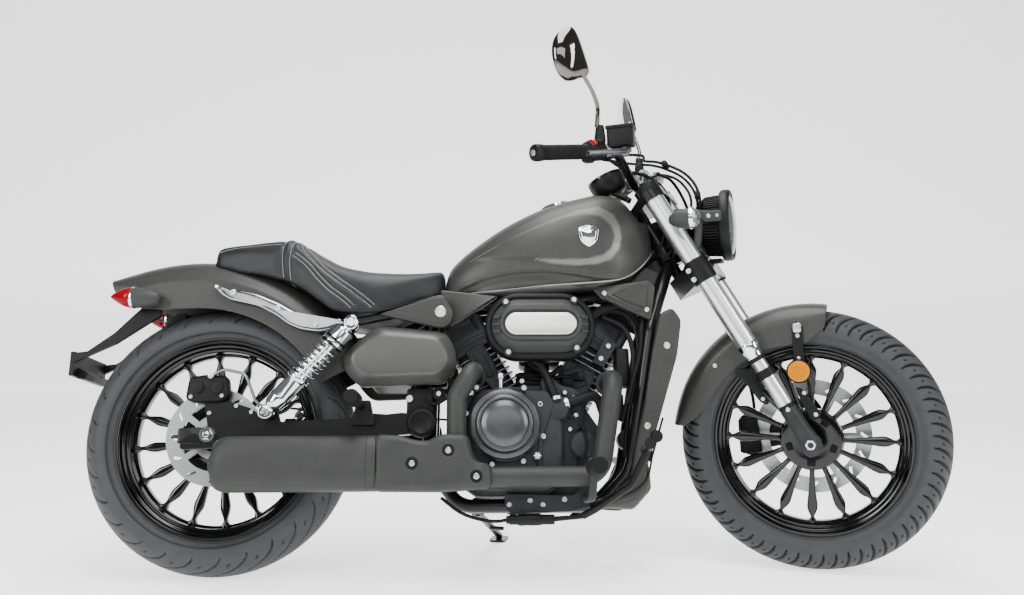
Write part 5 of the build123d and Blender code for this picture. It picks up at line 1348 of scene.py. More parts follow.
@dataclass
class Engine:
    """V-twin: two leaning finned cylinders, clutch and timing covers, air cleaner and coolant pump."""

    crank: Point = (738.0, 0.0, 262.0)
    lean: float = 30.0
    base: float = 150.0
    split: float = 290.0
    fins: int = 9
    clutch: Point = (662.0, 0.0, 327.0)
    cleaner: tuple[float, float] = (746.5, 555.0)

    def axes(self, sign: int) -> tuple[Array, Array]:
        """Directions across and up a cylinder, in the side view."""
        angle = math.radians(self.lean * sign)
        return (np.array([math.cos(angle), 0, -math.sin(angle)]),
                np.array([math.sin(angle), 0, math.cos(angle)]))

    def cylinder(self, sign: int) -> tuple[Shell, Shell]:
        """Barrel, head and rocker cover, and the fins, of the front (1) or rear (-1) cylinder."""
        across, up = self.axes(sign)

        def block(width: float, depth: float, corner: float, low: float, high: float, edge: float) -> Shell:
            return plate(slab(width, depth, corner), low, high, edge, self.crank, across, (0, 1, 0))

        pitch = (self.split - self.base - 8) / self.fins
        fins = [block(110, 116, 12, at, at + 3.6, 1.3)
                for at in self.base + 6 + pitch * np.arange(self.fins)]
        cover = stacked(slab(94, 102, 20), [(2, 326), (0, 328), (0, 334), (2, 337), (3, 352), (6, 362),
                                            (12, 369), (20, 372)], self.crank, across, (0, 1, 0))
        ribs = [block(5, 84, 2, 352, 374.5, 1.6).mapped(lambda p, u=u: p + across * u)
                for u in (-24, -8, 8, 24)]
        posts = [rod(self.crank + across * u + up * 300 + np.array([0, y, 0]),
                     self.crank + across * u + up * 366 + np.array([0, y, 0]), 12, 4)
                 for u in (-42, 42) for y in (-44, 44)]
        body = joined([block(90, 94, 16, self.base - 4, self.split + 2, 1),
                       block(107, 115, 12, 290, 300, 1.5),
                       block(101, 110, 14, 298, 330, 3), block(105, 113, 14, 309, 313, 1.3),
                       block(105, 113, 14, 318, 322, 1.3), cover, *ribs, *posts])
        return body, joined(fins)

    def on_side(self, sign: int, outline: Sequence[Sequence[float]], steps: Sequence[tuple[float, float]],
                corner: float = 4.0) -> Shell:
        """Stepped plate on a cylinder's right side; the outline is across and up from the crank."""
        across, up = self.axes(sign)
        return stacked(rounded(outline, corner), steps, self.crank, across, up)

    def side_details(self) -> tuple[Shell, Shell]:
        """Cover plates on the cylinders' right sides, and their screws."""
        rim = [(0, 50), (0, 66), (1.2, 67.5), (3.5, 67.5), (5, 64), (6, 63.5)]
        slot = [(0, 60), (0, 66), (1, 67), (2.5, 67), (3.5, 64.5)]
        tab = [(-22, 300), (24, 300), (26, 240), (14, 168), (-8, 168), (-20, 236)]
        long_slot = [(-8, 282), (12, 282), (12, 214), (-6, 214)]
        pieces = [self.on_side(-1, tab, rim, 8), self.on_side(-1, long_slot, slot, 9),
                  self.on_side(-1, [(0, 272), (5, 272), (5, 224), (0, 224)], slot[:3], 2),
                  self.on_side(1, [(-44, 236), (20, 242), (30, 226), (30, 184), (16, 168), (-40, 168),
                                   (-50, 186), (-50, 222)], rim, 6),
                  self.on_side(1, [(-12, 238), (22, 204), (-12, 170), (-46, 204)], slot, 3),
                  self.on_side(1, [(-12, 224), (6, 204), (-12, 184), (-30, 204)], slot, 3),
                  self.on_side(1, [(4, 324), (38, 324), (36, 258), (6, 256)],
                               [(0, 50), (0, 69), (1.5, 70.5)], 4)]
        across, up = self.axes(1)
        frame_points = [self.crank + across * u + up * w for u, w in ((21, 309), (20, 274))]
        return joined(pieces), screws([(p[0], p[2]) for p in frame_points], 70, 6.5, 5)

    def clutch_cover(self) -> tuple[Shell, Shell, Shell]:
        """Side casting with its parting flange, the stepped clutch cover, and their screws."""
        outline = rounded([(600, 180), (770, 178), (796, 230), (800, 330), (778, 396), (690, 416), (590, 404),
                           (562, 330), (566, 230)], 26)
        casting = stacked(outline, [(0, 104), (-3, 105), (-3, 112), (-2, 113.5), (1, 114), (2, 128), (5, 140),
                                    (11, 147), (18, 149), (26, 149.5)])
        rib = stacked(rounded([(706, 404), (760, 402), (774, 372), (748, 300), (744, 220), (726, 204),
                               (738, 300)], 10),
                      [(0, 140), (0, 150), (2, 153), (5, 153.5)])
        plug = rod((734, -146, 257), (734, -156, 257), 12, 2)
        bosses = [rod((x, -118, z), (x, -150.5, z), 9.5, 2) for x, z in self.clutch_screws()]
        dome = lathe([(140, 83), (152, 83), (155, 81), (157, 79), (166, 78.5), (170, 76), (172, 70),
                      (172.6, 66), (178, 64.5), (182, 62), (184, 58), (183.4, 54), (180, 51.5), (180.6, 49.5),
                      (183, 46), (186, 36), (187.3, 20), (187.6, 0.5)], self.clutch, RIGHT, 128)
        heads = screws(self.clutch_screws(), 150, 6, 6)
        tips = [(734 + 8 * math.cos(a), -156, 257 + 8 * math.sin(a)) for a in np.arange(6) * TAU / 6]
        star = joined(rod((734, -155, 257), tip, 2.6, 0.8, 10) for tip in tips)
        filler = rod((654, -126, 404), (654, -126, 440), 5, 1) + rod((654, -126, 432), (654, -126, 446), 8, 2)
        return joined([casting, rib, plug, *bosses]), dome, joined([heads, star, filler])

    @staticmethod
    def clutch_screws() -> list[tuple[float, float]]:
        """Side-view places of the screws round the clutch cover."""
        return [(599, 410), (576, 352), (580, 285), (634, 240), (703, 246), (748, 300), (742, 372),
                (706, 408)]

    def timing_cover(self) -> tuple[Shell, Shell]:
        """Casting ahead of the clutch with the pump housing, and its screws."""
        outline = rounded([(744, 436), (772, 440), (790, 420), (830, 412), (850, 388), (842, 330), (822, 300),
                           (830, 262), (812, 214), (776, 196), (756, 230)], 14)
        plate_part = stacked(outline, [(0, 100), (0, 116), (2, 121), (6, 123.5), (14, 124)])
        spots = [(756, 384), (800, 401), (820, 389), (765, 337), (795, 348), (824, 350), (810, 318),
                 (824, 300), (784, 253), (800, 230)]
        bosses = [rod((x, -112, z), (x, -126, z), 8.5, 2) for x, z in spots]
        ribs = [rod((782, -122, 362), (782 + 34 * math.cos(a), -121, 362 + 34 * math.sin(a)), 3.2, 1)
                for a in np.arange(5) * TAU / 5 + 0.4]
        return joined([plate_part, *bosses, *ribs]), screws(spots, 126, 5.2, 5)

    def pump(self) -> tuple[Shell, Shell, Shell]:
        """Pump body, its hoses and their clips."""
        body = lathe([(104, 34), (126, 34), (130, 31), (134, 27), (146, 26), (150, 23), (151.5, 14),
                      (152, 0.5)], (782, 0, 362), RIGHT, 48)
        low = lathe([(104, 30), (132, 30), (137, 26), (140, 12), (140.5, 0.5)], (838, 0, 284), RIGHT, 40)
        hoses = [pipe([(700, -96, 494), (744, -112, 470), (764, -140, 424), (782, -146, 376)], 9.5, 40),
                 pipe([(790, -140, 371), (832, -138, 384), (874, -132, 396), (888, -124, 350),
                       (884, -108, 300)], 11, 24),
                 pipe([(806, -136, 350), (838, -142, 330), (846, -140, 280), (828, -132, 226)], 3.5, 40),
                 pipe([(870, -56, 590), (902, -64, 610), (952, -60, 626), (1004, -56, 540)], 12, 30)]
        clips = [rod((797, -139.6, 373.5), (806, -139.2, 376.5), 13, 1),
                 rod((779, -145, 390), (780.5, -145.4, 382), 11.5, 1),
                 rod((886, -118, 330), (887, -116, 322), 13, 1)]
        return body + low, joined(hoses), joined(clips)

    def air_cleaner(self) -> tuple[Shell, Shell, Shell, Shell]:
        """Rim, raised body, brushed plate and screws of the air cleaner."""
        rim = stacked(stadium(257, 160, self.cleaner, 30), [
            (8, 102), (2, 104), (0, 108), (0, 128), (2, 134), (6, 138), (11, 139.5), (14, 138.5), (15, 135),
            (20, 135)])
        body = stacked(stadium(223, 126, self.cleaner, 30), [
            (0, 130), (0, 137), (1.2, 139), (4, 142), (12, 152), (17, 156.5), (22, 158.6), (27, 159)])
        ring = stacked(stadium(188, 78, self.cleaner, 30), [
            (0, 150), (0, 162), (1.5, 164.6), (4, 165.6), (6.5, 165.2), (8, 163), (8.6, 158), (14, 158)])
        x, z = self.cleaner
        bars = [rod((x + s * 92, -157.5, z + dz), (x + s * 108, -146, z + dz), 4.2, 2)
                for s in (-1, 1) for dz in (-17, 0, 17)]
        spots = [(667, 608), (824, 613), (672, 491), (828, 500)]
        cups = [rod((a, -134, b), (a, -150, b), 9, 1.5) for a, b in spots]
        face = stacked(stadium(163, 51, self.cleaner, 24), [(0, 152), (0, 162), (1, 163.2), (2.4, 163.6)])
        neck = rod((x, -106, z), (x, -44, z - 6), 36, 3)
        return rim + neck, joined([body, ring, *bars, *cups]), face, screws(spots, 149, 5.6, 6)

    @staticmethod
    def intake() -> tuple[Shell, Shell]:
        """Intake tract, starter and control box in the V, and the wiring round them."""
        solid = joined([rod((742, -40, 470), (742, 40, 470), 30, 5), rod((742, 0, 440), (742, 0, 540), 26, 4),
                        box((748, -20, 505), (96, 90, 60), 8), box((724, -48, 446), (60, 34, 26), 5),
                        rod((690, -58, 432), (790, -58, 432), 15, 4), box((812, -60, 436), (30, 26, 30), 4),
                        box((944, -40, 470), (34, 60, 90), 6), box((928, -52, 376), (30, 40, 60), 5),
                        rod((950, -70, 300), (950, -30, 300), 24, 4), box((500, -44, 470), (60, 40, 90), 6),
                        box((470, -92, 372), (62, 16, 88), 5), rod((512, -60, 404), (512, -98, 404), 16, 3)])
        runs = [((700, -70, 500), (730, -82, 470), (770, -84, 450), (800, -76, 470)),
                ((690, -62, 452), (740, -74, 440), (800, -72, 446), (850, -70, 440)),
                ((900, -66, 590), (950, -74, 560), (968, -76, 500), (960, -74, 420), (936, -70, 340)),
                ((916, -60, 610), (964, -70, 590), (980, -78, 520), (972, -80, 440), (950, -76, 350),
                 (940, -70, 260)),
                ((1000, -70, 600), (990, -82, 560), (984, -84, 500), (962, -82, 430), (948, -80, 380)),
                ((1010, -60, 590), (1012, -80, 540), (994, -88, 470), (974, -84, 400), (960, -80, 330)),
                ((470, -70, 560), (500, -84, 500), (520, -84, 450), (560, -80, 424)),
                ((450, -80, 420), (470, -96, 400), (500, -98, 380), (540, -96, 400))]
        return solid, joined(tube(run, 4.6 if index % 2 else 6.5, 40, 10) for index, run in enumerate(runs))

    def build(self, shop: Workshop) -> None:
        """Makes every engine piece."""
        solid, wires = self.intake()
        shop.piece("intake_and_starter", solid, "moulded_black", Body.CHASSIS)
        shop.piece("wiring_loom", wires, "hose_rubber", Body.CHASSIS)
        parts = [self.cylinder(sign) for sign in (1, -1)]
        for name, (body, fins) in zip(("front", "rear"), parts):
            shop.piece(f"{name}_cylinder_casting", body, "engine_grey", Body.CHASSIS,
                       replaces=[f"cylinder_{name}"])
            shop.piece(f"{name}_cylinder_fins", fins, "fin_edge", Body.CHASSIS)
        plates, plate_screws = self.side_details()
        shop.piece("cylinder_side_plates", plates, "engine_grey", Body.CHASSIS)
        casting, dome, heads = self.clutch_cover()
        shop.piece("clutch_casting", casting, "engine_grey", Body.CHASSIS, replaces=["clutch_cover"])
        shop.piece("clutch_dome", dome, "clutch_enamel", Body.CHASSIS)
        timing, timing_screws = self.timing_cover()
        shop.piece("timing_cover", timing, "engine_grey", Body.CHASSIS)
        body, hoses, clips = self.pump()
        shop.piece("coolant_hoses", hoses, "hose_rubber", Body.CHASSIS, replaces=["coolant_pump"])
        shop.piece("coolant_pump_body", body, "engine_grey", Body.CHASSIS)
        rim, cover, face, cleaner_screws = self.air_cleaner()
        shop.piece("air_cleaner_rim", rim, "moulded_black", Body.CHASSIS, replaces=["air_cleaner_cover"])
        shop.piece("air_cleaner_body", cover, "moulded_grey", Body.CHASSIS)
        shop.piece("air_cleaner_face", face, "brushed_plate", Body.CHASSIS, replaces=["air_cleaner_plate"])
        frame_screws = (screws([(446, 392), (446, 350)], 100, 9, 6)
                        + screws([(704, 432), (512, 404)], 98, 6, 5))
        shop.piece("engine_screws", joined([plate_screws, heads, timing_screws, cleaner_screws, clips,
                                            frame_screws]),
                   "bolt_steel", Body.CHASSIS)


# ------------------------------------------------------------------ exhaust
@dataclass
class Exhaust:
    """Two header pipes into a long collector box, and an oval silencer with a rounded tail."""

    pipe_r: float = 22.0
    axis: tuple[float, float] = (-170.0, 242.0)
    seam_x: float = 364.0
    recesses: tuple[tuple[float, float], ...] = ((463, 239), (540, 266), (600, 211))

    def headers(self) -> tuple[Shell, Shell]:
        """Front and rear header pipes with their port flanges."""
        front = pipe([(908, -58, 430), (908, -172, 430), (868, -180, 211), (626, -180, 211)], self.pipe_r, 46)
        rear = pipe([(592, -58, 448), (592, -174, 448), (556, -176, 385), (556, -176, 292)], self.pipe_r, 38)
        flanges = [lathe([(0, 30), (7, 30), (9, 28), (9, 20)], start, RIGHT, 40)
                   for start in ((908, -60, 430), (592, -60, 448))]
        return front + flanges[0], rear + flanges[1]

    def collector(self) -> tuple[Shell, Shell, Shell]:
        """Pressed collector box with dished screw seats, the painted shadows in the seats, and the screws."""
        outline = rounded([(380, 182), (380, 302), (430, 301), (462, 291), (492, 287), (510, 296), (530, 303),
                           (582, 302), (590, 262), (602, 241), (634, 237), (634, 186), (520, 180)], 16, 7)
        angle = np.linspace(0, math.pi / 2, 8)
        box_part = stacked(outline, [(16 * (1 - math.sin(a)), 153 + 16 * (1 - math.cos(a))) for a in angle]
                           + [(18 * (1 - math.cos(a)), 217 - 18 * (1 - math.sin(a))) for a in angle],
                           draw_in=shrunk)
        seam = stacked(inset(outline, -1.2), [(0.6, 181), (0, 182), (0, 184), (0.6, 185)])
        dishes = [lathe([(214, 18.5), (217.2, 18), (218, 16.4), (217.4, 14.6), (216.8, 13.6), (216, 13)],
                        (x, 0, z), RIGHT, 36) for x, z in self.recesses]
        # Painted shadow: black discs in the bottoms of the dished seats stand in for the shade round the
        # screws.
        wells = [lathe([(215, 13.4), (217.3, 13.4), (217.35, 0.5)], (x, 0, z), RIGHT, 30)
                 for x, z in self.recesses]
        return joined([box_part, seam, *dishes]), joined(wells), screws(self.recesses, 217, 6.4, 4)

    def muffler(self) -> Shell:
        """Silencer body swept along its axis: a superellipse that closes in a rounded tail."""
        y, z = self.axis
        seam = self.seam_x + np.array([1, 0.4, -0.4, -1])
        nose = np.array([384.0, 380.0, *seam, 300.0])
        nose_scale = np.array([0.985, 1.0, 1.0, 0.985, 0.985, 1.0, 1.0])
        end, length = 32, 34
        angle = np.linspace(0.04, math.pi / 2, 14)[::-1]
        tail = end + length * (1 - np.sin(angle))
        x = np.concatenate([nose, [200.0, 100.0], tail])
        closing = 0.62 + 0.38 * np.sqrt(np.clip(1 - ((end + length - tail) / length) ** 2, 0, 1))
        scale = np.concatenate([nose_scale, [1.0, 1.0], closing])
        order = np.argsort(-x)
        path = np.column_stack([x[order], np.full(len(x), y), np.full(len(x), z)])
        return swept(path, superellipse(46, 60, 2.9, 96), (0, 0, 1), scale[order])

    def build(self, shop: Workshop) -> None:
        """Makes the whole exhaust."""
        front, rear = self.headers()
        shop.piece("front_header_pipe", front, "exhaust_grey", Body.CHASSIS,
                   replaces=["exhaust_header_front"])
        shop.piece("rear_header_pipe", rear, "exhaust_grey", Body.CHASSIS, replaces=["exhaust_header_rear"])
        box_part, wells, heads = self.collector()
        shop.piece("collector_box", box_part, "exhaust_grey", Body.CHASSIS, replaces=["exhaust_collector"])
        # Painted shadow: black discs in the dished seats.
        shop.piece("collector_seat_shadows", wells, "moulded_black", Body.CHASSIS)
        shop.piece("collector_screws", heads, "bolt_steel", Body.CHASSIS)
        shop.piece("muffler_body", self.muffler(), "exhaust_grey", Body.CHASSIS, replaces=["muffler"])
        y, z = self.axis
        outlet = lathe([(0, 15), (-12, 15), (-13, 16.5), (-12, 19.5), (-10, 20), (22, 20), (22, 15)],
                       (36, y, z), (1, 0, 0), 40, closed=True)
        shop.piece("muffler_outlet", outlet, "exhaust_grey", Body.CHASSIS)
        hanger = joined([box((860, -176, 246), (34, 14, 10), 3), box((872, -170, 232), (20, 20, 30), 4)])
        shop.piece("header_clamp", hanger, "engine_grey", Body.CHASSIS)


# ------------------------------------------------------------------ panels
@dataclass
class Panels:
    """Side covers, frame covers, radiator shrouds and belly panel, both sides."""

    cover: tuple[tuple[float, float], ...] = (
        (372, 560), (526, 544), (548, 512), (556, 462), (530, 423), (333, 416), (296, 456), (292, 490),
        (334, 532))
    shroud: tuple[tuple[float, float], ...] = (
        (1060, 604), (1080, 574), (1066, 490), (1032, 386), (1000, 290), (984, 232), (986, 200), (966, 168),
        (905, 148), (853, 140), (842, 150), (910, 178), (944, 204), (958, 284), (984, 380), (1009, 506),
        (1030, 590))
    belly: tuple[tuple[float, float], ...] = (
        (872, 146), (950, 140), (992, 184), (990, 236), (972, 262), (958, 224), (930, 192), (884, 168))

    def build(self, shop: Workshop) -> None:
        """Makes the panels and their screws."""
        side = stacked(rounded(self.cover, 20, 8), [
            (5, 110), (1, 112), (0, 114), (0, 119), (0.8, 122), (3, 125), (20, 141), (23, 143.2), (27, 144.4),
            (33, 145)], crown=1.5, draw_in=shrunk)
        shop.piece("side_cover_shells", both(side), "cover_grey", Body.CHASSIS,
                   replaces=["side_covers"], sharp=50)
        crown = [(0, 88), (0, 93), (1.4, 95.6), (4, 97)]
        rear_triangle = stacked(rounded([(372, 584), (505, 630), (524, 631), (548, 590), (540, 562),
                                         (520, 551)], 12),
                                [(0, 120), (0, 128), (1.5, 131), (4, 132.4), (12, 133)], draw_in=shrunk)
        web = stacked(rounded([(512, 652), (652, 636), (560, 572), (536, 560)], 8), crown)
        gusset = stacked(rounded([(874, 656), (1012, 676), (1026, 660), (1012, 576), (968, 596), (898, 630)],
                                 8), crown)
        relief = stacked(rounded([(918, 640), (980, 664), (1008, 655), (1000, 606), (962, 618)], 5),
                         [(0, 94), (0, 98.6), (1.4, 100)])
        shop.piece("frame_cover_pressings", both(joined([rear_triangle, web, gusset, relief])), "satin_grey",
                   Body.CHASSIS, replaces=["frame_side_panels"])
        shroud = rounded(self.shroud, 12)
        outer = stacked(shroud, [(2, 100), (0, 102), (0, 110), (2, 113), (5, 114.6), (8, 115)])
        shop.piece("radiator_shroud_shells", both(outer), "satin_grey", Body.CHASSIS,
                   replaces=["radiator_shrouds"], sharp=50)
        # Painted shade: a black bead laid along the shroud's groove line stands in for the shade in the
        # groove.
        groove = np.column_stack([curve([(1024, 344), (997, 262), (984, 214), (960, 186), (918, 168),
                                         (868, 152)], 60),
                                  np.full(60, 115.4)])[:, [0, 2, 1]] * (1, -1, 1)
        belly = stacked(rounded(self.belly, 10), [(0, 84), (0, 104), (3, 108), (8, 109)])
        shop.piece("belly_panels", both(belly), "cover_grey", Body.CHASSIS)
        # Painted shade in the shroud's groove, made as a black bead.
        shop.piece("shroud_groove_shade", both(swept(groove, circle(2.6, 10), (0, 1, 0))), "moulded_black",
                   Body.CHASSIS)
        heads = joined([screws([(1042, 512), (988, 326)], 114, 8, 4),
                        screws([(902, 642), (1002, 602)], 96, 6, 4),
                        screws([(516, 590)], 133, 14, 4), screws([(516, 590)], 136, 8, 3)])
        shop.piece("panel_screws", both(heads), "bolt_steel", Body.CHASSIS)
        bobbin = joined([rod((1008, y, 302), (1008, y - 14, 302), 14, 4) for y in (-100, -108)])
        shop.piece("shroud_rubbers", both(bobbin), "hose_rubber", Body.CHASSIS)


# ------------------------------------------------------------------ rear end
@dataclass
class RearEnd:
    """Shock absorbers, mudguard struts, swingarm, rear brake and tail lamps."""

    foot: tuple[float, float] = (133.0, 358.0)
    top: tuple[float, float] = (315.0, 559.0)
    shock_y: float = 150.0
    strut: tuple[tuple[float, float], ...] = (
        (-17, 661), (4, 652), (46, 648), (92, 636), (140, 616), (178, 594), (212, 582), (240, 580),
        (288, 580), (292, 562), (264, 551), (235, 546), (194, 552), (163, 565), (133, 587), (93, 608),
        (57, 617), (28, 623), (4, 637))

    def along(self, share: float) -> Array:
        """Point of the right shock's axis, from its foot at 0 to its top at 1."""
        (x, z), (x1, z1) = self.foot, self.top
        return np.array([x + share * (x1 - x), -self.shock_y, z + share * (z1 - z)])

    def shocks(self) -> tuple[Shell, Shell, Shell]:
        """Damper bodies and eyes, the springs, and the dark seats of the right shock."""
        start, end = self.along(0), self.along(1)
        length = float(np.linalg.norm(end - start))
        profile = np.array([(0.02, 10), (0.05, 15), (0.07, 19), (0.09, 22), (0.12, 22.6), (0.14, 24),
                            (0.17, 24), (0.18, 22.6), (0.34, 22.6), (0.35, 26), (0.365, 27.4), (0.385, 27.4),
                            (0.395, 26), (0.40, 14), (0.745, 13), (0.75, 25), (0.76, 27), (0.80, 27),
                            (0.81, 25), (0.815, 24), (0.90, 24), (0.92, 22), (0.935, 14), (0.98, 10)])
        body = lathe(profile * (length, 1), start, end - start, 56)
        eyes = [rod(p + (0, -13, 0), p + (0, 13, 0), 17, 3) for p in (start, end)]
        nuts = [bolt(p + np.array([0, -13, 0]), RIGHT, 9, 7) for p in (start, end)]
        spring = coil(self.along(0.40), self.along(0.745), 22.8, 3.7, 6.5)
        rings = [lathe([(0, 20), (1, 27.6), (7, 27.8), (8, 20)], self.along(at), end - start, 48)
                 for at in (0.742, 0.79)]
        return joined([body, *eyes, *nuts]), spring, joined(rings)

    def struts(self) -> tuple[Shell, Shell]:
        """Struts with stepped edges and a slightly crowned face, and their screws."""
        rim = stacked(rounded(self.strut, 9, 5), [(0.8, 98), (0, 99.5), (0, 112), (0.8, 114), (2.4, 115.6),
                                                  (5, 116.6)], crown=0.6)
        return rim, screws([(33, 641), (138, 603), (227, 565)], 116.4, 7, 4.5)

    def brake(self) -> tuple[Shell, Shell, Shell]:
        """Caliper, bracket, hose and bright screws on the right of the rear wheel."""
        body = stacked(rounded([(-66, 396), (-60, 446), (-20, 452), (28, 446), (34, 402), (18, 388),
                                (-50, 388)], 10),
                       [(0, 74), (0, 92), (2, 96), (6, 98.5), (12, 99.5)])
        pots = [rod((x, -96, 421), (x, -103, 421), 15, 4) for x in (-38, 6)]
        inner = stacked(rounded([(-50, 396), (-48, 440), (14, 444), (22, 400)], 6),
                        [(0, 46), (0, 57), (1, 58)])
        bridge = side_plate(rounded([(-58, 430), (-56, 450), (18, 452), (22, 430)], 4), -54, -80, 2)
        hanger = stacked(rounded([(-14, 336), (-26, 392), (30, 392), (84, 374), (116, 342), (60, 326),
                                  (14, 300), (-14, 290)], 8), [(0, 77), (0, 84), (1.5, 86)])
        hub = rod((0, -76, 311), (0, -100, 311), 20, 3)
        hose = pipe([(-8, -98, 448), (20, -104, 462), (72, -110, 450), (98, -112, 388), (150, -100, 342)],
                    3.6, 26)
        spots = [(-11, 364), (49, 380), (84, 366), (-52, 400), (18, 402)]
        return (joined([body, *pots, inner, bridge, hanger, hub]), hose,
                joined([screws(spots[:3], 86, 5, 4), screws(spots[3:], 98, 4.5, 4),
                        rod((-8, -98, 448), (-8, -107, 448), 7, 1.5)]))

    def axle_end(self) -> tuple[Shell, Shell]:
        """Adjuster plates and axle nuts at both ends of the rear axle."""
        guide = side_plate(rounded([(-66, 292), (-66, 326), (-14, 328), (-14, 290)], 5), -121, -126, 1.5)
        nut = rod((0, -121, 311), (0, -126, 311), 16, 1.2) + joined(
            [lathe([(126, 12.5), (135, 12.5), (136.5, 11), (136.5, 7)], REAR_AXLE, RIGHT, 6),
             rod((0, -134, 311), (0, -140, 311), 6.5, 1.2)])
        rod_end = rod((-40, -111, 309), (-84, -111, 308), 4, 1)
        return both(guide + rod_end), both(nut)

    @staticmethod
    def swingarm_caps() -> Shell:
        """Round covers over the swingarm's pivots, both sides."""
        cap = lathe([(118, 34), (126, 34), (130, 31), (131, 24), (128, 20), (128, 0.5)],
                    (476, 0, 335), RIGHT, 48)
        return both(cap)

    def tail(self) -> tuple[Shell, Shell, Shell]:
        """Rear lamp bodies with chrome rims, and their lenses, on both sides."""
        aim = np.array([-1, 0, 0.05]) / np.linalg.norm([-1, 0, 0.05])
        base = np.array([-194.0, -118.0, 628.0])
        body = lathe([(-62, 4), (-60, 9), (-54, 14), (-40, 19), (-20, 22.6), (-4, 24), (0, 24.2)],
                     base, aim, 48)
        stalk = rod((-156, -98, 630), (-166, -118, 630), 8, 1)
        rim = lathe([(-4, 24), (-3, 25.6), (2, 25.8), (3.4, 25), (3.4, 22)], base, aim, 48)
        lens = lathe([(1, 23.6), (8, 24), (20, 21.6), (34, 15), (46, 7.6), (52, 3), (53, 0.6)], base, aim, 48)
        return body + stalk, both(rim), both(lens)

    def build(self, shop: Workshop) -> None:
        """Makes the rear end."""
        dampers, spring, rings = self.shocks()
        shop.piece("damper_bodies", both(dampers), "chrome", Body.CHASSIS, replaces=["shock_bodies"])
        shop.piece("coil_springs", both(spring), "chrome", Body.CHASSIS, replaces=["shock_springs"])
        shop.piece("spring_seats", both(rings), "wheel_black", Body.CHASSIS)
        rim, strut_screws = self.struts()
        shop.piece("mudguard_struts", both(rim), "polished_steel", Body.CHASSIS,
                   replaces=["fender_struts"], sharp=55)
        caliper, hose, brake_screws = self.brake()
        shop.piece("rear_caliper_casting", caliper, "moulded_black", Body.CHASSIS, replaces=["rear_caliper"])
        shop.piece("rear_brake_hose", hose, "peg_steel", Body.CHASSIS)
        guide, nut = self.axle_end()
        shop.piece("axle_adjusters", guide, "frame_black", Body.CHASSIS)
        shop.piece("axle_nuts", nut, "chrome", Body.CHASSIS)
        shop.piece("pivot_caps", self.swingarm_caps(), "moulded_black", Body.CHASSIS)
        shop.piece("rear_screws", both(strut_screws) + brake_screws, "bolt_steel", Body.CHASSIS)
        body, rim, lens = self.tail()
        shop.piece("rear_lamp_bodies", both(body), "moulded_grey", Body.CHASSIS, replaces=["rear_lamps"])
        shop.piece("rear_lamp_rims", rim, "chrome", Body.CHASSIS)
        shop.piece("rear_lamp_lenses", lens, "red_lens", Body.CHASSIS, replaces=["rear_lenses"])


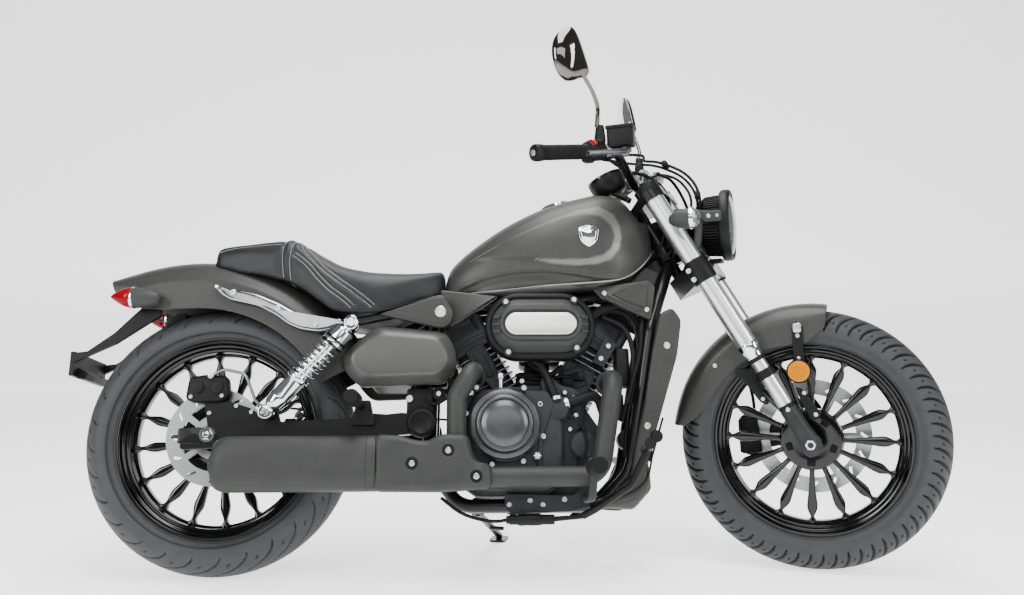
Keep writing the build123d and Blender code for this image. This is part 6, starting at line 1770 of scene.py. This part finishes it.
# ------------------------------------------------------------------ front end
@dataclass
class Fork:
    """Fork legs with their tubes and rings, the front brake, the mudguard's stays and the reflectors."""

    leg: tuple[tuple[float, float], ...] = (
        (-27, 0.5), (-27, 12), (-25, 17), (-18, 22), (0, 24), (16, 23.4), (40, 20.6), (88, 20), (94, 19.4),
        (96, 17.6))
    tube_profile: tuple[tuple[float, float], ...] = ((95, 17.4), (240, 17.4))
    collar: tuple[tuple[float, float], ...] = (
        (228, 17.6), (229, 21), (233, 22), (240, 22.6), (246, 25), (256, 27.4), (262, 27.6), (265, 26.6),
        (266, 24.2))
    upper: tuple[tuple[float, float], ...] = ((262, 24), (702, 24))
    cap: tuple[tuple[float, float], ...] = (
        (690, 24.2), (691, 27), (694, 27.6), (712, 27.6), (715, 26.6), (716.5, 24), (716.5, 15), (722, 14.6),
        (724, 13), (724, 0.5))
    band: tuple[tuple[float, float], ...] = (
        (440, 24.2), (441, 28.6), (444, 30), (492, 30), (496, 29), (498, 26), (499, 24.2))

    def turned(self, profile: Sequence[Sequence[float]], sides: int = 64) -> Shell:
        """Profile turned about the right leg, distances above the front axle."""
        return lathe(profile, on_leg(0, -1), STANCE.up, sides)

    def build(self, shop: Workshop) -> None:
        """Makes the fork pieces."""
        x, _, z = FRONT_AXLE
        lug = rod((x, -84, z), (x, -116, z), 25, 5, 48)
        boss = rod((x, -114, z), (x, -117, z), 17, 1.2, 40)
        shop.piece("fork_lower_legs", both(joined([self.turned(self.leg), lug, boss])), "engine_grey",
                   Body.STEERING, replaces=["fork_legs"])
        shop.piece("fork_tubes", both(self.turned(self.tube_profile) + self.turned(self.upper)), "fork_tube",
                   Body.STEERING)
        shop.piece("fork_collars", both(self.turned(self.collar)), "chrome", Body.STEERING)
        seal = [(219, 17.5), (220, 21), (223, 22.4), (228, 22.4), (230, 21)]
        gaiter = [(94, 17.5), (95, 20.4), (99, 20.8), (103, 20.4), (104, 17.5)]
        clamp_edge = joined([self.turned(rows) for rows in (self.cap, self.band, gaiter, seal)])
        shop.piece("fork_rings", both(clamp_edge), "moulded_black", Body.STEERING)
        behind = [on_leg(at, -1) + STANCE.ahead * -20 for at in (456, 480)]
        pinch = [rod(spot + (0, -24, 0), spot + (0, -31, 0), 6, 1) for spot in behind]
        guard_screws = [bolt((x, -71.5, z), RIGHT, 5.5, 3.4) for x, z in ((1387, 576), (1191, 488))]
        stay_screws = [bolt((x, -83, z), RIGHT, 5, 4) for x, z in ((1391, 420), (1414, 370), (1299, 408))]
        bolts = [*guard_screws, *stay_screws,
                 lathe([(115, 13), (122, 13), (124, 11.5), (124, 7.5), (120, 7)], FRONT_AXLE, RIGHT, 6),
                 bolt(on_leg(92, -1) + (0, -19, 0), RIGHT, 5, 5), *pinch]
        shop.piece("fork_bolts", both(joined(bolts)), "bolt_steel", Body.STEERING)
        stay = rounded([(1300, 420), (1314, 402), (1308, 392), (1292, 400), (1256, 452), (1236, 468),
                        (1244, 482), (1270, 478), (1298, 496), (1306, 482), (1282, 458)], 6)
        shelf = rounded([(1372, 434), (1386, 430), (1426, 372), (1420, 360), (1404, 356), (1386, 392)], 5)
        hold = [side_plate(stay, -72, -82, 2), side_plate(shelf, -74, -84, 2),
                lathe([(176, 20), (177, 22.6), (196, 22.6), (197, 20)], on_leg(0, -1), STANCE.up, 48)]
        shop.piece("mudguard_stays", both(joined(hold)), "moulded_black", Body.STEERING)
        self.brake(shop)
        self.reflector(shop)

    @staticmethod
    def brake(shop: Workshop) -> None:
        """Two-piston caliper on the left leg, its bridge, pins and hose union."""
        outer = [(1229, 262), (1226, 352), (1252, 360), (1284, 356), (1292, 308), (1288, 262), (1258, 252)]
        body = side_plate(rounded(outer, 12), 66, 92, 6)
        lobes = [rod((1256, 88, z), (1256, 99, z), 19, 5) for z in (284, 330)]
        inner = side_plate(rounded([(1232, 262), (1229, 350), (1272, 352), (1282, 266)], 8), 44, 54, 3)
        bridge = side_plate(rounded([(1228, 264), (1226, 348), (1250, 350), (1254, 264)], 5), 48, 74, 2)
        arm = side_plate(rounded([(1276, 346), (1384, 326), (1384, 290), (1276, 272), (1284, 308)], 8),
                         66, 80, 3)
        shop.piece("front_caliper_casting", joined([body, *lobes, inner, bridge, arm]), "moulded_black",
                   Body.STEERING, replaces=["front_caliper"])
        pins = joined([bolt((1276, 90, z), (0, 1, 0), 6, 6) for z in (276, 340)]
                      + [rod((1252, 92, 352), (1252, 101, 352), 6, 1)])
        shop.piece("front_caliper_pins", pins, "bolt_steel", Body.STEERING)

    @staticmethod
    def reflector(shop: Workshop) -> None:
        """Round faceted side reflectors on black brackets with a bright clip."""
        centre = (1382, 0, 470)
        lens = lathe([(84, 24.6), (88, 24.6), (89.6, 23.4), (90.6, 12), (90.8, 0.5)], centre, RIGHT, 48)
        comb = [(7.6 * (i + 0.5 * (j % 2)), 6.6 * j) for j in range(-3, 4) for i in range(-3, 4)]
        cells = [(centre[0] + x, centre[2] + z) for x, z in comb if math.hypot(x, z) < 19.5]
        facets = joined(rod((x, -90.2, z), (x, -92.0, z), 3.7, 1.4, 6) for x, z in cells)
        shop.piece("reflector_lenses", both(lens + facets), "amber_lens", Body.STEERING,
                   replaces=["reflectors"])
        ring = lathe([(78, 27.4), (87, 27.6), (89, 26.4), (89, 24.4), (80, 24)], centre, RIGHT, 48)
        strap = side_plate(rounded([(1372, 486), (1371, 574), (1395, 574), (1394, 486)], 5), -73, -79, 1.5)
        shop.piece("reflector_brackets", both(ring + strap), "moulded_black", Body.STEERING)
        clip = side_plate(rounded([(1374, 560), (1374, 580), (1392, 580), (1392, 560)], 4), -78, -81, 1)
        rivet = joined([bolt((1383, -80, 552), RIGHT, 5, 3), bolt((1383, -78, 500), RIGHT, 4, 2.4)])
        shop.piece("reflector_clips", both(clip + rivet), "bolt_steel", Body.STEERING)


@dataclass
class Lights:
    """Finned headlamp with its bezel, reflector and lens, and the bullet indicators."""

    centre: Point = (1230.03, 0.0, 829.01)
    fins: int = 64
    drum_r: float = 70.0
    fin: float = 7.0

    def drum(self) -> Shell:
        """Bucket whose radius rises in straight fins along it: a surface r(x, a) = drum + envelope * wave."""
        rows = np.array([-86, -85.5, -84, -76, -66, -58, -55, -52, -49, -46, -36, -26, -16, -13.5, -12, -11])
        base = np.interp(rows, [-86, -85.5, -84, -76, -66, -56, -11], [0.5, 28, 32, 48, 60, 66, self.drum_r])
        envelope = np.interp(rows, [-60, -50, -13, -11.5], [0, 1, 1, 0]) * self.fin
        angle = np.linspace(0, TAU, self.fins * 8, endpoint=False)
        wave = smooth(0.5 + 1.5 * np.cos(angle * self.fins))
        radius = base[:, None] + envelope[:, None] * wave[None, :]
        points = np.stack([self.centre[0] + rows[:, None] + 0 * radius, radius * np.cos(angle),
                           self.centre[2] + radius * np.sin(angle)], -1)
        return grid(points, loop_cols=True, cap_start=True, cap_end=True)

    def headlamp(self, shop: Workshop) -> None:
        """Makes the headlamp and its carriers."""
        centre, ahead = self.centre, (1, 0, 0)
        shop.piece("headlamp_drum", self.drum(), "moulded_black", Body.STEERING, replaces=["headlamp_shell"],
                   sharp=30)
        bezel = lathe([(-13, 70), (-14, 80), (-12.5, 84.6), (-9, 87.4), (-4, 88.2), (4, 88.2), (9, 87.4),
                       (12.4, 84.6), (13, 81), (11, 79.4), (4, 78.6), (-4, 76), (-6, 70)], centre, ahead, 128,
                      closed=True)
        shop.piece("headlamp_bezel", bezel, "moulded_black", Body.STEERING)
        seal = lathe([(4, 78.8), (10, 79.3), (10.6, 77.4), (5, 76.6)], centre, ahead, 128, closed=True)
        shop.piece("headlamp_seal", seal, "moulded_black", Body.STEERING)
        bowl = lathe([(3, 76.6), (-4, 70), (-18, 62), (-34, 46), (-44, 28), (-48, 10), (-48, 0.5), (-52, 0.5),
                      (-52, 30), (-36, 54), (-14, 69), (-6, 75.8)], centre, ahead, 96)
        shop.piece("headlamp_reflector", bowl, "lamp_reflector", Body.STEERING)
        unit = joined([lathe([(-46, 22), (-12, 24), (-9, 22.6), (-8, 19), (-11, 8), (-11, 0.5)],
                             centre, ahead, 48),
                       box((centre[0] - 16, 0, centre[2]), (8, 118, 9), 3)])
        shop.piece("headlamp_unit", unit, "radiator_black", Body.STEERING)
        lens = lathe([(3, 0.5), (3, 76.4), (6, 77), (9, 75.6), (13, 66), (17, 50), (20, 32), (21.6, 14),
                      (22, 0.5)], centre, ahead, 96)
        shop.piece("headlamp_dome", lens, "clear_lens", Body.STEERING, replaces=["headlamp_lens"])
        arm = swept(curve([(1096, -72, 850), (1120, -72, 858), (1160, -76, 854), (1200, -82, 846)], 20),
                    superellipse(7, 13, 3.5, 28), (0, 0, 1), np.linspace(1.0, 0.86, 20))
        block = plate(slab(46, 27, 8, (1204, 845)), 74, 90, 4)
        cowl = swept(curve([(1112, -76, 770), (1138, -72, 758), (1160, -62, 776), (1168, -56, 812),
                            (1172, -52, 846)],
                           32), superellipse(12, 26, 3, 32), (0, 1, 0.2), np.linspace(0.55, 1.0, 32))
        shop.piece("headlamp_carriers", both(joined([arm, block, cowl])), "moulded_grey", Body.STEERING)
        foot = joined([box((1196, 0, 742), (40, 60, 10), 4), rod((1168, -70, 742), (1168, 70, 742), 9, 2)])
        shop.piece("headlamp_foot", foot, "moulded_black", Body.STEERING)
        heads = joined([bolt((1196, -90, 845), RIGHT, 5, 3), bolt((1216, -90, 845), RIGHT, 4, 2.4)])
        shop.piece("headlamp_bolts", both(heads), "bolt_steel", Body.STEERING)

    def indicators(self, shop: Workshop) -> None:
        """Makes the bullet indicators: a grey body, a bright rim and a clear front."""
        centre, ahead = on_leg(595, -1) + (40.3, -69, 9.6), (1, 0, 0)
        body = lathe([(-36, 0.5), (-35.6, 5), (-33, 10), (-26, 15.6), (-14, 20.4), (0, 23), (12, 24),
                      (16, 24)], centre, ahead, 48)
        stalk = tube([on_leg(595, -1) + (20, -6, 4), on_leg(595, -1) + (34, -36, 8), centre + (-6, 12, 0)],
                     [9, 7.5, 8], 20, 20)
        shop.piece("indicator_bodies", both(body + stalk), "moulded_grey", Body.STEERING,
                   replaces=["front_indicators"])
        rim = lathe([(13, 24.2), (14, 26), (20, 26.2), (23, 25.2), (23.4, 22.6), (18, 22)], centre, ahead, 48)
        shop.piece("indicator_rims", both(rim), "chrome", Body.STEERING)
        lens = lathe([(18, 22.4), (24, 22.4), (29, 20.6), (34, 15), (37, 7), (37.5, 0.5)], centre, ahead, 48)
        shop.piece("indicator_lenses", both(lens), "clear_lens", Body.STEERING,
                   replaces=["front_indicator_lenses"])

    def build(self, shop: Workshop) -> None:
        """Makes every lamp of the front end."""
        self.headlamp(shop)
        self.indicators(shop)


@dataclass
class Controls:
    """Grips, switches, levers, reservoir, mirrors, instrument and cables on the handlebar."""

    corner: Point = (1000.1, -180.0, 1006.0)
    end: Point = (872.1, -372.0, 982.0)
    seat: Point = (1018.1, 0.0, 932.99)
    mirror_at: Point = (925.1, -290.0, 1222.0)
    kite: tuple[tuple[float, float], ...] = (
        (52, -42), (24, -58), (-10, -66), (-34, -48), (-46, -10), (-40, 26), (-16, 54), (4, 62), (22, 48),
        (40, 6))
    left_drop: float = 30.0

    @property
    def along(self) -> Array:
        """Direction outwards along the bar's right end."""
        run = np.subtract(self.end, self.corner)
        return run / np.linalg.norm(run)

    def on_grip(self, distance: float, ahead: float = 0.0, above: float = 0.0) -> Array:
        """Point beside the right end of the bar, distance mm from its inner corner."""
        return np.asarray(self.corner) + self.along * distance + (ahead, 0, above)

    def pair(self, shell: Shell) -> Shell:
        """A right mirror's piece and its left twin, which sinks by left_drop from the stem's foot up."""
        drop = self.left_drop

        def lowered(points: Array) -> Array:
            return points - np.column_stack([0 * points[:, :2], drop * smooth((points[:, 2] - 1056) / 60)])

        return shell + shell.mirrored().mapped(lowered)

    def grips(self, shop: Workshop) -> None:
        """Rubber grips with flanges and shallow rings, and weights with a bright bolt at the ends."""
        body = [(90, 11), (90, 22), (92, 23.6), (95, 23), (97, 19), (104, 17.6)]
        for at in np.arange(112, 222, 6.0):
            body += [(at, 17.3), (at + 0.7, 16.4), (at + 2.2, 16.4), (at + 3.0, 17.3)]
        body += [(224, 17.6), (227, 18.6), (231, 18.4), (232, 16)]
        shop.piece("grip_sleeves", both(lathe(body, self.corner, self.along, 56)), "grip_rubber",
                   Body.STEERING, replaces=["grips"])
        weight = lathe([(231, 14), (232, 18.6), (235, 19.6), (246, 19.6), (250, 18.4), (251.5, 15),
                        (251.5, 6), (249, 5)], self.corner, self.along, 48)
        shop.piece("bar_weights", both(weight), "moulded_black", Body.STEERING)
        head = lathe([(249, 7), (254, 7), (255.4, 5.4), (255.4, 0.5)], self.corner, self.along, 16)
        shop.piece("bar_bolts", both(head), "bolt_steel", Body.STEERING)

    def switches(self, shop: Workshop) -> None:
        """Switch housings, perches, levers and the fluid reservoir."""
        housing = lathe([(45, 12), (45, 19), (47.5, 21.5), (64, 22), (65, 21.2), (66.5, 22), (86, 22),
                         (89, 20), (89, 12)], self.corner, self.along, 48)
        pods = [box(self.on_grip(70, -16, -15), (26, 34, 18), 5),
                box(self.on_grip(62, 4, 20), (28, 30, 12), 4)]
        boot = lathe([(0, 12), (2, 13.4), (10, 13.6), (28, 11.4), (40, 9.6), (43, 8.4), (43.5, 5)],
                     self.on_grip(56, 4, 18), (0.03, 0, 1), 32)
        shop.piece("switch_housings", both(joined([housing, *pods, boot])), "moulded_black", Body.STEERING,
                   replaces=["hand_controls"])
        ahead = np.array([1.0, 0, 0]) - self.along * self.along[0]
        ahead /= np.linalg.norm(ahead)
        lift = np.cross(ahead, self.along)
        lift *= np.sign(lift[2])
        angle = np.linspace(0.35, 2.5, 18)[:, None]
        arc = self.on_grip(80) + 20.5 * (np.sin(angle) * lift - np.cos(angle) * ahead)
        red = swept(arc, superellipse(8, 4.2, 3, 20), self.along)
        shop.piece("stop_switch", red, "red_switch", Body.STEERING)
        clamp = lathe([(10, 12), (10, 16), (12, 18), (40, 18), (43, 16), (43, 12)], self.corner, self.along,
                      40)
        perch = joined([clamp, box(self.on_grip(28, 22, -4), (38, 24, 18), 5),
                        rod(self.on_grip(26, 40, -16), self.on_grip(26, 40, 10), 10, 2)])
        blade = swept(curve([self.on_grip(16, 40, -2), self.on_grip(44, 56, -4), self.on_grip(84, 70, -6),
                             self.on_grip(126, 72, -8), self.on_grip(166, 68, -9), self.on_grip(178, 67, -9)],
                            48),
                      superellipse(10.5, 6.0, 2.6, 24), (0, 0, 1),
                      np.interp(np.linspace(0, 1, 48), [0, 0.1, 0.5, 0.9, 0.95, 1],
                                [0.8, 1.1, 1.0, 0.8, 1.0, 0.7]))
        shop.piece("levers", both(joined([perch, blade])), "peg_steel", Body.STEERING)
        spot = np.array([1018.0, -201.0, 1032.0])
        tank = joined([box(spot, (62, 42, 46), 5), box(spot + (0, 0, 24), (66, 46, 9), 3),
                       rod(spot + (-6, 6, -22), self.on_grip(26, 8, 8), 11, 2)])
        shop.piece("fluid_reservoir", tank, "moulded_black", Body.STEERING)
        heads = joined([bolt(spot + (x, y, 28), (0, 0, 1), 3.4, 2.4) for x in (-26, 26) for y in (-16, 16)])
        shop.piece("reservoir_screws", heads, "bolt_steel", Body.STEERING)

    def mirrors(self, shop: Workshop) -> None:
        """Teardrop mirrors: a domed bright back, its rim, the glass, and a curved stem with a ball joint."""
        across = np.array([0.64, 0.77, 0.0]) / math.hypot(0.77, 0.64)
        outline = curve(self.kite, 72, loop=True)
        back = stacked(outline, [(1.5, -3), (0, -1.5), (0, 2), (1, 5), (3.5, 9), (8, 13.5), (14, 17.5)],
                       self.mirror_at, across, (0, 0, 1), crown=7.0)
        # The backs are chrome whose colour is darkened as a painted reflection.
        shop.piece("mirror_backs", self.pair(back), "mirror_chrome", Body.STEERING,
                   replaces=["mirrors"], sharp=70)
        glass = stacked(inset(outline, 3.0), [(1.4, -4.4), (0, -3.4), (0, -2)], self.mirror_at, across,
                        (0, 0, 1))
        shop.piece("mirror_glasses", self.pair(glass), "mirror_glass", Body.STEERING)
        stem = tube([(968, -230, 1056), (972, -235, 1080), (974, -240, 1106), (966, -252, 1138),
                     (955, -266, 1164), (946, -276, 1182)], [5.6, 5.2, 4.8, 4.8], 48, 18)
        joint = joined([lathe([(-12, 5), (-10, 8), (-2, 9.4), (6, 8.4), (12, 6)], (944, -277, 1186),
                              (-0.5, -0.4, 0.8), 28), rod((952, -268, 1170), (949, -272, 1177), 7.4, 1.5)])
        # Painted reflection: the stems use the same darkened chrome.
        shop.piece("mirror_stems", self.pair(stem + joint), "mirror_chrome", Body.STEERING)

    def instrument(self, shop: Workshop) -> None:
        """Round instrument: a bowl, a bright bezel and a dark glass."""
        centre, aim = np.asarray(self.seat) + (-84, 0, 26), (-0.42, 0, 0.91)
        bowl = lathe([(-36, 0.5), (-36, 20), (-32, 34), (-22, 43), (-6, 47), (10, 48), (14, 47)],
                     centre, aim, 72)
        stay = joined([rod(np.asarray(self.seat) + (-30, y, -20), centre + (10, y * 0.8, -22), 8, 2)
                       for y in (-22, 22)])
        shop.piece("instrument_bowl", bowl + stay, "moulded_black", Body.STEERING, replaces=["instrument"])
        bezel = lathe([(12, 47.4), (13, 49), (18, 48.6), (19.4, 46), (18, 43), (14, 43)], centre, aim, 72,
                      closed=True)
        shop.piece("instrument_bezel", bezel, "wheel_black", Body.STEERING)
        glass = lathe([(11, 0.5), (11, 43), (15, 43), (16.6, 30), (17.2, 0.5)], centre, aim, 64)
        shop.piece("instrument_glass", glass, "wheel_black", Body.STEERING)

    def cables(self, shop: Workshop) -> None:
        """Paired cables from the controls, arching ahead of the bars and down behind the headlamp."""
        arch = [(1042, -52, 1000), (1070, -56, 994), (1100, -60, 982), (1140, -62, 958), (1166, -62, 924),
                (1174, -58, 884), (1158, -46, 846), (1120, -40, 800), (1084, -40, 760)]
        start = [self.on_grip(30, 40, -12), np.array([1050, -120, 1000])]
        cables = [tube([*start, *arch], 3.6, 110, 10),
                  tube([self.on_grip(52, 6, -20), np.array([1020, -120, 984]),
                        *[np.asarray(p) + (-8, 9, -7) for p in arch]], 3.4, 110, 10),
                  tube([self.on_grip(40, 10, -20), (1010, -120, 968), (1046, -60, 960), (1082, -40, 930),
                        (1096, -34, 880), (1080, -30, 820), (1060, -28, 760)], 4.2, 90, 10),
                  tube([(1056, 30, 980), (1090, 60, 960), (1118, 92, 900), (1124, 116, 840), (1112, 130, 780),
                        (1150, 128, 700), (1206, 122, 560), (1250, 116, 440), (1262, 104, 372),
                        (1254, 96, 354)], 4.2, 120, 10),
                  tube([(1020, 120, 984), (1060, 90, 985), (1108, 60, 960), (1138, 44, 910), (1128, 36, 850),
                        (1088, 34, 780)], 3.6, 90, 10)]
        shop.piece("control_cables", joined(cables), "hose_rubber", Body.STEERING, replaces=["bar_cables"])
        clip = joined([rod((1170, -70, 904), (1166, -40, 900), 8, 1.5),
                       rod((1092, -66, 988), (1096, -44, 980), 8, 1.5)])
        shop.piece("cable_clips", clip, "moulded_black", Body.STEERING)
        loom = joined([tube([(1076, s * 40, 846), (1092, s * 58, 806), (1104, s * 44, 770),
                             (1092, s * 20, 742)],
                            radius, 40, 10) for s in (-1, 1) for radius in (5, 6)]
                      + [box((1112, 0, 812), (60, 92, 72), 10),
                         rod((1120, -58, 776), (1120, 58, 776), 13, 3)])
        shop.piece("lamp_loom", loom, "hose_rubber", Body.STEERING)

    def build(self, shop: Workshop) -> None:
        """Makes everything on the bars."""
        self.grips(shop)
        self.switches(shop)
        self.mirrors(shop)
        self.instrument(shop)
        self.cables(shop)


@dataclass
class Pegs:
    """Rubber sleeves, screws and small fittings of the foot controls, both sides."""

    def build(self, shop: Workshop) -> None:
        """Makes the sleeves and screws."""
        rib = [(250, 16.4)]
        for at in np.arange(254, 330, 7.0):
            rib += [(at, 18.6), (at + 3.6, 18.6), (at + 4.4, 17.2), (at + 6.2, 17.2)]
        sleeve = lathe(rib + [(334, 18.4), (338, 16), (338, 0.5)], (848, 0, 224), RIGHT, 32)
        pillion = lathe([(194, 14.4), (200, 16.4), (256, 16.4), (264, 14), (264.5, 0.5)], (336, 0, 377),
                        RIGHT, 32)
        shop.piece("peg_rubbers", both(sleeve + pillion), "grip_rubber", Body.CHASSIS)
        heads = screws([(672, 154), (718, 162), (746, 153), (794, 164), (836, 166)], 125, 6, 4)
        shop.piece("peg_screws", both(heads), "bolt_steel", Body.CHASSIS)
        boots = joined([lathe([(0, 12), (4, 13.4), (12, 13.4), (20, 12.4), (28, 13.4), (44, 13), (52, 12),
                               (58, 9), (60, 5)], (690, -134, 121), (1, 0, 0), 28),
                        rod((664, -134, 121), (676, -134, 121), 9, 2)])
        shop.piece("brake_cylinder", boots, "moulded_black", Body.CHASSIS)
        hose = tube([(668, -134, 121), (640, -132, 118), (600, -122, 124), (560, -112, 140),
                     (520, -104, 170)], 4, 40, 10)
        shop.piece("brake_line", hose, "hose_rubber", Body.CHASSIS)


# ------------------------------------------------------------------ stage
@dataclass
class Studio:
    """Pale floor and backdrop, soft lights and the camera, in metres and degrees."""

    eye: Point = (-0.0517, -2.2366, 0.5604)
    yaw: float = -1.6466
    rise: float = 2.187
    roll: float = 0.092
    focal_px: float = 896.2
    width_px: float = 1024.0
    sensor_mm: float = 36.0
    sky_strength: float = 0.22
    lamps: tuple[tuple[str, Point, Point, tuple[float, float], float], ...] = (
        # name, place, target, size, watts
        ("overhead", (0.0, -0.5, 3.4), (0, 0, 0.4), (4.2, 1.5), 240),
        ("front_left", (-3.0, -2.8, 1.9), (0, 0, 0.5), (1.0, 2.2), 120),
        ("key", (0.0, -4.0, 2.35), (0, 0, 0.45), (4.0, 1.1), 55),
        ("front_right", (3.2, -2.4, 2.1), (0.3, 0, 0.5), (0.9, 2.2), 100))

    def camera(self) -> None:
        """Camera on the motorcycle's right, turned by yaw, rise and roll from looking to its left."""
        data = bpy.data.cameras.new("camera")
        data.sensor_width = self.sensor_mm
        data.lens = self.focal_px / self.width_px * self.sensor_mm
        thing = bpy.data.objects.new("camera", data)
        bpy.context.collection.objects.link(thing)
        axes = turn((0, 0, 1), self.yaw) @ turn((1, 0, 0), self.rise) @ turn((0, 1, 0), self.roll)
        columns = np.column_stack([axes[:, 0], axes[:, 2], -axes[:, 1]])
        matrix = Matrix(columns.tolist()).to_4x4()
        matrix.translation = self.eye
        thing.matrix_world = matrix
        bpy.context.scene.camera = thing

    def cove(self) -> None:
        """Floor that curves up into a backdrop: level, then a quarter circle, then upright."""
        near, depth, radius, height, half = -7.0, 7.0, 1.2, 7.5, 9.0
        angle = np.linspace(0, math.pi / 2, 16)
        bend = np.column_stack([depth + radius * np.sin(angle), radius * (1 - np.cos(angle))])
        profile = np.vstack([[(near, 0.0)], bend, [(depth + radius, height)]])
        points = np.stack(np.broadcast_arrays(np.array([[-half, half]]), profile[:, :1], profile[:, 1:]), -1)
        shell = grid(points[:, ::-1])
        mesh = bpy.data.meshes.new("floor")
        mesh.from_pydata(shell.points.tolist(), [], shell.quads.tolist())
        mesh.shade_smooth()
        thing = bpy.data.objects.new("floor", mesh)
        mesh.materials.append(Finish("studio paper", "#ededed", "#ebebeb", roughness=0.9, glow=1.4).build())
        bpy.context.collection.objects.link(thing)

    @staticmethod
    def lamp(name: str, place: Point, target: Point, size: tuple[float, float], watts: float) -> None:
        """Rectangular soft light aimed at a point."""
        data = bpy.data.lights.new(name, "AREA")
        data.shape = "RECTANGLE"
        data.size, data.size_y = size
        data.energy = watts
        thing = bpy.data.objects.new(name, data)
        bpy.context.collection.objects.link(thing)
        aim = np.asarray(target, float) - np.asarray(place, float)
        matrix = Matrix(np.column_stack(frame_of(-aim)).tolist()).to_4x4()
        matrix.translation = place
        thing.matrix_world = matrix

    def build(self) -> None:
        """Makes the stage."""
        self.camera()
        self.cove()
        for lamp in self.lamps:
            self.lamp(*lamp)
        world = bpy.data.worlds.new("studio")
        world.use_nodes = True
        sky = world.node_tree.nodes["Background"]
        sky.inputs["Color"].default_value = linear("#f2f4f6")
        sky.inputs["Strength"].default_value = self.sky_strength
        bpy.context.scene.world = world


RECOATS: dict[str, str] = {"rider_pegs": "engine_grey", "pillion_pegs": "moulded_black",
                           "handlebar": "wheel_black"}


def main() -> None:
    """Builds every sub-assembly in order."""
    logging.basicConfig(level=logging.INFO, format="%(message)s")
    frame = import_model()
    shop = Workshop(frame, FINISHES)
    slots = {part["node"]: part["material_slot"] for part in frame["record"]["subparts"]}
    for node, slot in slots.items():
        shop.recoat(node, RECOATS.get(node, slot))
    Studio().build()
    for assembly in (REAR, FRONT, Tank(), Seat(), Engine(), Exhaust(), Panels(), RearEnd(),
                     Fork(), Lights(), Controls(), Pegs(), REAR_GUARD, FRONT_GUARD):
        assembly.build(shop)


if __name__ == "__main__":
    main()
